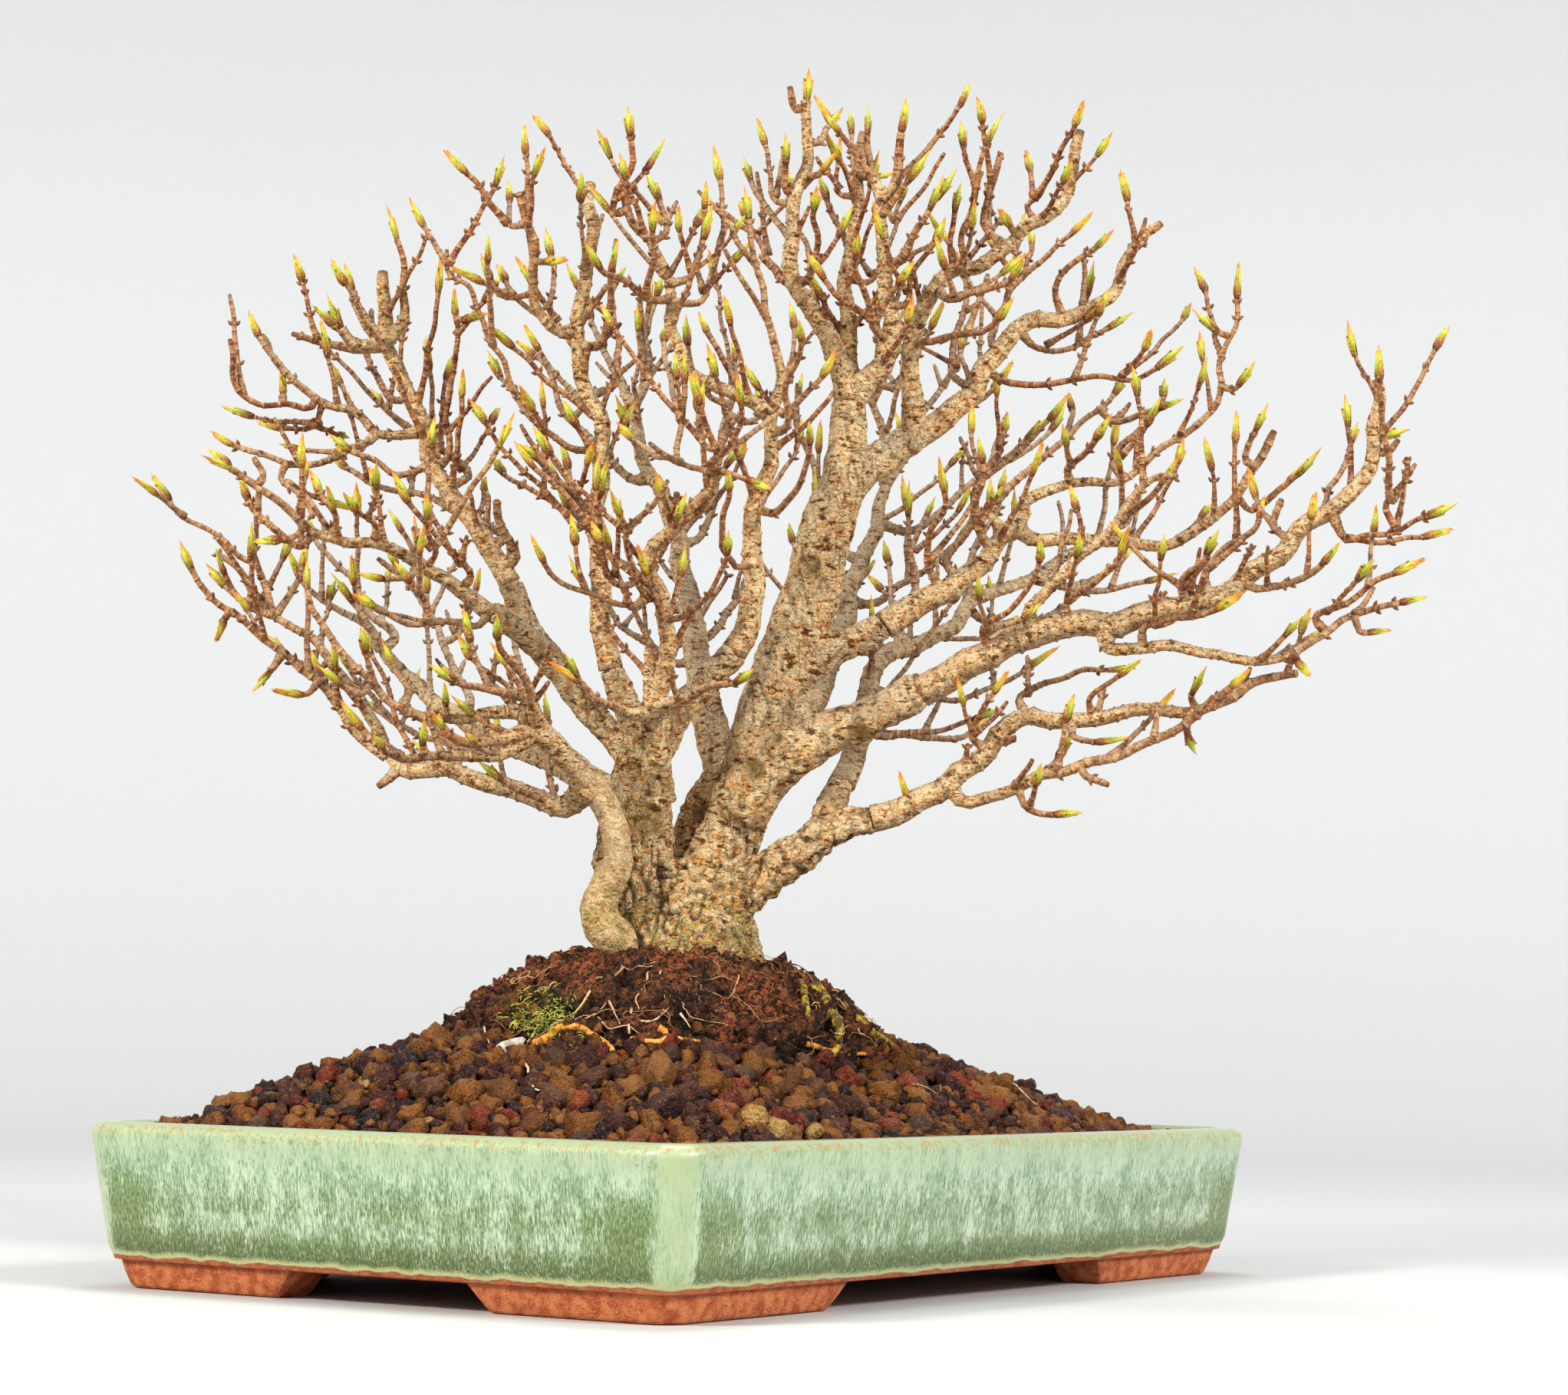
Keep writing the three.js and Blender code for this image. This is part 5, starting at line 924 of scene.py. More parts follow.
class Course:
    """A smooth line through stations, with a radius along it."""

    def __init__(self, places: np.ndarray, radii: np.ndarray) -> None:
        """Takes the stations, and leaves out any that doubles the one before.

        Args:
            places: the stations.
            radii: the radius at each.
        """
        kept = np.append(True, length_of(np.diff(places, axis=0)) > 1e-6)
        self.places, self.radii = places[kept], np.asarray(radii, float)[kept]
        self.run = np.append(0, np.cumsum(length_of(np.diff(self.places, axis=0))))
        self.slopes = np.gradient(self.places, self.run, axis=0)

    @property
    def length(self) -> float:
        """Length from the first station to the last."""
        return float(self.run[-1])

    def at(self, distances: np.ndarray) -> np.ndarray:
        """Places at distances along it.

        Args:
            distances: distances from the first station.

        Returns:
            The places, one in each row.
        """
        k = np.clip(np.searchsorted(self.run, distances, "right") - 1, 0, len(self.run) - 2)
        gap = self.run[k + 1] - self.run[k]
        t = ((distances - self.run[k]) / gap)[:, None]
        gap = gap[:, None]
        return ((1 + 2 * t) * (1 - t) ** 2 * self.places[k] + t * (1 - t) ** 2 * gap * self.slopes[k]
                + t * t * (3 - 2 * t) * self.places[k + 1] - t * t * (1 - t) * gap * self.slopes[k + 1])

    def radius(self, distances: np.ndarray) -> np.ndarray:
        """Radii at distances along it."""
        return np.interp(distances, self.run, self.radii)


def frames_along(places: np.ndarray) -> tuple[np.ndarray, np.ndarray, np.ndarray]:
    """Directions along a line and two ways across it that turn no more than the line does.

    Args:
        places: stations of the line.

    Returns:
        The three directions, with a row for each station.
    """
    along = unit(np.gradient(places, axis=0))
    across = np.empty_like(along)
    side = np.cross(along[0], UP if abs(along[0][2]) < 0.9 else np.array([1.0, 0.0, 0.0]))
    for k, way in enumerate(along):
        side = side - way * (side @ way)
        side = side / max(math.sqrt(side @ side), 1e-9)
        across[k] = side
    return along, across, np.cross(along, across)


def tube(shell: Shell, places: np.ndarray, radii: np.ndarray, sides: int, lumps: float = 0.0, seed: int = 0,
         ends: tuple[float, float] = (0.0, 0.35), **values: np.ndarray | float) -> np.ndarray:
    """Adds a closed tube along a line.

    Args:
        shell: the mesh that it goes into.
        places: the middle line.
        radii: its radius at each place.
        sides: how many points go round it.
        lumps: how far its section is from round, as a share of the radius.
        seed: seed of the lumps.
        ends: how far each end's middle stands out, as a share of the radius.
        values: a number or a row of three for each place, or one for the whole tube.

    Returns:
        The direction along the line at each place.
    """
    along, first, second = frames_along(places)
    turn = turns(sides)
    random = np.random.default_rng(seed)
    phases = random.uniform(0, 6.28, (3, 1, 1))
    rows = np.arange(len(places))[:, None]
    shape = (np.sin(2 * turn + phases[0] + rows * 0.13) + np.sin(3 * turn + phases[1] - rows * 0.21)
             + 0.8 * np.sin(turn + phases[2] + rows * 0.9))[0]
    reach = radii[:, None] * (1 + lumps * 0.5 * shape)
    ring = (places[:, None] + reach[..., None] * (np.cos(turn)[None, :, None] * first[:, None]
                                                  + np.sin(turn)[None, :, None] * second[:, None]))
    tips = np.array([places[0] - along[0] * radii[0] * ends[0], places[-1] + along[-1] * radii[-1] * ends[1]])
    points = np.vstack([ring.reshape(-1, 3), tips])
    last = len(points) - 1
    spread = {}
    for name, value in values.items():
        value = np.asarray(value, float)
        if value.ndim and len(value) == len(places):
            value = np.concatenate([np.repeat(value, sides, axis=0), value[:1], value[-1:]])
        spread[name] = value
    shell.add(points, grid_faces(len(places), sides), fan_faces(np.arange(sides), last - 1, True),
              fan_faces(np.arange(last - 1 - sides, last - 1), last), **spread)
    return along


def clouds(points: np.ndarray, size: float, seed: float = 0.0) -> np.ndarray:
    """Smooth noise between about -1 and 1 at places, with features of a size in millimetres."""
    shifted = points / size + seed
    return np.array([noise.noise(Vector(place)) for place in shifted])


def tone(code: str) -> tuple[float, float, float, float]:
    """Turns a screen colour such as "a0b0c0" into the linear colour that a shader takes.

    Args:
        code: red, green and blue in two hexadecimal digits each.

    Returns:
        The colour, with an alpha of 1.
    """
    parts = [int(code[i:i + 2], 16) / 255 for i in (0, 2, 4)]
    linear = [c / 12.92 if c <= 0.04045 else ((c + 0.055) / 1.055) ** 2.4 for c in parts]
    return (*linear, 1.0)


class Signal:
    """What a socket gives, with Python's operators for its Math nodes."""

    def __init__(self, paint: "Paint", socket: bpy.types.NodeSocket) -> None:
        """Wraps an output socket of the tree that paint fills."""
        self.paint = paint
        self.socket = socket

    def maths(self, operation: str, *values: "Signal | float") -> "Signal":
        """A Math node on this signal and further values."""
        return self.paint.node("ShaderNodeMath", {"operation": operation}, dict(enumerate((self, *values))))

    def __add__(self, other: "Signal | float") -> "Signal":
        """This plus another."""
        return self.maths("ADD", other)

    def __radd__(self, other: float) -> "Signal":
        """A number plus this."""
        return self.maths("ADD", other)

    def __sub__(self, other: "Signal | float") -> "Signal":
        """This less another."""
        return self.maths("SUBTRACT", other)

    def __rsub__(self, other: float) -> "Signal":
        """A number less this."""
        return self.paint.node("ShaderNodeMath", {"operation": "SUBTRACT"}, {0: other, 1: self})

    def __mul__(self, other: "Signal | float") -> "Signal":
        """This times another."""
        return self.maths("MULTIPLY", other)

    def __truediv__(self, other: "Signal | float") -> "Signal":
        """This divided by another."""
        return self.maths("DIVIDE", other)

    def held(self) -> "Signal":
        """This, held between 0 and 1."""
        return self.paint.node("ShaderNodeClamp", {}, {"Value": self})

    def over(self, low: float, high: float) -> "Signal":
        """How far this is on its smooth way from low to high, from 0 to 1.

        Args:
            low: where it is 0.
            high: where it is 1.

        Returns:
            How far it is.
        """
        settings = {"interpolation_type": "SMOOTHSTEP"}
        sockets = {"Value": self, "From Min": low, "From Max": high}
        return self.paint.node("ShaderNodeMapRange", settings, sockets)


Value = Signal | float | tuple
Colour = Signal | str


class Paint:
    """The node tree of one material.

    Attributes:
        relief_gain: how many times its real depth a relief is given, because fine bumps look shallow.
    """

    relief_gain = 14.0

    def __init__(self, name: str) -> None:
        """Starts a material with an empty tree.

        Args:
            name: what the material is called.
        """
        self.material = bpy.data.materials.new(name)
        self.material.use_nodes = True
        self.tree = self.material.node_tree
        self.tree.nodes.clear()
        coordinates = self.node("ShaderNodeTexCoord", {}, {}, "Object")
        moved = self.vectors("SCALE", coordinates, scale=1 / MM)
        self.place = self.vectors("SUBTRACT", moved, tuple(POT_CENTRE))

    def node(self, kind: str, settings: dict, sockets: dict, output: str | int = 0) -> Signal:
        """Adds a node.

        Args:
            kind: Blender's name for its type.
            settings: what is set on it first; "stops" are a ramp's places and colours.
            sockets: its inputs by name or number, each a signal or a value.
            output: the output that is wanted.

        Returns:
            The output's signal.
        """
        made = self.tree.nodes.new(kind)
        for name, value in settings.items():
            if name != "stops":
                setattr(made, name, value)
                continue
            ramp = made.color_ramp.elements
            while len(ramp) < len(value):
                ramp.new(0.5)
            for element, (place, colour) in zip(ramp, value):
                element.position = place
                element.color = colour
        for name, value in sockets.items():
            if isinstance(value, Signal):
                self.tree.links.new(value.socket, made.inputs[name])
            else:
                made.inputs[name].default_value = value
        return Signal(self, made.outputs[output])

    def vectors(self, operation: str, first: Value, second: Value = (0, 0, 0), scale: float = 1.0) -> Signal:
        """A Vector Math node."""
        sockets = {0: first, 1: second} if operation != "SCALE" else {0: first, "Scale": scale}
        return self.node("ShaderNodeVectorMath", {"operation": operation}, sockets)

    def stretched(self, x: float, y: float, z: float) -> Signal:
        """The place with each axis measured in units of its own size in millimetres."""
        return self.vectors("MULTIPLY", self.place, (1 / x, 1 / y, 1 / z))

    def parts(self, vector: Signal) -> tuple[Signal, Signal, Signal]:
        """The three parts of a vector."""
        return tuple(self.node("ShaderNodeSeparateXYZ", {}, {0: vector}, i) for i in range(3))

    def height(self) -> Signal:
        """Height above the table in millimetres."""
        return self.parts(self.place)[2]

    def facing(self) -> Signal:
        """How far up the surface faces, from -1 to 1."""
        return self.parts(self.node("ShaderNodeNewGeometry", {}, {}, "Normal"))[2]

    def drawn_out(self, x: float, y: float, z: float, detail: float, rough: float) -> Signal:
        """Cloudy noise with features of a size of its own along each axis, in millimetres."""
        return self.noise(1.0, self.stretched(x, y, z), detail, rough)

    def joined(self, x: Value, y: Value, z: Value) -> Signal:
        """A vector of three parts."""
        return self.node("ShaderNodeCombineXYZ", {}, {0: x, 1: y, 2: z})

    def bent(self, size: float, amount: float) -> Signal:
        """The place, shifted by noise of a size by up to an amount, both in millimetres.

        Args:
            size: size of the noise.
            amount: the furthest shift.

        Returns:
            The shifted place.
        """
        sockets = {"Vector": self.place, "Scale": 1 / size, "Detail": 3.0}
        shift = self.node("ShaderNodeTexNoise", {}, sockets, 1)
        shift = self.vectors("SUBTRACT", shift, (0.5, 0.5, 0.5))
        return self.vectors("ADD", self.place, self.vectors("SCALE", shift, scale=2 * amount))

    def given(self, name: str, output: str = "Fac") -> Signal:
        """A named value of the mesh."""
        return self.node("ShaderNodeAttribute", {"attribute_name": name}, {}, output)

    def noise(self, size: float = 1.0, vector: Signal | None = None, detail: float = 3.0,
              rough: float = 0.55) -> Signal:
        """Cloudy noise with features of a size in millimetres, or in the vector's own units."""
        sockets = {"Vector": vector or self.place, "Scale": 1 / size, "Detail": detail, "Roughness": rough}
        return self.node("ShaderNodeTexNoise", {}, sockets)

    def cells(self, size: float, feature: str = "F1", output: str = "Distance",
              vector: Signal | None = None) -> Signal:
        """Cells of a size in millimetres: distance from their middles or edges, or their own colour."""
        sockets = {"Vector": vector or self.place, "Scale": 1 / size}
        return self.node("ShaderNodeTexVoronoi", {"feature": feature}, sockets, output)

    def mix(self, share: Value, first: Colour, second: Colour) -> Signal:
        """Mixes two colours.

        Args:
            share: how much of the second there is, from 0 to 1.
            first: a signal or a screen colour.
            second: another.

        Returns:
            The mixture.
        """
        first, second = (tone(one) if isinstance(one, str) else one for one in (first, second))
        return self.node("ShaderNodeMix", {"data_type": "RGBA"}, {0: share, 6: first, 7: second}, 2)

    def layered(self, colour: Colour, *layers: tuple[Value, Colour]) -> Signal:
        """Lays colours over one another.

        Args:
            colour: the lowest.
            layers: how much each of the others covers, from 0 to 1, and its colour.

        Returns:
            What is seen of them.
        """
        for share, over in layers:
            colour = self.mix(share, colour, over)
        return colour

    def ramp(self, value: Signal, stops: tuple[tuple[float, str], ...]) -> Signal:
        """Colours along a scale."""
        colours = [(at, tone(code)) for at, code in stops]
        return self.node("ShaderNodeValToRGB", {"stops": colours}, {0: value})

    def relief(self, height: Signal, depth: float, strength: float = 1.0, on: Signal | None = None) -> Signal:
        """A Bump node on a height, with its depth in millimetres.

        Args:
            height: the height.
            depth: how deep each 1 of the height really is. The gain then multiplies it.
            strength: how much of it shows.
            on: the relief that it lies on, if any.

        Returns:
            The normal.
        """
        sockets = {"Height": height, "Distance": depth * MM * self.relief_gain, "Strength": strength}
        if on:
            sockets["Normal"] = on
        return self.node("ShaderNodeBump", {}, sockets)

    def surface(self, **sockets: Value) -> bpy.types.Material:
        """Ends the tree in a Principled surface and gives the material.

        Args:
            sockets: the surface's inputs by name, with _ for each space.

        Returns:
            The material.
        """
        named = {name.replace("_", " "): value for name, value in sockets.items()}
        shader = self.node("ShaderNodeBsdfPrincipled", {}, named)
        output = self.tree.nodes.new("ShaderNodeOutputMaterial")
        self.tree.links.new(shader.socket, output.inputs["Surface"])
        return self.material


def flakes(paint: Paint, size: float) -> tuple[Signal, Signal, Signal]:
    """Flaking bark: cream, tan and orange scales, wrinkled across, with dark cracks here and there.

    Args:
        paint: the material's tree.
        size: size of the scales in millimetres.

    Returns:
        Its colour, its cracks and its height.
    """
    bent = paint.vectors("MULTIPLY", paint.bent(size * 0.9, size * 0.9), (1.0, 1.0, 1.45))
    own, other, _ = paint.parts(paint.cells(size, output="Color", vector=bent))
    edge = paint.cells(size, "DISTANCE_TO_EDGE", vector=bent)
    plate = paint.drawn_out(size * 1.5, size * 1.5, size * 0.8, 6, 0.64)
    wrinkle = paint.drawn_out(size * 1.1, size * 1.1, size * 0.28, 4, 0.6)
    patch = paint.noise(size * 3, detail=4, rough=0.6)
    tint = own * 0.08 + plate * 0.5 + wrinkle * 0.3 + patch * 0.16
    colour = paint.ramp(tint, [(0.4, "a8622a"), (0.45, "e39e52"), (0.49, "fcd08a"), (0.54, "ffeec6"),
                               (0.61, "f6ba6c")])
    dull = paint.noise(size * 5, detail=4, rough=0.6).over(0.48, 0.62)
    colour = paint.mix(dull * 0.34, colour, "a2703a")
    flecks = paint.noise(size * 0.8, detail=5, rough=0.62).over(0.57, 0.6)
    colour = paint.mix(flecks * 0.75, colour, "d9782f")
    cracks = (1 - edge.over(0.0, 0.1)) * paint.noise(size * 2.3, detail=3).over(0.48, 0.62)
    cracks = (cracks * 0.7 + plate.over(0.425, 0.385) + wrinkle.over(0.405, 0.35) * 0.85).held() * 0.85
    return colour, cracks, edge.over(0.0, 0.2) * 0.2 + other * 0.15 + plate + wrinkle * 0.5


@dataclass(frozen=True)
class PaleFloor:
    """The studio's pale floor, whose far rise glows as a lit backdrop does.

    Attributes:
        colour: its colour.
        glow: colour of the backdrop's own light.
        near: how far from the pot the glow starts, in millimetres.
        far: where it is full.
    """

    colour: str = "c4c5c6"
    glow: str = "808283"
    near: float = 600.0
    far: float = 2300.0

    def material(self) -> bpy.types.Material:
        """Paints it by the distance from the pot.

        Returns:
            The material.
        """
        paint = Paint("pale_floor")
        away = paint.node("ShaderNodeVectorMath", {"operation": "LENGTH"}, {0: paint.place}, "Value")
        glow = paint.mix(away.over(self.near, self.far), "000000", self.glow)
        grain = paint.noise(1.5, detail=2)
        return paint.surface(Base_Color=paint.mix(grain, self.colour, "c7c8c9"), Roughness=0.7,
                             Emission_Color=glow, Emission_Strength=1.0,
                             Normal=paint.relief(grain, 0.02, 0.4))


@dataclass(frozen=True)
class Glaze:
    """Celadon glaze that runs down in olive streaks, over bare terracotta feet.

    Attributes:
        foot: height of the feet.
        rim: height of the rim.
        edge: where the glaze ends, above the feet.
        body: how green the streaks are, at heights from the foot (0) to the rim (1).
    """

    foot: float = 6.6
    rim: float = 40.0
    edge: float = 7.9
    body: tuple = ((0.0, 0.92), (0.1, 0.98), (0.2, 0.84), (0.32, 0.5), (0.45, 0.6), (0.58, 0.5), (0.72, 0.34),
                   (0.86, 0.12), (1.0, 0.0))

    def material(self) -> bpy.types.Material:
        """Paints it by height, by streaks and by the distance from the pot's corners.

        Returns:
            The material.
        """
        paint = Paint("celadon_glaze")
        z = paint.height()
        corner = paint.given("corner")
        fine = paint.drawn_out(0.55, 0.55, 3.4, 5, 0.7)
        hair = paint.drawn_out(0.3, 0.3, 1.5, 2, 0.5)
        broad = paint.drawn_out(4.2, 4.2, 13.0, 3, 0.5)
        cloud = paint.noise(13.0, detail=2)
        speck = paint.noise(0.8, detail=2)
        streak = fine * 0.52 + hair * 0.16 + broad * 0.22 + cloud * 0.1
        level = paint.node("ShaderNodeFloatCurve", {}, {"Value": (z - self.foot) / (self.rim - self.foot)})
        curve = level.socket.node.mapping.curves[0]
        for at, height in self.body:
            curve.points.new(at, height)
        near = 1 - corner.over(2.5, 6.5)
        beside = corner.over(4.5, 8.0) * (1 - corner.over(11.0, 26.0)) * (1 - z.over(22.0, 34.0))
        amount = (level + beside * 0.5) * (1 - near * 0.86)
        olive = ((streak - 0.5) * 7.0 + (amount - 0.5) * 1.7 + 0.45).held()
        body = paint.mix(streak.over(0.4, 0.6), "b6c4ac", "7c9a84")
        body = paint.mix(z.over(28.0, 36.5) * 0.6, body, "9caa84")
        green = paint.mix(z.over(9.0, 17.0), "4c5c22", "667840")
        green = paint.mix(z.over(20.0, 31.0), green, "6f8a5c")
        green = paint.mix(hair.over(0.5, 0.64) * 0.65, green, "34461a")
        green = paint.mix(hair.over(0.46, 0.34) * 0.55, green, "9db394")
        colour = paint.mix(olive * 0.95, body, green)
        colour = paint.mix(near * 0.6, colour, "9dab7c")
        foot_line = self.edge + (paint.noise(9.0, detail=2) - 0.5) * 2.4
        above = z - foot_line
        colour = paint.layered(
            colour, (1 - (above + (fine - 0.5) * 1.6).over(0.4, 1.9), "b0ae80"),
            (z.over(36.2, 38.6) * 0.7, "a9b492"))
        rust = (z + (speck - 0.5) * 3.4).over(37.2, 38.2) * (1 - z.over(39.0, 39.7))
        rust = rust * paint.noise(1.6, detail=4).over(0.5, 0.62)
        colour = paint.layered(
            colour, (rust * 0.65, "a8823f"), (paint.noise(1.5, detail=1).over(0.74, 0.79) * 0.6, "667a35"))
        clay = paint.mix(paint.noise(3.0, detail=5).over(0.35, 0.65), "b25a33", "dd8a58")
        clay = paint.mix(paint.noise(0.5, detail=2).over(0.58, 0.7) * 0.7, clay, "e0aa80")
        clay = paint.mix(z.over(4.5, 7.0) * 0.45, clay, "93452a")
        glazed = above.over(-0.25, 0.25)
        colour = paint.mix(glazed, clay, colour)
        height = fine * 0.5 + cloud * 1.5 + glazed * 1.4
        normal = paint.relief(height, 0.03, 0.6)
        grit = paint.relief(paint.noise(0.45, detail=4), 0.1, 0.8, normal)
        mixed = paint.node("ShaderNodeMix", {"data_type": "VECTOR"}, {0: glazed, 4: grit, 5: normal}, 1)
        return paint.surface(Base_Color=colour, Roughness=0.8 - glazed * (0.62 - speck * 0.12),
                             Coat_Weight=glazed * 0.4, Coat_Roughness=0.1, Normal=mixed)


@dataclass(frozen=True)
class Bark:
    """Old bark of the trunk and thick limbs: cream and tan flakes, orange where one fell, pale grey on the
    upward faces that is partly grey bark and partly painted light, painted shade on the undersides and in the
    creases, algae.

    Attributes:
        algae_from: height where the algae are thickest.
        algae_to: height where they end.
    """

    algae_from: float = 88.0
    algae_to: float = 112.0

    def material(self) -> bpy.types.Material:
        """Paints it by flakes and by height, with painted light on the upward faces and painted shade on the
        downward faces and in the creases.

        Returns:
            The material.
        """
        paint = Paint("old_bark")
        z = paint.height()
        facing = paint.facing()
        hollow, wound = paint.given("hollow"), paint.given("wound")
        patch = paint.noise(7.0, detail=3)
        crumb = paint.noise(0.6, detail=3, rough=0.6)
        colour, cracks, height = flakes(paint, 2.2)
        # Pale grey on the upward faces, more of it higher up, and in patches: partly grey bark, partly
        # painted light on the tops.
        high = z.over(112.0, 170.0)
        grey = facing.over(-0.3, 0.8) * (0.15 + high * 0.6) + patch.over(0.52, 0.4) * 0.3
        colour = paint.mix(grey.held() * 0.5, colour, "e4d8c0")
        pale = paint.given("smooth")
        # The downward faces are painted darker brown: painted shade on the undersides.
        colour = paint.layered(
            colour, (pale * 0.4, "fbd9a8"), (facing.over(-0.1, -0.9) * 0.35, "a86c36"),
            (cracks * (1 - pale * 0.6), "5c3415"))
        algae = (1 - z.over(self.algae_from, self.algae_to)) * paint.noise(3.0, detail=4).over(0.46, 0.53)
        green = paint.mix(crumb.over(0.42, 0.56), "4f4a14", "cdbd4c")
        colour = paint.layered(
            colour, (algae * 0.6, green), (crumb.over(0.58, 0.68) * 0.4, "7a4a20"))
        low = 1 - z.over(96.0, 128.0)
        gaps = paint.noise(1.9, detail=5, rough=0.62)
        rugged = low * (1 - pale * 0.8)
        # The hollow layer is near-black in the furrows and in the crease round the hook: painted shade.
        colour = paint.layered(
            colour, (rugged * gaps.over(0.44, 0.36) * 0.7, "4a2c12"),
            (rugged * gaps.over(0.57, 0.62) * 0.5, "ef9a4e"), (hollow * 0.9, "2c190b"),
            (wound * 0.6, "8f6f35"))
        return paint.surface(Base_Color=colour, Roughness=0.9 - crumb * 0.2,
                             Normal=paint.relief(height + crumb * 0.3, 0.2, 1.0))


@dataclass(frozen=True)
class TwigBark:
    """Bark of the branches and twigs: red-brown with pale ring scars where thin, tan and grey where thick.

    Attributes:
        thin: radius of wood that is all young.
        thick: radius of wood that is all old.
    """

    thin: float = 0.75
    thick: float = 1.8

    def material(self) -> bpy.types.Material:
        """Paints it by girth and by the rings along the wood, with painted light on the upward faces and
        painted shade on the downward faces.

        Returns:
            The material.
        """
        paint = Paint("ringed_bark")
        along, seed, girth = paint.parts(paint.given("grain", "Vector"))
        facing = paint.facing()
        ring, weather, cut = paint.given("ring"), paint.given("weather"), paint.given("cut")
        blotch = paint.noise(2.6, detail=5, rough=0.6)
        wobble = along + (paint.noise(1.2, detail=3) - 0.5) * 1.4
        bands = paint.noise(0.5, paint.joined(wobble, seed * 97, 0.0), 3, 0.6)
        flake = paint.drawn_out(1.1, 1.1, 1.1, 4, 0.65)
        age = (girth.over(self.thin, self.thick) + (seed - 0.5) * 0.5).held()
        young = paint.mix(blotch.over(0.38, 0.62), "7c3520", "c8854a")
        old, cracks, scales = flakes(paint, 1.8)
        colour = paint.mix(age, young, old)
        scars = (bands.over(0.57, 0.64) * 0.45 + ring * 0.7).held()
        colour = paint.layered(
            colour, (scars * (0.7 - age * 0.6), "fadcaa"),
            (bands.over(0.43, 0.37) * (0.6 - age * 0.6), "5a2615"),
            (flake.over(0.45, 0.39) * 0.65, "4c2412"))
        dots = paint.noise(0.45, detail=1).over(0.64, 0.72)
        colour = paint.mix(dots * 0.55, colour, "ecd9b4")
        # Pale grey on the upward faces, on the back sprays and at random: partly grey bark, partly painted
        # light on the tops; the back sprays are painted greyer as they look in shade.
        grey = (facing.over(-0.2, 0.8) * 0.6 + weather * 0.5 + (seed - 0.5) * 0.4) * (0.3 + blotch)
        # The downward faces are painted darker brown: painted shade on the undersides.
        colour = paint.layered(
            colour, (grey.held() * 0.7, "bfb199"), (facing.over(0.0, -0.9) * 0.35, "8c522a"),
            (cracks * age, "5c3415"), (cut * 0.75, "6d4a2c"))
        height = bands * 0.5 + ring * 0.3 + flake * 0.7 + scales * age * 0.5
        return paint.surface(Base_Color=colour, Roughness=0.82 - blotch * 0.25,
                             Normal=paint.relief(height, 0.14, 1.0))


@dataclass(frozen=True)
class BudSkin:
    """Scales of the opening buds: brown-yellow at the base, lime green, and orange at the tips.

    Attributes:
        inner: colours of the inner scales from base to tip, at shares of the bud's length.
        outer: colours of the outer pair.
    """

    inner: tuple = ((0.0, "7d4a1e"), (0.14, "8f8428"), (0.34, "9fa62c"), (0.55, "c2c545"), (0.72, "d9b440"),
                    (0.92, "d98026"))
    outer: tuple = ((0.0, "7a3f1e"), (0.18, "a0601f"), (0.34, "b7922c"), (0.5, "c8a633"), (0.68, "dd8f28"),
                    (0.95, "c4641f"))

    def material(self) -> bpy.types.Material:
        """Paints them by how far up the bud a point lies and on which scale.

        Returns:
            The material.
        """
        paint = Paint("bud_scales")
        share, layer, seed = paint.parts(paint.given("bud", "Vector"))
        streak = paint.noise(0.5, detail=3)
        up = share + (streak - 0.5) * 0.4 + (seed - 0.5) * 0.3
        colour = paint.mix(layer, paint.ramp(up, self.inner), paint.ramp(up, self.outer))
        colour = paint.mix(streak.over(0.56, 0.68) * 0.45, colour, "ece79a")
        return paint.surface(Base_Color=colour, Roughness=0.42, Normal=paint.relief(streak, 0.06, 0.7))


@dataclass(frozen=True)
class Granules:
    """Moist lava, pumice and baked clay, each granule in a colour of its own.

    Attributes:
        kinds: the colour of each kind of granule.
    """

    kinds: tuple = ((0.0, "c47c40"), (0.12, "d08a42"), (0.2, "ae6234"), (0.3, "854a36"), (0.42, "64404a"),
                    (0.5, "4a474e"), (0.58, "864238"), (0.66, "d45c3e"), (0.74, "cc7c3a"), (0.84, "e89c46"),
                    (0.92, "f2b45c"), (1.0, "f7cd84"))

    def material(self) -> bpy.types.Material:
        """Paints each granule by its kind, with pores, grains and wet spots, painted glints on some specks,
        and painted shade in the pits and on its lower part.

        Returns:
            The material.
        """
        paint = Paint("moist_granules")
        kind, shade, wet = paint.parts(paint.given("lot", "Vector"))
        height_up = paint.given("upper")
        speckle = paint.noise(0.85, detail=5, rough=0.68)
        pores = paint.cells(0.8)
        mottle = paint.noise(1.6, detail=3)
        colour = paint.ramp(kind + (mottle - 0.5) * 0.09, self.kinds)
        # Bright specks are partly pale grains and partly painted glints; dark specks and pores are painted
        # shade in the pits, partly dark grain; the lower part of each granule is painted near-black: painted
        # shade under it.
        colour = paint.layered(
            colour, (speckle.over(0.53, 0.64) * 0.6, "f0a862"), (speckle.over(0.46, 0.36) * 0.6, "1f0e08"),
            (pores.over(0.3, 0.1) * 0.45, "1c0d09"), ((shade - 0.6).held() * 0.8, "f0b478"),
            ((0.4 - shade).held() * 1.1, "24140f"),
            ((1 - (height_up + speckle * 0.6).over(-0.4, 0.4)) * 0.85, "150906"))
        pale = kind.over(0.88, 0.91)
        cream = paint.mix(speckle.over(0.4, 0.54), "d6943e", "ffd68c")
        colour = paint.mix(pale * 0.85, colour, cream)
        height = speckle * 1.3 + pores.over(0.0, 0.4) * 0.5
        rough = 0.4 - wet * 0.26 + speckle * 0.2
        return paint.surface(Base_Color=colour, Roughness=rough.held(),
                             Normal=paint.relief(height * (1 - pale * 0.6), 1.4, 1.0))


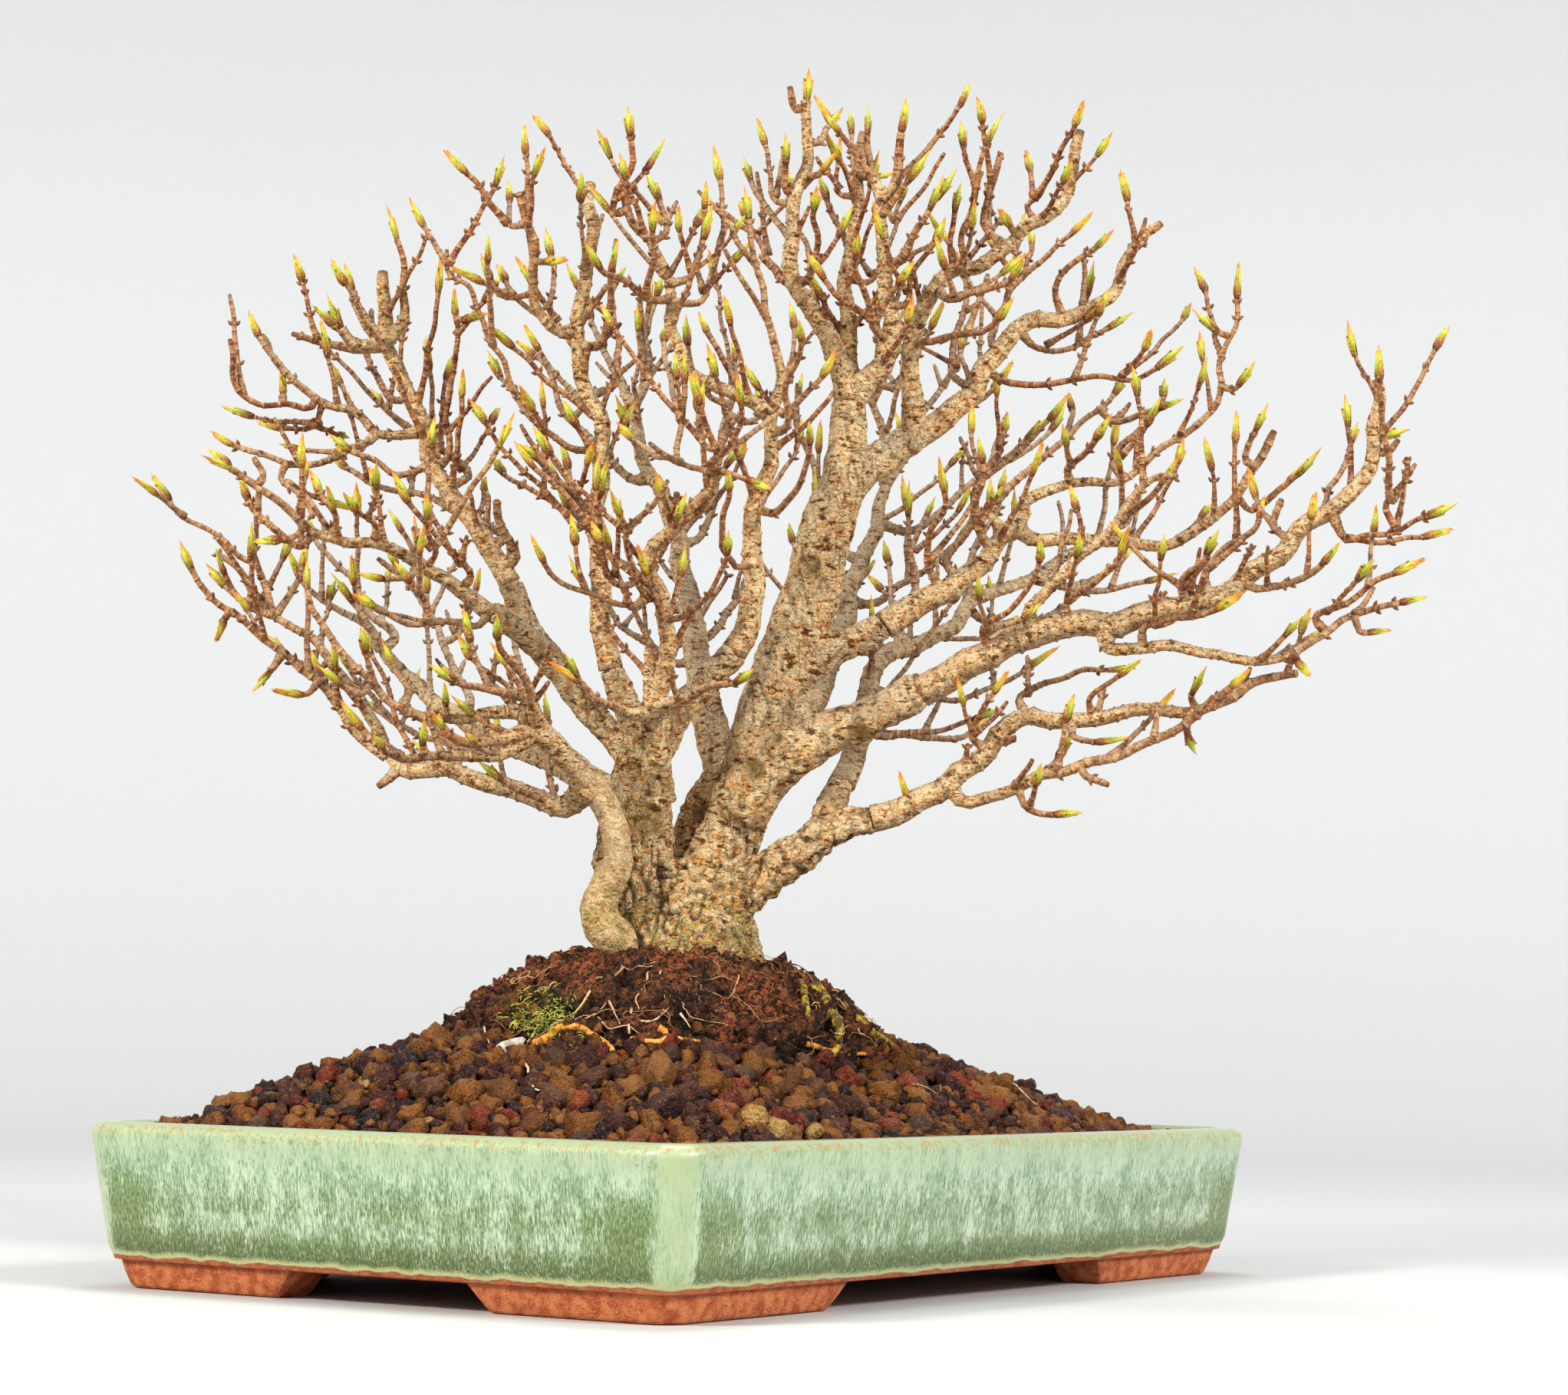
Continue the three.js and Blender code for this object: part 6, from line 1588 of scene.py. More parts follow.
@dataclass(frozen=True)
class OldSoil:
    """The old root ball and the dust between the granules: nearly black, with an orange-brown crust.

    Attributes:
        name: what the material is called.
        crust: how much of it the crust covers.
    """

    name: str = "old_soil"
    crust: float = 1.0

    def material(self) -> bpy.types.Material:
        """Paints it with crumbs and crust, with painted light on the upward-facing crumbs and painted shade
        in the gaps and hollows.

        Returns:
            The material.
        """
        paint = Paint(self.name)
        crumb = paint.noise(1.3, detail=6, rough=0.68)
        patch = paint.noise(10.0, detail=4)
        fleck = paint.drawn_out(1.7, 1.7, 1.0, 5, 0.65).over(0.46, 0.53)
        red, hollow = paint.given("crust"), paint.given("hollow")
        facing = paint.facing()
        colour = paint.mix(crumb.over(0.44, 0.58), "140a06", "74432a")
        # Upward-facing crumbs are painted lighter: painted light on the tops.
        colour = paint.mix(facing.over(0.5, 0.95) * crumb.over(0.47, 0.6) * 0.5, colour, "b87040")
        cover = (patch.over(0.45, 0.6) * 0.25 + red).held() * fleck
        # The last layer is near-black in the gaps between crumbs and in the hollows: painted shade.
        colour = paint.layered(
            colour, (cover * self.crust, "f58a50"),
            (paint.noise(2.2, detail=4).over(0.56, 0.62) * 0.75, "bf7a3c"),
            (paint.noise(0.9, detail=2).over(0.62, 0.67) * 0.8, "efbd78"),
            (paint.given("green") * crumb.over(0.35, 0.6) * 0.8, "857c3c"),
            ((crumb.over(0.45, 0.37) + hollow).held() * 0.88, "0c0604"))
        height = crumb * 1.4 + fleck * 0.3
        return paint.surface(Base_Color=colour, Roughness=0.8 - patch * 0.35 + crumb * 0.2,
                             Normal=paint.relief(height, 1.0, 1.0))


@dataclass(frozen=True)
class RootSkin:
    """Roots, from pale fine ones to orange thick ones and others under lichen.

    Attributes:
        kinds: the colour of each kind of root.
    """

    kinds: tuple = ((0.0, "4a2c1b"), (0.2, "7d5231"), (0.4, "c39564"), (0.6, "e6d0ad"), (0.78, "e89a2e"),
                    (0.88, "8a6a2c"), (0.96, "a3992f"), (1.0, "7d7a30"))

    def material(self) -> bpy.types.Material:
        """Paints each root by its kind, with rings and stains.

        Returns:
            The material.
        """
        paint = Paint("roots")
        along, kind, _ = paint.parts(paint.given("grain", "Vector"))
        rings = paint.noise(0.7, paint.joined(along, kind * 31, 0.0), 2)
        stain = paint.noise(1.8, detail=4)
        colour = paint.ramp(kind + (stain - 0.5) * 0.2, self.kinds)
        lichen = kind.over(0.82, 0.86)
        patchy = paint.mix(stain.over(0.4, 0.56), "c0a428", "4d4a1c")
        colour = paint.layered(
            colour, (lichen * (1 - kind.over(0.97, 1.0)) * 0.85, patchy),
            (stain.over(0.53, 0.62) * 0.7, "5a3119"), (rings.over(0.6, 0.7) * 0.2, "e9cf9c"))
        return paint.surface(Base_Color=colour, Roughness=0.6, Normal=paint.relief(rings + stain, 0.12, 0.8))


@dataclass(frozen=True)
class Plain:
    """A simple finish with fine grain: moss, the stone chip, plastic and wire.

    Attributes:
        name: what the material is called.
        dark: its darker colour.
        light: its lighter colour.
        size: size of its mottling in millimetres.
        roughness: how matt it is.
        metallic: 1 for metal.
        depth: depth of its relief in millimetres.
    """

    name: str
    dark: str
    light: str
    size: float = 2.0
    roughness: float = 0.7
    metallic: float = 0.0
    depth: float = 0.02

    def material(self) -> bpy.types.Material:
        """Paints it as a mottle of its two colours.

        Returns:
            The material.
        """
        paint = Paint(self.name)
        mottle = paint.noise(self.size, detail=4)
        colour = paint.mix(mottle.over(0.35, 0.65), self.dark, self.light)
        return paint.surface(Base_Color=colour, Roughness=self.roughness + (mottle - 0.5) * 0.2,
                             Metallic=self.metallic, Normal=paint.relief(mottle, self.depth, 0.6))


class Ground:
    """Heights of the heap of granules and of the old root ball, in the pot's frame.

    Attributes:
        half_length: half the length inside the pot's walls.
        half_width: half its width.
        edge: the heap's height at the walls.
        rise: how much higher its top is.
        squareness: how square it is as seen from above.
        shoulder: how much fuller it is on the tree's left.
        shoulder_at: how far to the left that is reached.
        reach: how near the walls it fades.
        ball_u: where the ball's middle lies, as u.
        lengthwise: how long the ball is for its width.
        across: how wide it is.
        profile: distances from the ball's middle, with its height at each.
    """

    half_length = 132.5
    half_width = 82.5
    edge, rise, squareness = 36.8, 43.0, 5
    shoulder, shoulder_at, reach = 8.0, 90.0, 18.0
    ball_u, lengthwise, across = -11.0, 1.06, 0.93
    profile = ((0, 85.5), (22, 84), (35, 80.5), (43, 76), (49.5, 71), (57.5, 65), (61, 54), (62, 30))

    def __init__(self) -> None:
        """Finds the ball's middle."""
        self.ball = FRONT.seen(self.ball_u, 0, 0)
        self.far, self.high = np.array(self.profile, float).T

    def heap(self, x: np.ndarray, y: np.ndarray) -> np.ndarray:
        """Height of the heap: a square-based cone, with a fuller shoulder on the tree's left.

        Args:
            x: places along the pot.
            y: places across it.

        Returns:
            The heights.
        """
        power = self.squareness
        spread = ((abs(x) / self.half_length) ** power + (abs(y) / self.half_width) ** power) ** (1 / power)
        from_wall = np.maximum(0, np.minimum(self.half_length - abs(x), self.half_width - abs(y)))
        leftward = y * math.cos(FRONT.turn) - x * math.sin(FRONT.turn)
        to_left = np.clip(leftward / self.shoulder_at, 0, 1)
        shoulder = self.shoulder * to_left * (1 - np.exp(-from_wall / self.reach))
        return self.edge + self.rise * np.maximum(0, 1 - spread) + shoulder

    def dome(self, x: np.ndarray, y: np.ndarray) -> np.ndarray:
        """Height of the root ball's dome, 0 beyond it."""
        far = np.hypot((x - self.ball[0]) / self.lengthwise, (y - self.ball[1]) / self.across)
        return np.interp(far, self.far, self.high, right=0.0)

    def top(self, x: np.ndarray, y: np.ndarray) -> np.ndarray:
        """Height of whichever is higher."""
        return np.maximum(self.heap(x, y), self.dome(x, y))

    def onto(self, u: float, v: float) -> np.ndarray:
        """The first place on the ball or the heap that the sight line through u, v meets.

        Args:
            u: the line's u.
            v: the line's v.

        Returns:
            The place.
        """
        near = np.linspace(110, -110, 900)
        places = np.array([FRONT.seen(u, v, w) for w in near])
        under = places[:, 2] <= self.top(places[:, 0], places[:, 1])
        return places[int(under.argmax())]


GROUND = Ground()


@dataclass
class Wood:
    """Branches, twigs and opening buds of the sprays.

    Attributes:
        greyed_sprays: nodes whose bark is painted greyer, standing in for the greyer look of the back sprays
            in shade.
        knots: spacing and height of the ring scars on thin and on thick wood, in millimetres and as a share
            of the radius.
        ring_gap: longest stretch between two rings of points.
        sides: points round a twig and round a limb.
        overhang: how far a twig may reach past the solids' box.
        shortest: least length of a limb's own wood.
        seated: how far the wood reaches into its bud.
        slimming: radii of the solids' wood, and what share of each the real wood has.
        dormant_share: what share of the knots has sleeping buds.
        random: draws of everything left to chance.
    """

    greyed_sprays: tuple[str, ...] = ("spray_back", "spray_left_back", "spray_back_right", "spray_back_rise")
    knots: tuple[tuple[float, float], tuple[float, float]] = ((2.9, 0.16), (6.5, 0.09))
    ring_gap: float = 2.2
    sides: tuple[int, int] = (6, 9)
    overhang: float = 1.0
    shortest: float = 2.0
    seated: float = 1.6
    slimming: tuple = ((1.1, 2.2, 3.4), (0.6, 0.78, 0.93))
    dormant_share: float = 0.26
    random: np.random.Generator = field(default_factory=lambda: np.random.default_rng(31))

    def fits(self, places: np.ndarray) -> bool:
        """Whether wood stays within reach of the solids' box.

        Args:
            places: stations of the wood.

        Returns:
            Whether all of them lie within reach.
        """
        row = (places + POT_CENTRE) * MM
        margin = self.overhang * MM
        low, high = (np.array(corner) for corner in CAD_BOX)
        return bool((row > low - margin).all() and (row < high + margin).all())

    def stations(self, length: float, girth: float) -> tuple[np.ndarray, np.ndarray, np.ndarray]:
        """Rings of points along a limb, three at each knot.

        Args:
            length: the limb's length in millimetres.
            girth: its radius.

        Returns:
            Distances along it, the swelling at each as a share of the radius, and 1 at the knots.
        """
        share = min(max((girth - 1.1) / 2.2, 0), 1)
        spacing = self.knots[0][0] * (1 - share) + self.knots[1][0] * share
        height = self.knots[0][1] * (1 - share) + self.knots[1][1] * share
        half = 0.42 + 0.4 * share
        rows = [(0.0, 0.0, 0.0)]
        knot = spacing * self.random.uniform(0.4, 1.0)
        while knot < length - half:
            swell = height * self.random.uniform(0.5, 1.6)
            last = rows[-1][0]
            for fill in np.linspace(last, knot - half, int((knot - half - last) / self.ring_gap) + 2)[1:]:
                rows.append((float(fill), 0.0, 0.0))
            rows += [(knot, swell, 1.0), (knot + half, 0.0, 0.2)]
            knot += max(spacing * self.random.uniform(0.55, 1.45), 2 * half + 0.3)
        tail = length - rows[-1][0]
        if tail > 0.25:
            for fill in np.linspace(rows[-1][0], length, int(tail / self.ring_gap) + 2)[1:]:
                rows.append((float(fill), 0.0, 0.0))
        return tuple(np.array(rows).T)

    def limb(self, shell: Shell, limb: Limb, weather: float) -> tuple[np.ndarray, np.ndarray] | None:
        """Adds one limb's wood.

        Args:
            shell: the spray's mesh.
            limb: the limb.
            weather: how grey its bark is.

        Returns:
            Where its bud sits and which way it grows, or nothing where it has none.
        """
        twig = not len(limb.spots)
        slim = np.interp(limb.radii, self.slimming[0], self.slimming[1])
        radii = limb.radii * slim * self.random.uniform(0.9, 1.12)
        course = Course(limb.places, radii)
        budded = limb.tip is Tip.BUD
        length = max(course.length - (BUD_SHAPE.length - self.seated if budded else 0), self.shortest)
        if twig and not budded:
            length *= self.random.uniform(0.8, 1.0)
        distances, swell, ring = self.stations(length, float(radii.mean()))
        places = course.at(distances)
        wander = np.array([[noise.noise(Vector((d / 9, k * 7.3, len(shell.points) * 3.1))) for k in range(3)]
                           for d in distances])
        places = places + wander * (1.1 * np.minimum(1, distances / 12))[:, None]
        beyond = np.maximum(distances - limb.cover, 0)
        reach = course.radius(distances) * (1 + swell + 0.42 * np.exp(-beyond / 1.7) * (not limb.follows))
        if limb.follows:
            reach += (0.97 * limb.cover - reach) * np.exp(-distances / 9)
        if twig:
            reach = reach * np.interp(distances / length, [0, 0.5, 1], [1.14, 1.0, 0.84])
        cut = np.zeros(len(distances))
        if not budded:
            cut[-1] = 1.0
            reach[-1] *= 0.8
        else:
            reach[-1] *= 1.16
        seed = self.random.uniform()
        grain = np.column_stack([distances + seed * 500, np.full(len(distances), seed), reach])
        sides = self.sides[0] if radii.mean() < 1.6 else self.sides[1]
        along = tube(shell, places, reach, sides, 0.2, int(seed * 1e6), (0.0, 0.25), grain=grain, ring=ring,
                     cut=cut, weather=weather)
        if radii.mean() < 1.7:
            self.dormant(shell, places, along, reach, ring, weather, seed)
        return (places[-1], along[-1]) if budded else None

    def dormant(self, shell: Shell, places: np.ndarray, along: np.ndarray, reach: np.ndarray,
                ring: np.ndarray, weather: float, seed: float) -> None:
        """Adds pairs of small sleeping buds at some of the knots.

        Args:
            shell: the spray's mesh.
            places: rings of the limb.
            along: its direction at each.
            reach: its radius at each.
            ring: 1 at the knots.
            weather: how grey its bark is.
            seed: the limb's own shade.
        """
        for k in np.flatnonzero(ring == 1)[1:]:
            if self.random.uniform() > self.dormant_share:
                continue
            way = unit(np.cross(along[k], self.random.normal(size=3)))
            for side in (way, -way):
                foot = places[k] + side * reach[k] * 0.7
                out = unit(side + along[k] * 0.9)
                spine = foot + out * np.array([0, 0.5, 1.0, 1.5])[:, None]
                tube(shell, spine, np.array([0.5, 0.55, 0.4, 0.12]), 5, 0.1, k, (0, 0.4),
                     grain=np.array([[seed * 500, seed, 0.5]]), ring=0.0, cut=0.45, weather=weather)

    def bud(self, shell: Shell, base: np.ndarray, along: np.ndarray) -> None:
        """Adds one opening bud: its core and two crossed pairs of scales.

        Args:
            shell: the spray's mesh of buds.
            base: where the bud sits.
            along: which way the limb ends.
        """
        length = BUD_SHAPE.length * self.random.uniform(0.68, 1.0)
        wide = BUD_SHAPE.radius * self.random.uniform(0.56, 0.8)
        seed = self.random.uniform()
        up = unit(along + UP * 0.12 + self.random.normal(size=3) * 0.06)
        first = unit(np.cross(up, self.random.normal(size=3)))
        second = np.cross(up, first)
        lean = self.random.normal(size=2) * 0.5
        share = np.array([0, 0.12, 0.28, 0.46, 0.66, 0.85, 1.0])
        core = np.array([0.78, 0.86, 0.94, 0.84, 0.56, 0.26, 0.05]) * wide

        def spine(at: np.ndarray) -> np.ndarray:
            """The bud's bent middle line."""
            bend = (at * at)[..., None]
            return base + up * (at * length)[..., None] + bend * (first * lean[0] + second * lean[1])

        shades = np.column_stack([share, np.zeros(7), np.full(7, seed)])
        tube(shell, spine(share), core, 7, 0.05, 0, (0.0, 0.4), bud=shades)
        opened = self.random.uniform(0.2, 1.0)
        for turn in range(4):
            outer = turn % 2
            angle = turn * math.pi / 2 + self.random.uniform(-0.15, 0.15)
            face = first * math.cos(angle) + second * math.sin(angle)
            sideways = np.cross(up, face)
            low = 0.0 if outer else 0.1
            high = self.random.uniform(0.5, 0.66) if outer else self.random.uniform(0.8, 0.97)
            t = np.linspace(0, 1, 5)
            at = low + (high - low) * t
            half = wide * (0.98 if outer else 0.84) * np.array([0.6, 0.95, 0.9, 0.5, 0.04])
            out = np.interp(at, share, core) * np.array([1.0, 1.12, 1.18, 1.26, 1.45])
            out = out + opened * (0.6 if outer else 0.35) * t ** 3 * wide
            middle = spine(at)
            columns = []
            for c in (-1.0, 0.0, 1.0):
                bulge = (out * (1 - 0.4 * c * c))[:, None]
                columns.append(middle + face * bulge + sideways * (half * c)[:, None])
            front = np.stack(columns, 1).reshape(-1, 3)
            inner = front - unit(front.reshape(5, 3, 3) - middle[:, None]).reshape(-1, 3) * 0.2
            faces = grid_faces(5, 3, False)
            edge = np.array([0, 3, 6, 9, 12, 13, 14, 11, 8, 5, 2, 1])
            rim = np.stack([edge, np.roll(edge, -1), np.roll(edge, -1) + 15, edge + 15], -1)
            value = np.column_stack([np.repeat(at, 3), np.full(15, float(outer)), np.full(15, seed)])
            shell.add(np.vstack([front, inner]), faces, faces[:, ::-1] + 15, rim,
                      bud=np.vstack([value, value]))

    def build(self, tree: Tree) -> None:
        """Builds each spray's wood and buds.

        Args:
            tree: the limbs.
        """
        bark, scales = TwigBark().material(), BudSkin().material()
        for node in SPRAYS:
            wood, buds = Shell(), Shell()
            weather = 1.0 if node in self.greyed_sprays else 0.0
            for limb in tree.of(node):
                if not len(limb.spots) and not self.fits(limb.places):
                    continue
                seat = self.limb(wood, limb, weather)
                if seat:
                    self.bud(buds, *seat)
            wood.build(node.replace("spray", "wood"), bark, "twigs", node)
            if buds.count:
                buds.build(node.replace("spray", "buds"), scales, "twigs")


@dataclass
class Trunk:
    """The trunk with its thick limbs, melted together and roughened into old bark.

    Attributes:
        sides: points round each limb before they are melted together.
        voxel: size of the melted surface's cells in millimetres.
        wounds: u, v and radius of each sealed pruning wound, as seen from the front.
        waves: height, size and lengthening of each layer of roughness, in millimetres.
        furrow: depth of the furrows that run up the old wood.
        crease: depth of the crease round the hooked limb.
        softening: how many times the melted surface is smoothed.
        station_gap: distance between the rings of points along each limb.
    """

    sides: int = 22
    voxel: float = 0.77
    wounds: tuple[tuple[float, float, float], ...] = (
        (10, 133, 3.4), (38, 141, 3.0), (-10, 162, 2.4), (-16, 118, 5.0), (26, 187, 2.8), (-15, 131, 1.8),
        (-22, 133, 1.6), (3, 102, 1.8), (2, 91, 1.4), (16, 141, 1.8))
    waves: tuple[tuple[float, float, float], ...] = (
        (1.3, 10.0, 1.2), (0.9, 4.4, 1.3), (0.6, 2.1, 1.0), (0.45, 1.15, 0.8))
    furrow: float = 1.0
    crease: float = 1.5
    softening: int = 5
    station_gap: float = 1.6

    def core(self, tree: Tree) -> bpy.types.Mesh:
        """Melts the limbs of the trunk into one smooth skin, in metres in the row's frame.

        Args:
            tree: the limbs.

        Returns:
            The mesh.
        """
        shell = Shell()
        for k, limb in enumerate(tree.of("trunk")):
            course = Course(limb.places, limb.radii)
            distances = np.linspace(0, course.length, max(int(course.length / self.station_gap), 4))
            tube(shell, course.at(distances), course.radius(distances), self.sides, 0.1, k + 3, (0.0, 0.1))
        rough = shell.build("trunk_core", bpy.data.materials.new("core"), "bark")
        melt = rough.modifiers.new("melt", "REMESH")
        melt.mode = "VOXEL"
        melt.voxel_size = self.voxel * MM
        soft = rough.modifiers.new("soft", "SMOOTH")
        soft.iterations = self.softening
        return modified(rough)

    def build(self, tree: Tree) -> None:
        """Roughens the skin, marks its furrows and creases for painted shade, and makes the piece.

        Args:
            tree: the limbs.
        """
        mesh = self.core(tree)
        points, normals = read(mesh, "co") / MM - POT_CENTRE, read(mesh, "normal")
        corners = np.empty(len(mesh.loops), int)
        mesh.loops.foreach_get("vertex_index", corners)
        bpy.data.meshes.remove(mesh)
        push = np.zeros(len(points))
        for k, (height, size, longer) in enumerate(self.waves):
            push += height * clouds(points * (1, 1, 1 / longer), size, k * 17.3)
        folds = np.minimum(abs(clouds(points * (1, 1, 0.36), 3.4, 71.0)) / 0.16, 1)
        hooked = tree.limbs["hook"]
        hook = hooked.outside(points)
        rest = np.min([limb.outside(points) for limb in tree.of("trunk") if limb is not hooked], axis=0)
        groove = np.exp(-(hook / 1.3) ** 2 - (rest / 1.3) ** 2)
        push *= np.where(hook < rest, 0.5, 1) * np.clip((160 - points[:, 2]) / 50, 0.5, 1)
        push -= self.furrow * (1 - folds) * np.clip((130 - points[:, 2]) / 20, 0.25, 1) * (hook > rest)
        push -= self.crease * groove
        # Painted shade: the furrows and the crease round the hook are set to be painted darker.
        deep = np.maximum((1 - folds) * 0.8 * (hook > rest), groove * 1.2)
        hollow = np.clip(deep - push * 0.35 - 0.25, 0, 1)
        wound = np.zeros(len(points))
        u, v, away = FRONT.shown(points)
        for at_u, at_v, radius in self.wounds:
            near = np.hypot(u - at_u, v - at_v) < 1.5
            if not near.any():
                continue
            middle = points[near][away[near].argmin()]
            far = length_of(points - middle)
            inside = 1 / (1 + np.exp((far - radius) / 0.25))
            push = push * (1 - inside * 0.8) + 1.1 * np.exp(-((far - radius) / 0.9) ** 2) - 0.35 * inside
            wound = np.maximum(wound, inside)
        shell = Shell()
        smooth = 1 / (1 + np.exp((hook - np.minimum(rest, 2)) / 0.3)) * (points[:, 2] < 130)
        shell.add(points + normals * push[:, None], corners.reshape(-1, 4),
                  hollow=hollow, wound=wound, smooth=smooth)
        shell.build("trunk_bark", Bark().material(), "bark", "trunk")


@dataclass
class RootBall:
    """The old root ball with its roots, its moss and a chip of stone.

    Attributes:
        rows: rings of points up the dome.
        columns: points round it.
        fine: how many fine roots lie on it.
        stray: how many lie on the heap.
        strands: how many strands the moss has.
        thick: stations u, v of the thick roots, with their radii at both ends and their colour.
        patches: u, v and reach of the patches of orange crust.
        waves: height, size and seed of each layer of roughness, in millimetres.
        crease: depth of the creases between the crumbs.
        random: draws of everything left to chance.
    """

    rows: int = 100
    columns: int = 210
    fine: int = 130
    stray: int = 16
    strands: int = 300
    thick: tuple = (
        ([(-44.6, 59.6), (-41, 62), (-38, 63.9), (-32.4, 63.8), (-28, 61.4), (-24.6, 58.4)], 1.2, 0.9, 0.78),
        ([(-20, 61.6), (-16, 61), (-12.4, 60.8), (-9.4, 61.8)], 0.6, 0.8, 0.76),
        ([(-12.5, 64.6), (-10.8, 63.6), (-10.4, 62.2)], 1.1, 0.8, 0.78),
        ([(-9, 61.6), (-2.4, 61.4), (2, 60)], 0.6, 0.4, 0.74),
        ([(27.5, 76), (30.4, 73), (31.8, 70), (33.6, 66), (34.2, 62.5), (33, 58)], 1.9, 0.9, 0.88),
        ([(35, 71), (38, 68.4), (41.4, 65.6), (45, 62.6), (48, 61)], 1.3, 0.9, 0.95),
        ([(24, 77), (25.5, 72), (27, 67)], 1.2, 0.8, 0.86),
        ([(26, 61), (30, 60), (36, 58.6), (42, 58.8)], 0.7, 0.4, 0.8),
        ([(-30, 74.2), (-31.4, 71.6), (-34, 68.6), (-35.4, 64.4)], 0.36, 0.12, 0.5),
        ([(-19.8, 69.2), (-20.7, 66), (-20.2, 62.6)], 0.36, 0.28, 0.62),
        ([(-18.6, 66.8), (-15, 66), (-12, 67.6), (-9.8, 70)], 0.3, 0.12, 0.56),
        ([(-15.6, 79), (-16.4, 75), (-18.8, 72.4), (-18, 69)], 0.32, 0.14, 0.48),
        ([(-25.4, 71.4), (-24.2, 68.6), (-22.6, 65.2)], 0.28, 0.12, 0.5),
        ([(-7, 68.4), (-5.6, 67), (-4.4, 65)], 0.3, 0.12, 0.6),
        ([(-46.8, 55), (-45.4, 50.6), (-43, 48), (-37, 48.8)], 0.34, 0.14, 0.6),
        ([(-46.4, 60.4), (-44, 63), (-40.8, 66.2)], 0.3, 0.12, 0.58),
        ([(-58, 63.8), (-57, 62), (-56.2, 60)], 0.3, 0.14, 0.62),
        ([(-38, 66.4), (-33, 66), (-28.6, 68.6), (-26.4, 71)], 0.26, 0.1, 0.5),
        ([(-22, 80), (-25, 77.4), (-30, 77), (-34, 74)], 0.3, 0.12, 0.42),
        ([(-12, 80), (-13, 76), (-11, 72), (-12, 68)], 0.26, 0.1, 0.44),
        ([(-28, 67), (-25, 64), (-21, 65), (-17, 63)], 0.26, 0.12, 0.5),
    )
    patches: tuple[tuple[float, float, float], ...] = (
        (9, 72, 8), (16, 76, 5), (-47, 77, 6), (-41, 84, 6), (28, 80, 5), (-30, 80, 4), (-8, 79, 4))
    waves: tuple[tuple[float, float, float], ...] = ((2.6, 8.0, 0.0), (2.8, 3.6, 9.1), (2.2, 1.7, 4.4))
    crease: float = 2.2
    random: np.random.Generator = field(default_factory=lambda: np.random.default_rng(57))

    def surface(self, turn: np.ndarray, run: np.ndarray, lift: np.ndarray | float = 0.0) -> np.ndarray:
        """Places on the dome by the turn round it and the run up its side from 0 to 1, lifted off it.

        Args:
            turn: the turns.
            run: the runs.
            lift: how far each is lifted.

        Returns:
            The places.
        """
        far = np.interp(run, np.linspace(0, 1, len(GROUND.far)), GROUND.far[::-1])
        high = np.interp(run, np.linspace(0, 1, len(GROUND.far)), GROUND.high[::-1])
        flat = np.stack([np.cos(turn) * GROUND.lengthwise, np.sin(turn) * GROUND.across], -1)
        steep = np.clip(far / 62, 0, 1) ** 3
        out = np.concatenate([flat * steep[..., None], (1 - steep * 0.6)[..., None]], -1)
        place = np.concatenate([flat * far[..., None] + GROUND.ball[:2], high[..., None]], -1)
        return place + unit(out) * np.asarray(lift)[..., None]

    def build(self) -> None:
        """Builds the dome, the roots, the moss and the chip."""
        run, turn = np.meshgrid(np.linspace(0, 0.995, self.rows), turns(self.columns), indexing="ij")
        points = self.surface(turn, run).reshape(-1, 3)
        push = sum(height * clouds(points, size, seed) for height, size, seed in self.waves)
        push -= self.crease * (1 - np.minimum(abs(clouds(points, 4.5, 21.0)) / 0.14, 1))
        points = self.surface(turn.ravel(), run.ravel(), push - 0.2)
        u, v, _ = FRONT.shown(points)
        green = np.exp(-((u + 43) / 9) ** 2 - ((v - 67) / 8) ** 2)
        crust = clouds(points, 13.0, 40.0) * 1.8 + 0.1
        for at_u, at_v, reach in self.patches:
            crust += 0.9 * np.exp(-((u - at_u) ** 2 + (v - at_v) ** 2) / reach ** 2)
        shell = Shell()
        # Where the surface sinks in, it is set to be painted darker: painted shade in the hollows.
        shell.add(np.vstack([points, points[-self.columns:].mean(0)]), grid_faces(self.rows, self.columns),
                  fan_faces(np.arange(len(points) - self.columns, len(points)), len(points)),
                  green=np.append(green, 0), crust=np.append(np.clip(crust, 0, 1), 0),
                  hollow=np.append(np.clip(-push / 2.4 - 0.1, 0, 1), 0))
        shell.build("root_ball_old", OldSoil("root_soil").material(), "roots", "root_ball")
        self.roots()
        self.moss()

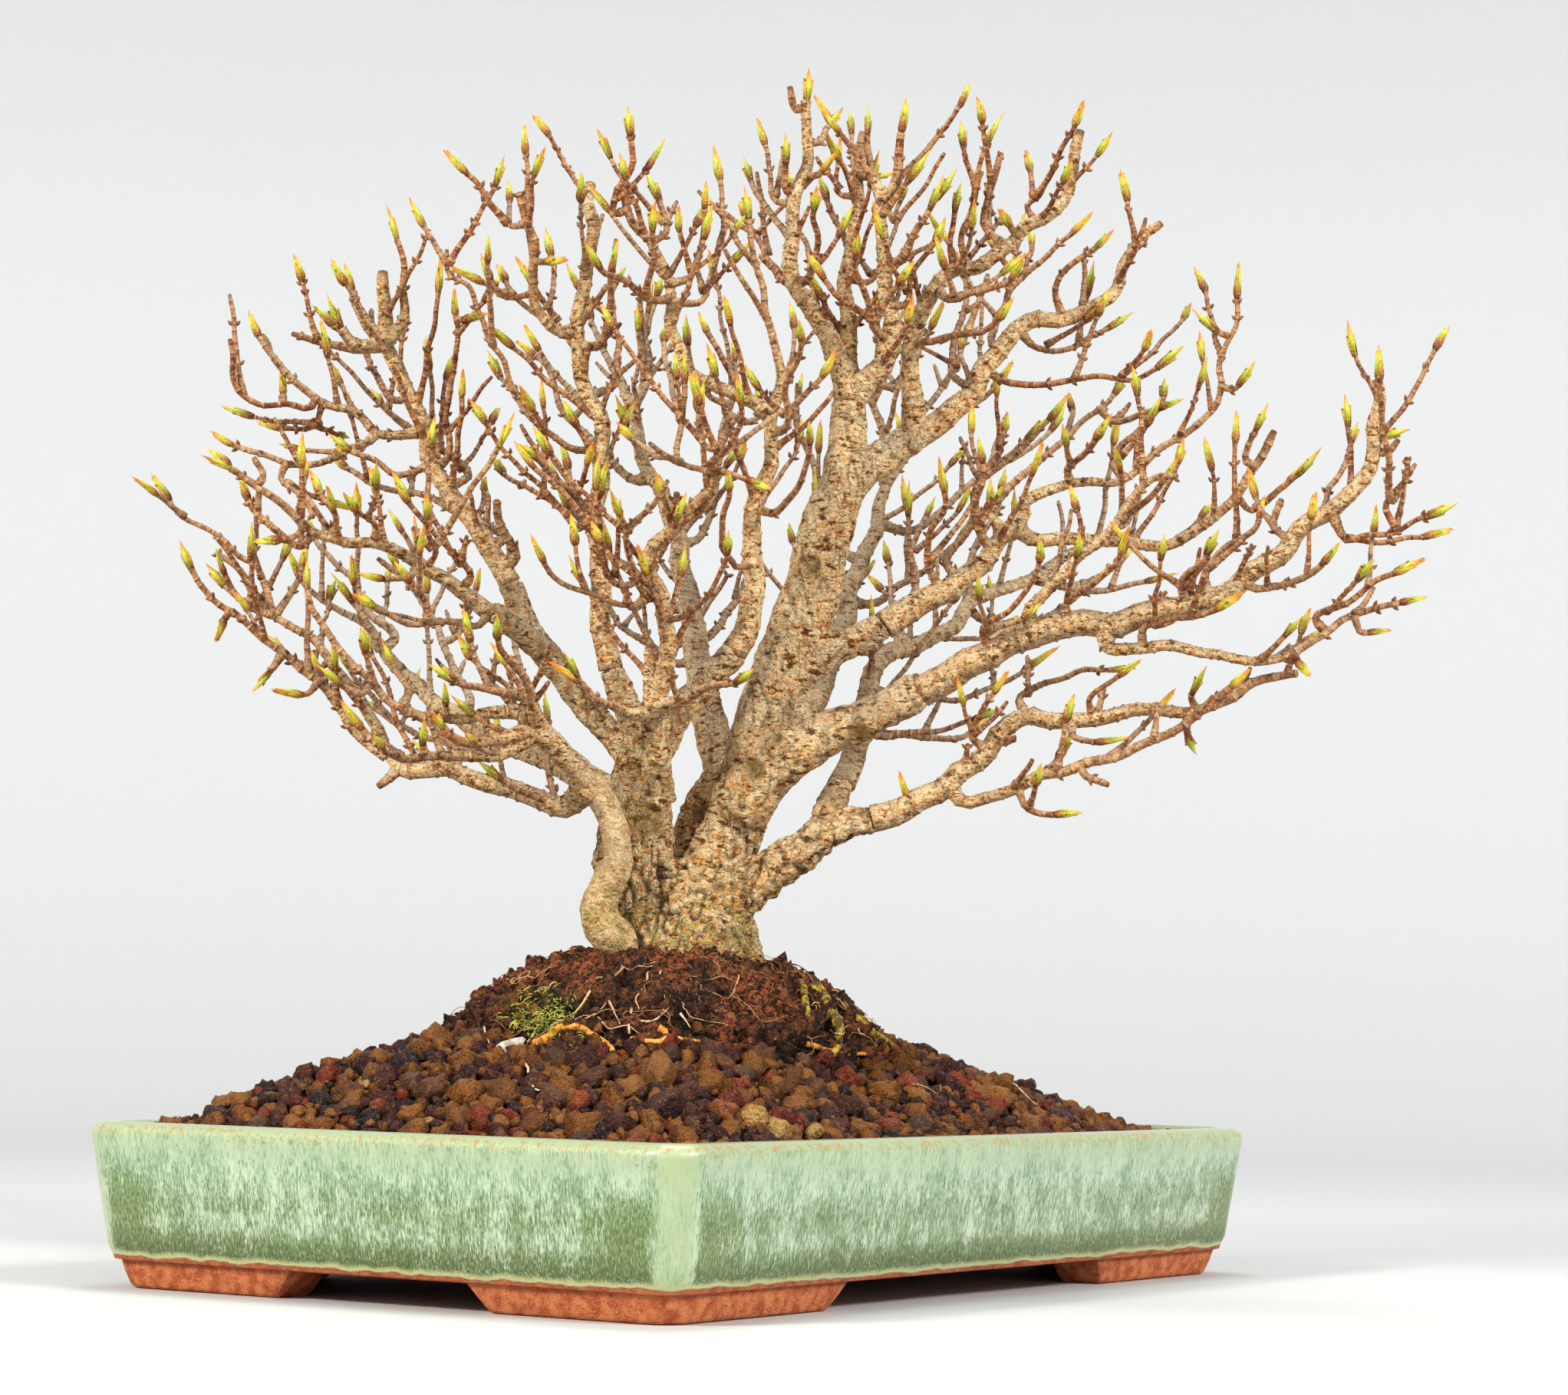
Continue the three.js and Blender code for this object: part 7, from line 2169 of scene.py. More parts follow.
    def roots(self) -> None:
        """Builds the thick roots, the fine roots on the ball and the stray ones on the heap."""
        shell = Shell()
        for k, (stations, start, end, kind) in enumerate(self.thick):
            places = np.array([GROUND.onto(u, v) for u, v in stations])
            course = Course(places, np.linspace(start, end, len(places)))
            distances = np.linspace(0, course.length, int(course.length / 0.9))
            line = course.at(distances) + FRONT.turned(0, -0.3, 0.4) * course.radius(distances)[:, None] * 0.3
            line += 0.6 * np.column_stack([clouds(line, 5.0, 3.0 + k), clouds(line, 5.0, 8.0 + k),
                                           clouds(line, 6.0, 13.0 + k)])
            radii = course.radius(distances) * (1 + 0.16 * clouds(line, 1.6, 5.0))
            grain = np.column_stack([distances, np.full(len(line), kind), radii])
            tube(shell, line, radii, 10, 0.16, k, (0, 0.3), grain=grain)
        for k in range(self.fine):
            turn, run = self.random.uniform(-math.pi, math.pi), self.random.uniform(0.2, 0.9)
            heading = self.random.uniform(0, 6.28)
            steps = int(self.random.uniform(6, 18))
            path = []
            for _ in range(steps):
                heading += self.random.normal() * 0.55
                turn += math.cos(heading) * 1.3 / 50
                run = min(max(run + math.sin(heading) * 1.3 / 80, 0.1), 0.97)
                path.append((turn, run))
            turns, runs = np.array(path).T
            lift = 0.2 + 1.2 * abs(np.sin(np.linspace(0, self.random.uniform(2, 7), steps)))
            self.fine_root(shell, self.surface(turns, runs, lift), self.random.uniform(0.1, 0.25), k)
        for k in range(self.stray):
            x, y = self.random.uniform(-118, 118), self.random.uniform(-70, 70)
            heading = self.random.uniform(0, 6.28)
            path = []
            for _ in range(int(self.random.uniform(8, 24))):
                heading += self.random.normal() * 0.35
                x, y = x + math.cos(heading) * 1.4, y + math.sin(heading) * 1.4
                path.append((min(max(x, -124), 124), min(max(y, -76), 76)))
            xs, ys = np.array(path).T
            zs = GROUND.top(xs, ys) + 1.6 + 0.8 * np.sin(np.arange(len(xs)) * 0.7)
            self.fine_root(shell, np.column_stack([xs, ys, zs]), self.random.uniform(0.16, 0.28), 500 + k)
        shell.build("roots_fine", RootSkin().material(), "roots")

    def fine_root(self, shell: Shell, places: np.ndarray, radius: float, seed: int) -> None:
        """Adds one fine root along places.

        Args:
            shell: the mesh of the roots.
            places: stations of the root.
            radius: its radius at the foot.
            seed: seed of its lumps.
        """
        radii = radius * np.linspace(1, 0.45, len(places))
        kind = self.random.choice([0.12, 0.3, 0.42, 0.5, 0.6], p=[0.2, 0.3, 0.3, 0.15, 0.05])
        grain = np.column_stack([np.arange(len(places)) * 1.3, np.full(len(places), kind), radii])
        tube(shell, places, radii, 5, 0.1, seed, (0, 0.4), grain=grain)

    def moss(self) -> None:
        """Builds the tuft of moss and the chip of stone at the ball's left."""
        shell = Shell()
        for k in range(self.strands):
            spot = self.random.normal(size=2) * (4.6, 3.8) + (-43, 67)
            foot = GROUND.onto(*spot)
            way = FRONT.turned(self.random.normal() * 1.1, -1, self.random.uniform(-0.2, 1.4))
            height = self.random.uniform(1.1, 3.4)
            t = np.linspace(0, 1, 5)[:, None]
            line = foot + unit(way) * height * t + UP * -1.4 * t * t
            tube(shell, line, np.array([0.12, 0.2, 0.16, 0.12, 0.04]), 4, 0.2, k, (0, 0.4))
        shell.build("moss_tuft", Plain("moss", "6d7a2a", "b9b656", 3.0, 0.75, depth=0.01).material(), "roots")
        chip = Shell()
        middle = GROUND.onto(-51, 58.5) + FRONT.turned(0, -1, 0.3) * 1.2
        right, up, out = FRONT.turned(0.9, 0.2, 0.45), FRONT.turned(-0.4, 0.1, 0.9), FRONT.turned(0, -1, 0.2)
        sides, turn = 14, turns(14)
        ragged = 1 + 0.16 * np.sin(3 * turn + 1) + 0.08 * np.sin(7 * turn)
        rings = []
        for size, depth in ((0.2, -0.6), (0.9, -0.6), (1.0, 0.0), (0.92, 0.5), (0.3, 0.62)):
            flat = size * ragged
            rings.append(middle + right * (3.8 * flat * np.cos(turn))[:, None]
                         + up * (2.1 * flat * np.sin(turn))[:, None] + out * depth)
        points = np.vstack(rings)
        ring = np.arange(1, sides - 1)
        cap = np.stack([ring, ring + 1, np.zeros(sides - 2, int)], -1)
        chip.add(points, grid_faces(len(rings), sides), cap[:, ::-1], cap + sides * (len(rings) - 1))
        stone = Plain("pale_stone", "958c80", "c9c2b6", 1.6, 0.6, depth=0.03)
        chip.build("stone_chip", stone.material(), "granules")


@dataclass
class Heap:
    """The granules over a bed of dust.

    Attributes:
        layers: how many tries, the smallest and the largest radius, and how closely the stones of each layer
            lie, as a share of their radii.
        kinds: how common each kind of granule is.
        placed: u, v, radius and kind of granules that stand out in the photograph.
        half_length: half the length of the ground that they lie on.
        half_width: half its width.
        corner: radius of its corners.
        sunk: how deep a granule lies in the ground, as a share of its radius.
        cell: size of the squares that neighbours are sought in.
        fine_from: smallest radius of a granule that gets a fine mesh.
        variety: how many templates there are of each fineness.
        most_faces: most triangles of one piece.
        facets: how many times a template is rubbed flat.
        bed_points: points along and across the bed.
        bed_gap: gap between the bed and the edge of the ground.
        bed_depth: how far the bed lies under the heap's surface.
        random: draws of everything left to chance.
    """

    layers: tuple[tuple[int, float, float, float], ...] = (
        (5000, 3.3, 4.6, 0.95), (12000, 2.5, 3.4, 0.8), (22000, 1.7, 2.6, 0.74), (26000, 1.1, 1.7, 0.74))
    kinds: tuple[tuple[Rock, float], ...] = (
        (Rock.BROWN, 0.39), (Rock.PLUM, 0.29), (Rock.CHARCOAL, 0.15), (Rock.RUST, 0.09), (Rock.OCHRE, 0.07),
        (Rock.CREAM, 0.003))
    placed: tuple[tuple[float, float, float, Rock], ...] = (
        (12.8, 41.6, 3.9, Rock.CREAM), (19.2, 38.4, 3.7, Rock.CREAM), (28, 38.4, 2.5, Rock.CREAM),
        (-11.2, 43.8, 5.4, Rock.CHARCOAL), (-33, 44.6, 3.3, Rock.RUST), (-26.2, 44.6, 3.8, Rock.RUST),
        (-19.7, 39.6, 3.8, Rock.OCHRE), (-12.4, 51.6, 5.2, Rock.BROWN), (-31.6, 55, 4.6, Rock.PLUM),
        (-5.6, 50.4, 3.3, Rock.CHARCOAL), (0.6, 50, 3.6, Rock.OCHRE), (-61.4, 46.2, 4.4, Rock.OCHRE),
        (-51.8, 46.6, 4.4, Rock.BROWN), (-9.8, 57.4, 3.0, Rock.CHARCOAL), (46.5, 48.5, 5.2, Rock.BROWN),
        (-50, 40, 3.4, Rock.RUST), (10, 53, 3.0, Rock.CHARCOAL), (-38, 39.5, 3.8, Rock.BROWN),
        (30, 57, 3.4, Rock.RUST), (36, 45, 4.2, Rock.PLUM), (-71, 47, 4.2, Rock.PLUM))
    half_length: float = 132.0
    half_width: float = 82.0
    corner: float = 9.0
    sunk: float = 0.5
    cell: float = 9.0
    fine_from: float = 2.75
    variety: int = 14
    most_faces: int = 120000
    facets: int = 5
    bed_points: tuple[int, int] = (104, 66)
    bed_gap: float = 0.4
    bed_depth: float = 2.2
    random: np.random.Generator = field(default_factory=lambda: np.random.default_rng(83))

    def inside(self, x: np.ndarray, y: np.ndarray, margin: np.ndarray | float) -> np.ndarray:
        """Whether places lie in the pot's rounded rectangle.

        Args:
            x: places along the pot.
            y: places across it.
            margin: least distance from the edge.

        Returns:
            Whether each does.
        """
        far_x = np.maximum(abs(x) - (self.half_length - margin - self.corner), 0)
        far_y = np.maximum(abs(y) - (self.half_width - margin - self.corner), 0)
        return np.hypot(far_x, far_y) < self.corner

    def scattered(self) -> np.ndarray:
        """Throws the granules, the largest first, each clear of those that lie already.

        Returns:
            x, y, z, radius and kind of each granule.
        """
        kept: list[tuple[float, ...]] = []
        buckets: dict[tuple[int, int], list[int]] = {}

        def keep(x: float, y: float, z: float, radius: float, kind: float, close: float) -> None:
            """Keeps a granule where it is clear of its neighbours.

            Args:
                x: the granule's place along the pot.
                y: its place across it.
                z: its height.
                radius: its radius.
                kind: its place on the scale of colours.
                close: least distance from a neighbour, as a share of both radii.
            """
            column, row = int(x // self.cell), int(y // self.cell)
            for i in (column - 1, column, column + 1):
                for j in (row - 1, row, row + 1):
                    for k in buckets.get((i, j), ()):
                        other = kept[k]
                        room = close * (radius + other[3])
                        if (x - other[0]) ** 2 + (y - other[1]) ** 2 + (z - other[2]) ** 2 < room * room:
                            return
            buckets.setdefault((column, row), []).append(len(kept))
            kept.append((x, y, z, radius, kind))

        for u, v, radius, kind in self.placed:
            keep(*GROUND.onto(u, v), radius, kind.value, 0.9)
        rocks = np.array([rock.value for rock, _ in self.kinds])
        common = np.array([share for _, share in self.kinds])
        for tries, low, high, close in self.layers:
            radius = self.random.uniform(low, high, tries)
            x = self.random.uniform(-self.half_length, self.half_length, tries)
            y = self.random.uniform(-self.half_width, self.half_width, tries)
            kind = self.random.choice(rocks, tries, p=common / common.sum())
            heap, dome = GROUND.heap(x, y), GROUND.dome(x, y)
            z = np.maximum(heap, dome) - radius * (self.sunk + self.random.uniform(-0.3, 0.3, tries))
            open_ground = (dome < heap + 1) | ((self.random.uniform(size=tries) < 0.06) & (dome < heap + 6)
                                               & (radius < 2.4))
            fits = self.inside(x, y, radius) & open_ground
            for row in np.column_stack([x, y, z, radius, kind])[fits]:
                keep(*(float(value) for value in row), close)
        return np.array(kept)

    def forms(self, fineness: int, count: int) -> tuple[np.ndarray, np.ndarray]:
        """Lumpy templates of a granule, of radius 1.

        Args:
            fineness: subdivisions of the ball that they start from.
            count: how many there are.

        Returns:
            Their points and their shared triangles.
        """
        ball = bmesh.new()
        bmesh.ops.create_icosphere(ball, subdivisions=fineness, radius=1.0)
        points = np.array([vertex.co for vertex in ball.verts])
        faces = np.array([[vertex.index for vertex in face.verts] for face in ball.faces])
        ball.free()
        forms = []
        for k in range(count):
            push = 1 + 0.3 * clouds(points, 0.9, k * 5.7) + 0.42 * clouds(points, 0.45, k * 3.1)
            form = points * push[:, None]
            for _ in range(self.facets):
                way = unit(self.random.normal(size=3))
                over = np.maximum(form @ way - self.random.uniform(0.55, 0.85), 0)
                form = form - way * over[:, None] * 0.75
            forms.append(form)
        return np.array(forms), faces

    def build(self) -> None:
        """Builds the bed and the granules."""
        self.bed()
        stones = self.scattered()
        material = Granules().material()
        large = stones[:, 3] >= self.fine_from
        for size, chosen, fineness in (("fine", large, 3), ("small", ~large, 2)):
            forms, faces = self.forms(fineness, self.variety)
            rows = stones[chosen]
            parts = np.array_split(rows, max(math.ceil(len(rows) * len(faces) / self.most_faces), 1))
            for part, group in enumerate(parts, 1):
                self.piece(f"granules_{size}_{part}", group, forms, faces, material)

    def piece(self, name: str, stones: np.ndarray, forms: np.ndarray, faces: np.ndarray,
              material: bpy.types.Material) -> None:
        """Makes one piece of many granules, each a template turned and stretched.

        Args:
            name: the piece's name.
            stones: x, y, z, radius and kind of each granule.
            forms: the templates.
            faces: their triangles.
            material: the finish.
        """
        count = len(stones)
        spin = self.random.normal(size=(count, 4))
        spin /= np.linalg.norm(spin, axis=1)[:, None]
        a, b, c, d = spin.T
        turn = np.array([[1 - 2 * (c * c + d * d), 2 * (b * c - a * d), 2 * (b * d + a * c)],
                         [2 * (b * c + a * d), 1 - 2 * (b * b + d * d), 2 * (c * d - a * b)],
                         [2 * (b * d - a * c), 2 * (c * d + a * b), 1 - 2 * (b * b + c * c)]])
        turn = turn.transpose(2, 0, 1)
        stretch = self.random.uniform(0.72, 1.14, (count, 3))
        chosen = forms[self.random.integers(0, len(forms), count)] * stretch[:, None]
        points = np.einsum("nij,nvj->nvi", turn, chosen) * stones[:, 3, None, None] + stones[:, None, :3]
        kind = stones[:, 4] + self.random.uniform(-0.045, 0.045, count)
        shade = np.where(stones[:, 4] > 0.9, 0.7, self.random.uniform(0, 1, count))
        lot = np.column_stack([kind, shade, self.random.uniform(0, 1, count) ** 1.5])
        size = forms.shape[1]
        shell = Shell()
        # Height on each granule, which paints its lower part darker: painted shade under it.
        upper = (points[:, :, 2] - stones[:, None, 2]) / stones[:, None, 3]
        corners = faces[None] + (np.arange(count) * size)[:, None, None]
        shell.add(points.reshape(-1, 3), corners.reshape(-1, 3), lot=np.repeat(lot, size, axis=0),
                  upper=upper.ravel())
        shell.build(name, material, "granules")

    def bed(self) -> None:
        """Makes the bed of dust under the granules."""
        x, y = np.meshgrid(*(np.linspace(-1, 1, count) for count in self.bed_points), indexing="ij")
        scale = 1 - 0.028 * (x * y) ** 2
        x = (x * (self.half_length - self.bed_gap) * scale).ravel()
        y = (y * (self.half_width - self.bed_gap) * scale).ravel()
        flat = np.column_stack([x, y, np.zeros(len(x))])
        z = GROUND.heap(x, y) - self.bed_depth + 0.7 * clouds(flat, 3.0) + 0.5 * clouds(flat, 1.3, 5.0)
        shell = Shell()
        # The whole bed is painted somewhat darker: painted shade between the granules.
        shell.add(np.column_stack([x, y, z]), grid_faces(*self.bed_points, False),
                  green=0.0, crust=0.2, hollow=0.3)
        shell.build("soil_bed", OldSoil("dust", 0.6).material(), "granules", "soil")


@dataclass
class Pot:
    """The glazed pot: walls and floor turned from one profile along its rounded outline, and four feet.

    Attributes:
        half_length: half its length at the rim, in millimetres.
        half_width: half its width at the rim.
        height: its height.
        foot: height of its feet.
        lip: height of its lip.
        flare: how far the foot of the wall stands in from the rim.
        wall: thickness of the wall.
        rounding: radius of its corners.
        foot_wide: width of each foot.
        foot_set_in: how far a foot's top stands in from the wall.
        foot_lean: how far further in it stands at the table.
        foot_long: length of each foot along the long and the short side.
        slant: how far a foot's end leans, for each millimetre up.
        floor: height of the floor inside.
        holes: where each hole lies along the pot's length, and its radius.
        hole_span: heights that the holes are cut from and to.
        hole_sides: points round a hole.
    """

    half_length: float = 139.5
    half_width: float = 89.5
    height: float = 40.0
    foot: float = 6.6
    lip: float = 3.0
    flare: float = 4.2
    wall: float = 7.0
    rounding: float = 11.0
    foot_wide: float = 13.0
    foot_set_in: float = 2.0
    foot_lean: float = 2.0
    foot_long: tuple[float, float] = (65.0, 50.0)
    slant: float = 6 / 6.6
    floor: float = 13.0
    holes: tuple[tuple[float, float], ...] = ((-65, 9), (65, 9), (-36, 2.2), (36, 2.2))
    hole_span: tuple[float, float] = (3, 16)
    hole_sides: int = 32

    def flare_at(self, z: float) -> float:
        """How far the wall stands in from the rim at a height."""
        return self.flare * (self.height - self.lip - z) / (self.height - self.lip - self.foot)

    def corner_radius(self, inset: np.ndarray | float) -> np.ndarray | float:
        """Radius of the corners of a ring that is set in from the rim."""
        return np.maximum(self.rounding - inset * 0.4, 3)

    def outline(self, inset: float, z: float) -> np.ndarray:
        """A ring round the pot, set in from the rim.

        Args:
            inset: how far it is set in.
            z: its height.

        Returns:
            The ring's points.
        """
        radius = self.corner_radius(inset)
        x, y = self.half_length - inset - radius, self.half_width - inset - radius
        ring = []
        corners = [(x, y), (-x, y), (-x, -y), (x, -y)]
        for k, (cx, cy) in enumerate(corners):
            for turn in (k + np.linspace(0, 1, 15)) * math.pi / 2:
                ring.append((cx + radius * math.cos(turn), cy + radius * math.sin(turn), z))
            nx, ny = corners[(k + 1) % 4]
            steps = 46 if k % 2 == 0 else 28
            edge = (math.cos((k + 1) * math.pi / 2) * radius, math.sin((k + 1) * math.pi / 2) * radius)
            for share in np.linspace(0, 1, steps)[1:-1]:
                ring.append((cx + (nx - cx) * share + edge[0], cy + (ny - cy) * share + edge[1], z))
        return np.array(ring)

    def corner_of(self, points: np.ndarray) -> np.ndarray:
        """Distance along the outline from the middle of the nearest corner.

        Args:
            points: places on the pot, one in each row.

        Returns:
            The distances.
        """
        inset = np.clip(self.flare_at(points[:, 2]), 0, None)
        radius = self.corner_radius(inset)
        across = abs(points[:, 0]) - (self.half_length - inset - radius)
        deep = abs(points[:, 1]) - (self.half_width - inset - radius)
        quarter = radius * math.pi / 4
        turned = radius * abs(np.arctan2(deep, across) - math.pi / 4)
        return np.where((across > 0) & (deep > 0), turned, quarter + np.where(deep > across, -across, -deep))

    def profile(self) -> list[tuple[float, float]]:
        """The wall's section, from under the floor over the rim to the floor inside, as (inset, z).

        Returns:
            The section's points.
        """
        low = self.flare_at(self.foot)
        outside = [(low + 2.6, self.foot), (low + 0.8, 7.0), (low + 0.35, 8.3)]
        outside += [(self.flare_at(z), z) for z in (10.6, 14, 18, 22, 26, 30, 33)]
        lip = [(0.25, 35.2), (0.0, 36.8), (0.1, 37.8), (0.5, 38.6), (1.1, 39.3), (2.0, 39.8), (3.2, 40),
               (4.4, 40), (5.4, 39.8), (6.2, 39.2), (6.9, 37.9)]
        inside = [(self.wall + self.flare_at(z), z) for z in (36, 31, 26, 20, 16)]
        return outside + lip + inside + [(self.wall + self.flare_at(self.floor) + 1.5, self.floor)]

    def body(self) -> bpy.types.Mesh:
        """The wall and floor with their holes, in metres in the row's frame.

        Returns:
            The mesh.
        """
        profile = self.profile()
        rings = [self.outline(inset, z) for inset, z in profile]
        count = len(rings[0])
        shell = Shell()
        points = np.vstack([*rings, [(0, 0, self.foot)], [(0, 0, self.floor)]])
        total = len(profile) * count
        shell.add(points, grid_faces(len(profile), count), fan_faces(np.arange(count), total, True),
                  fan_faces(np.arange(total - count, total), total + 1))
        solid = shell.build("pot_solid", bpy.data.materials.new("core"), "glaze")
        cutters = Shell()
        sides, turn = self.hole_sides, turns(self.hole_sides)
        low, high = np.arange(sides), np.arange(sides, 2 * sides)
        for x, radius in self.holes:
            rings = [np.column_stack([x + radius * np.cos(turn), radius * np.sin(turn), np.full(sides, z)])
                     for z in self.hole_span]
            cutters.add(np.vstack([*rings, [(x, 0, z) for z in self.hole_span]]), grid_faces(2, sides),
                        fan_faces(low, 2 * sides, True), fan_faces(high, 2 * sides + 1))
        cutter = cutters.build("pot_cutter", bpy.data.materials.new("core"), "glaze")
        cut = solid.modifiers.new("holes", "BOOLEAN")
        cut.operation = "DIFFERENCE"
        cut.object = cutter
        return modified(solid, cutter)

    def foot_section(self) -> list[tuple[float, float]]:
        """A foot's section as (inset, z), from its inner top down and round to its outer top.

        Returns:
            The section's points.
        """
        outer_high = self.flare_at(self.foot) + self.foot_set_in
        outer_low = outer_high + self.foot_lean
        inner = outer_low + self.foot_wide
        return [(inner, 7.4), (inner, 3.5), (inner - 0.1, 1.2), (inner - 0.9, 0.3), (inner - 2.2, 0.0),
                ((inner + outer_low) / 2, 0.0), (outer_low + 2.0, 0.0), (outer_low + 0.7, 0.3),
                (outer_low + 0.05, 1.1), ((outer_low + outer_high) / 2, 3.8), (outer_high, 7.4)]

    def add_foot(self, shell: Shell, sign_x: int, sign_y: int) -> None:
        """Adds the foot of one corner.

        Args:
            shell: the pot's mesh.
            sign_x: 1 or -1, for the corner's end of the pot.
            sign_y: 1 or -1, for its side.
        """
        section = self.foot_section()
        base = self.flare_at(self.foot) + self.foot_set_in + self.foot_lean
        lines = []
        for inset, z in section:
            radius = self.corner_radius(inset)
            cx, cy = self.half_length - inset - radius, self.half_width - inset - radius
            start = self.half_length - base - self.foot_long[0] - self.slant * z
            stop = self.half_width - base - self.foot_long[1] - self.slant * z
            turn = np.linspace(math.pi / 2, 0, 11)
            long_side = np.column_stack([np.append(start + 0.5, np.linspace(start + 1.4, cx, 10)[:-1]),
                                         np.full(10, cy + radius)])
            arc = np.column_stack([cx + radius * np.cos(turn), cy + radius * np.sin(turn)])
            short_side = np.column_stack([np.full(8, cx + radius),
                                          np.append(np.linspace(cy, stop + 1.4, 8)[1:], stop + 0.5)])
            line = np.vstack([long_side, arc, short_side]) * (sign_x, sign_y)
            lines.append(np.column_stack([line, np.full(len(line), z)]))
        rows = np.array(lines)
        middle = rows.mean(0)
        rows[:, 0] += (middle[0] - rows[:, 0]) * (0.07, 0.07, 0)
        rows[:, -1] += (middle[-1] - rows[:, -1]) * (0.07, 0.07, 0)
        deep, wide = rows.shape[:2]
        ends = (middle[0] + (sign_x * -0.4, 0, 0), middle[-1] + (0, sign_y * -0.4, 0))
        points = np.vstack([rows.reshape(-1, 3), *ends])
        near, far = np.arange(deep) * wide, np.arange(deep) * wide + wide - 1
        faces = grid_faces(deep, wide, False)
        bridge = np.stack([(deep - 1) * wide + np.arange(wide - 1), (deep - 1) * wide + np.arange(1, wide),
                           np.arange(1, wide), np.arange(wide - 1)], -1)
        caps = (fan_faces(near, deep * wide, True), fan_faces(far, deep * wide + 1))
        if sign_x * sign_y > 0:
            faces, bridge, caps = faces[:, ::-1], bridge[:, ::-1], tuple(cap[:, ::-1] for cap in caps)
        shell.add(points, faces, bridge, *caps, corner=40.0)

    def build(self) -> None:
        """Joins the body with its feet into one piece."""
        mesh = self.body()
        points = read(mesh, "co") / MM - POT_CENTRE
        points = points + 0.22 * np.column_stack([clouds(points, 34.0, 3.0), clouds(points, 34.0, 9.0),
                                                  0 * points[:, 0]])
        mesh.calc_loop_triangles()
        faces = np.array([triangle.vertices for triangle in mesh.loop_triangles])
        bpy.data.meshes.remove(mesh)
        shell = Shell()
        shell.add(points, faces, corner=self.corner_of(points))
        for sign_x in (1, -1):
            for sign_y in (1, -1):
                self.add_foot(shell, sign_x, sign_y)
        piece = shell.build("pot_glazed", Glaze().material(), "glaze", "pot")
        piece.data.set_sharp_from_angle(angle=math.radians(50))


def dress_fittings() -> None:
    """Gives the screens, clips and the anchor wire their finishes."""
    plastic = Plain("screen_plastic", "1d1f21", "33373a", 1.5, 0.5, depth=0.012).material()
    wire = Plain("aluminium_wire", "8d8983", "c3beb5", 2.5, 0.38, 1.0, 0.008).material()
    for node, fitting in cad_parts.items():
        if "clip" in node or "wire" in node:
            material = wire
        elif "screen" in node:
            material = plastic
        else:
            continue
        for place in fitting.material_slots:
            place.material = material


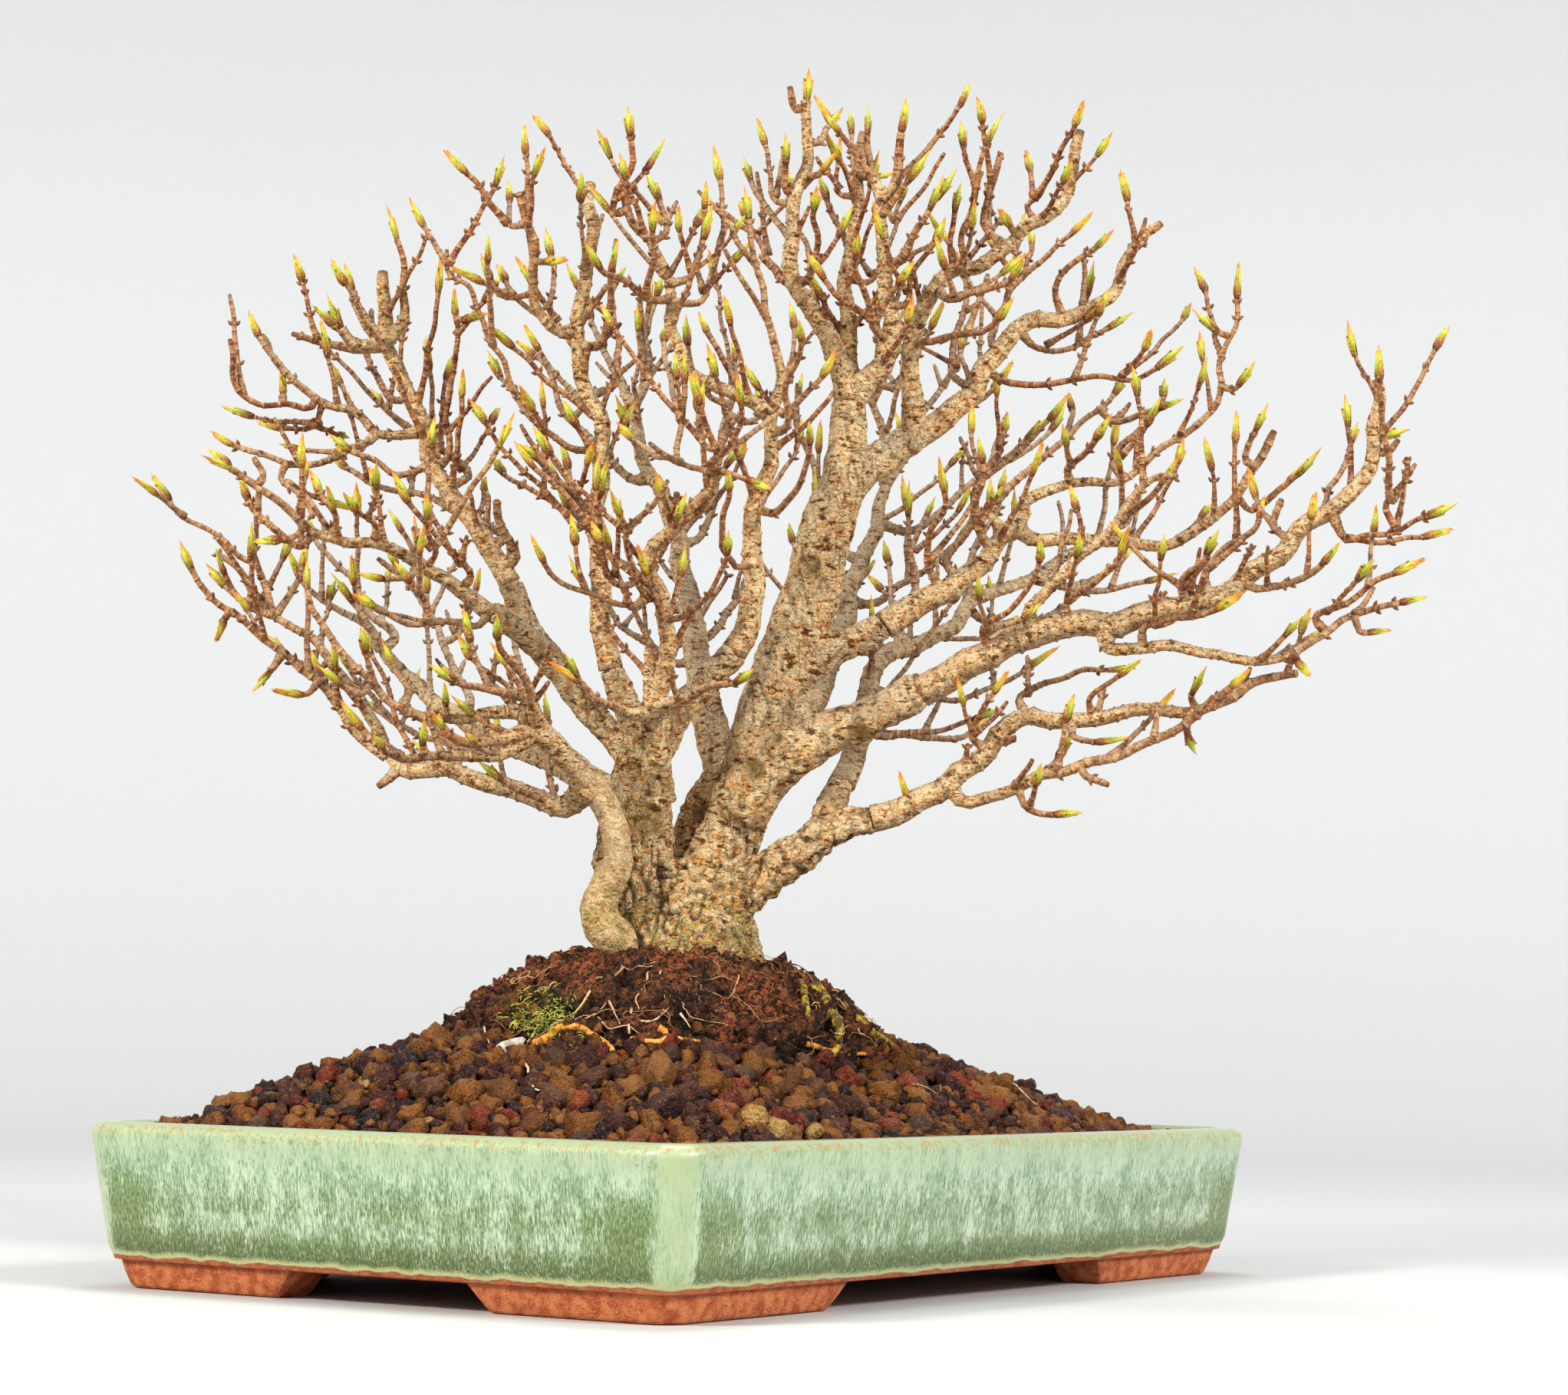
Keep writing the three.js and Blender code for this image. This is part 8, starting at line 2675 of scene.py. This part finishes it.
@dataclass
class Studio:
    """A pale floor that rises into its backdrop, soft light and the photograph's camera.

    Attributes:
        radius: reach of the floor in metres.
        lamps: where each lamp stands (right, away, up, in metres), its size, power and screen colour.
        aim: height that the lamps face, in metres.
        sky: colour of the light from all round.
        sky_strength: how strong it is.
        floor_rings: rings of points out over the floor.
        floor_sides: points round each.
        level_to: distance in metres from which the floor rises.
        steepening: how fast it rises, for each square metre beyond.
    """

    radius: float = 3.2
    lamps: tuple = (
        ((-1.2, -1.05, 1.05), 0.35, 28.0, "fffaf0"),
        ((1.3, -0.95, 1.0), 0.35, 23.0, "fffdf8"),
        ((0.1, 0.3, 1.8), 0.6, 11.0, "ffffff"),
    )
    aim: float = 0.14
    sky: str = "fafcfc"
    sky_strength: float = 0.38
    floor_rings: int = 40
    floor_sides: int = 72
    level_to: float = 1.0
    steepening: float = 0.55

    def build(self) -> None:
        """Builds the floor, the lamps, the world and the camera."""
        self.floor()
        for place, size, power, colour in self.lamps:
            self.lamp(place, size, power, colour)
        world = bpy.data.worlds.new("studio")
        bpy.context.scene.world = world
        world.use_nodes = True
        sky = world.node_tree.nodes["Background"]
        sky.inputs["Color"].default_value = tone(self.sky)
        sky.inputs["Strength"].default_value = self.sky_strength
        bpy.context.scene.view_settings.view_transform = "Standard"
        bpy.context.scene.view_settings.look = "Medium High Contrast"
        self.camera()

    def floor(self) -> None:
        """Makes the floor, flat under the pot and rising far from it."""
        far = np.append(0.02, np.linspace(0.25, self.radius, self.floor_rings))
        rise = self.steepening * np.maximum(far - self.level_to, 0) ** 2
        turn = turns(self.floor_sides)
        rings = np.stack([np.outer(far, np.cos(turn)), np.outer(far, np.sin(turn)),
                          np.repeat(rise[:, None], self.floor_sides, 1)], -1).reshape(-1, 3)
        mesh = bpy.data.meshes.new("floor")
        mesh.from_pydata((rings + POT_CENTRE * MM).tolist(), [],
                         [*grid_faces(len(far), self.floor_sides).tolist(), list(range(self.floor_sides))])
        mesh.shade_smooth()
        mesh.materials.append(PaleFloor().material())
        floor = stood("floor", mesh)

    def lamp(self, place: tuple, size: float, power: float, colour: str) -> None:
        """Adds one soft square lamp that faces the tree.

        Args:
            place: where it stands: right, away and up, in metres.
            size: its width in metres.
            power: its power in watts.
            colour: its screen colour.
        """
        light = bpy.data.lights.new("lamp", "AREA")
        light.size = size
        light.energy = power
        light.color = tone(colour)[:3]
        spot = Vector(FRONT.turned(*place) + POT_CENTRE * MM)
        target = Vector(POT_CENTRE * MM) + Vector((0, 0, self.aim))
        aim = (spot - target).to_track_quat("Z", "Y").to_matrix().to_4x4()
        stood("lamp", light).matrix_world = Matrix.Translation(spot) @ aim

    def camera(self) -> None:
        """Sets the camera where the photograph was taken from."""
        lens = bpy.data.cameras.new("camera")
        lens.sensor_width = FRONT.sensor
        lens.lens = FRONT.focal_pixels / FRONT.picture_width * FRONT.sensor
        lens.clip_start, lens.clip_end = 0.05, 20
        camera = stood("camera", lens)
        rise, roll = FRONT.rise, FRONT.roll
        forward = FRONT.turned(0, math.cos(rise), math.sin(rise))
        up, right = FRONT.turned(0, -math.sin(rise), math.cos(rise)), FRONT.turned(1, 0, 0)
        tilted_right = right * math.cos(roll) - up * math.sin(roll)
        tilted_up = right * math.sin(roll) + up * math.cos(roll)
        place = (FRONT.turned(FRONT.eye_u, -FRONT.distance, FRONT.eye_height) + POT_CENTRE) * MM
        pose = Matrix([tilted_right, tilted_up, -forward]).transposed().to_4x4()
        pose.translation = place
        camera.matrix_world = pose
        bpy.context.scene.camera = camera


def main() -> None:
    """Builds the bonsai from the table up, and then its surroundings."""
    logging.basicConfig(level=logging.INFO, format="%(message)s")
    Pot().build()
    dress_fittings()
    Heap().build()
    RootBall().build()
    tree = Tree()
    Trunk().build(tree)
    Wood().build(tree)
    Studio().build()


if __name__ == "__main__":
    main()
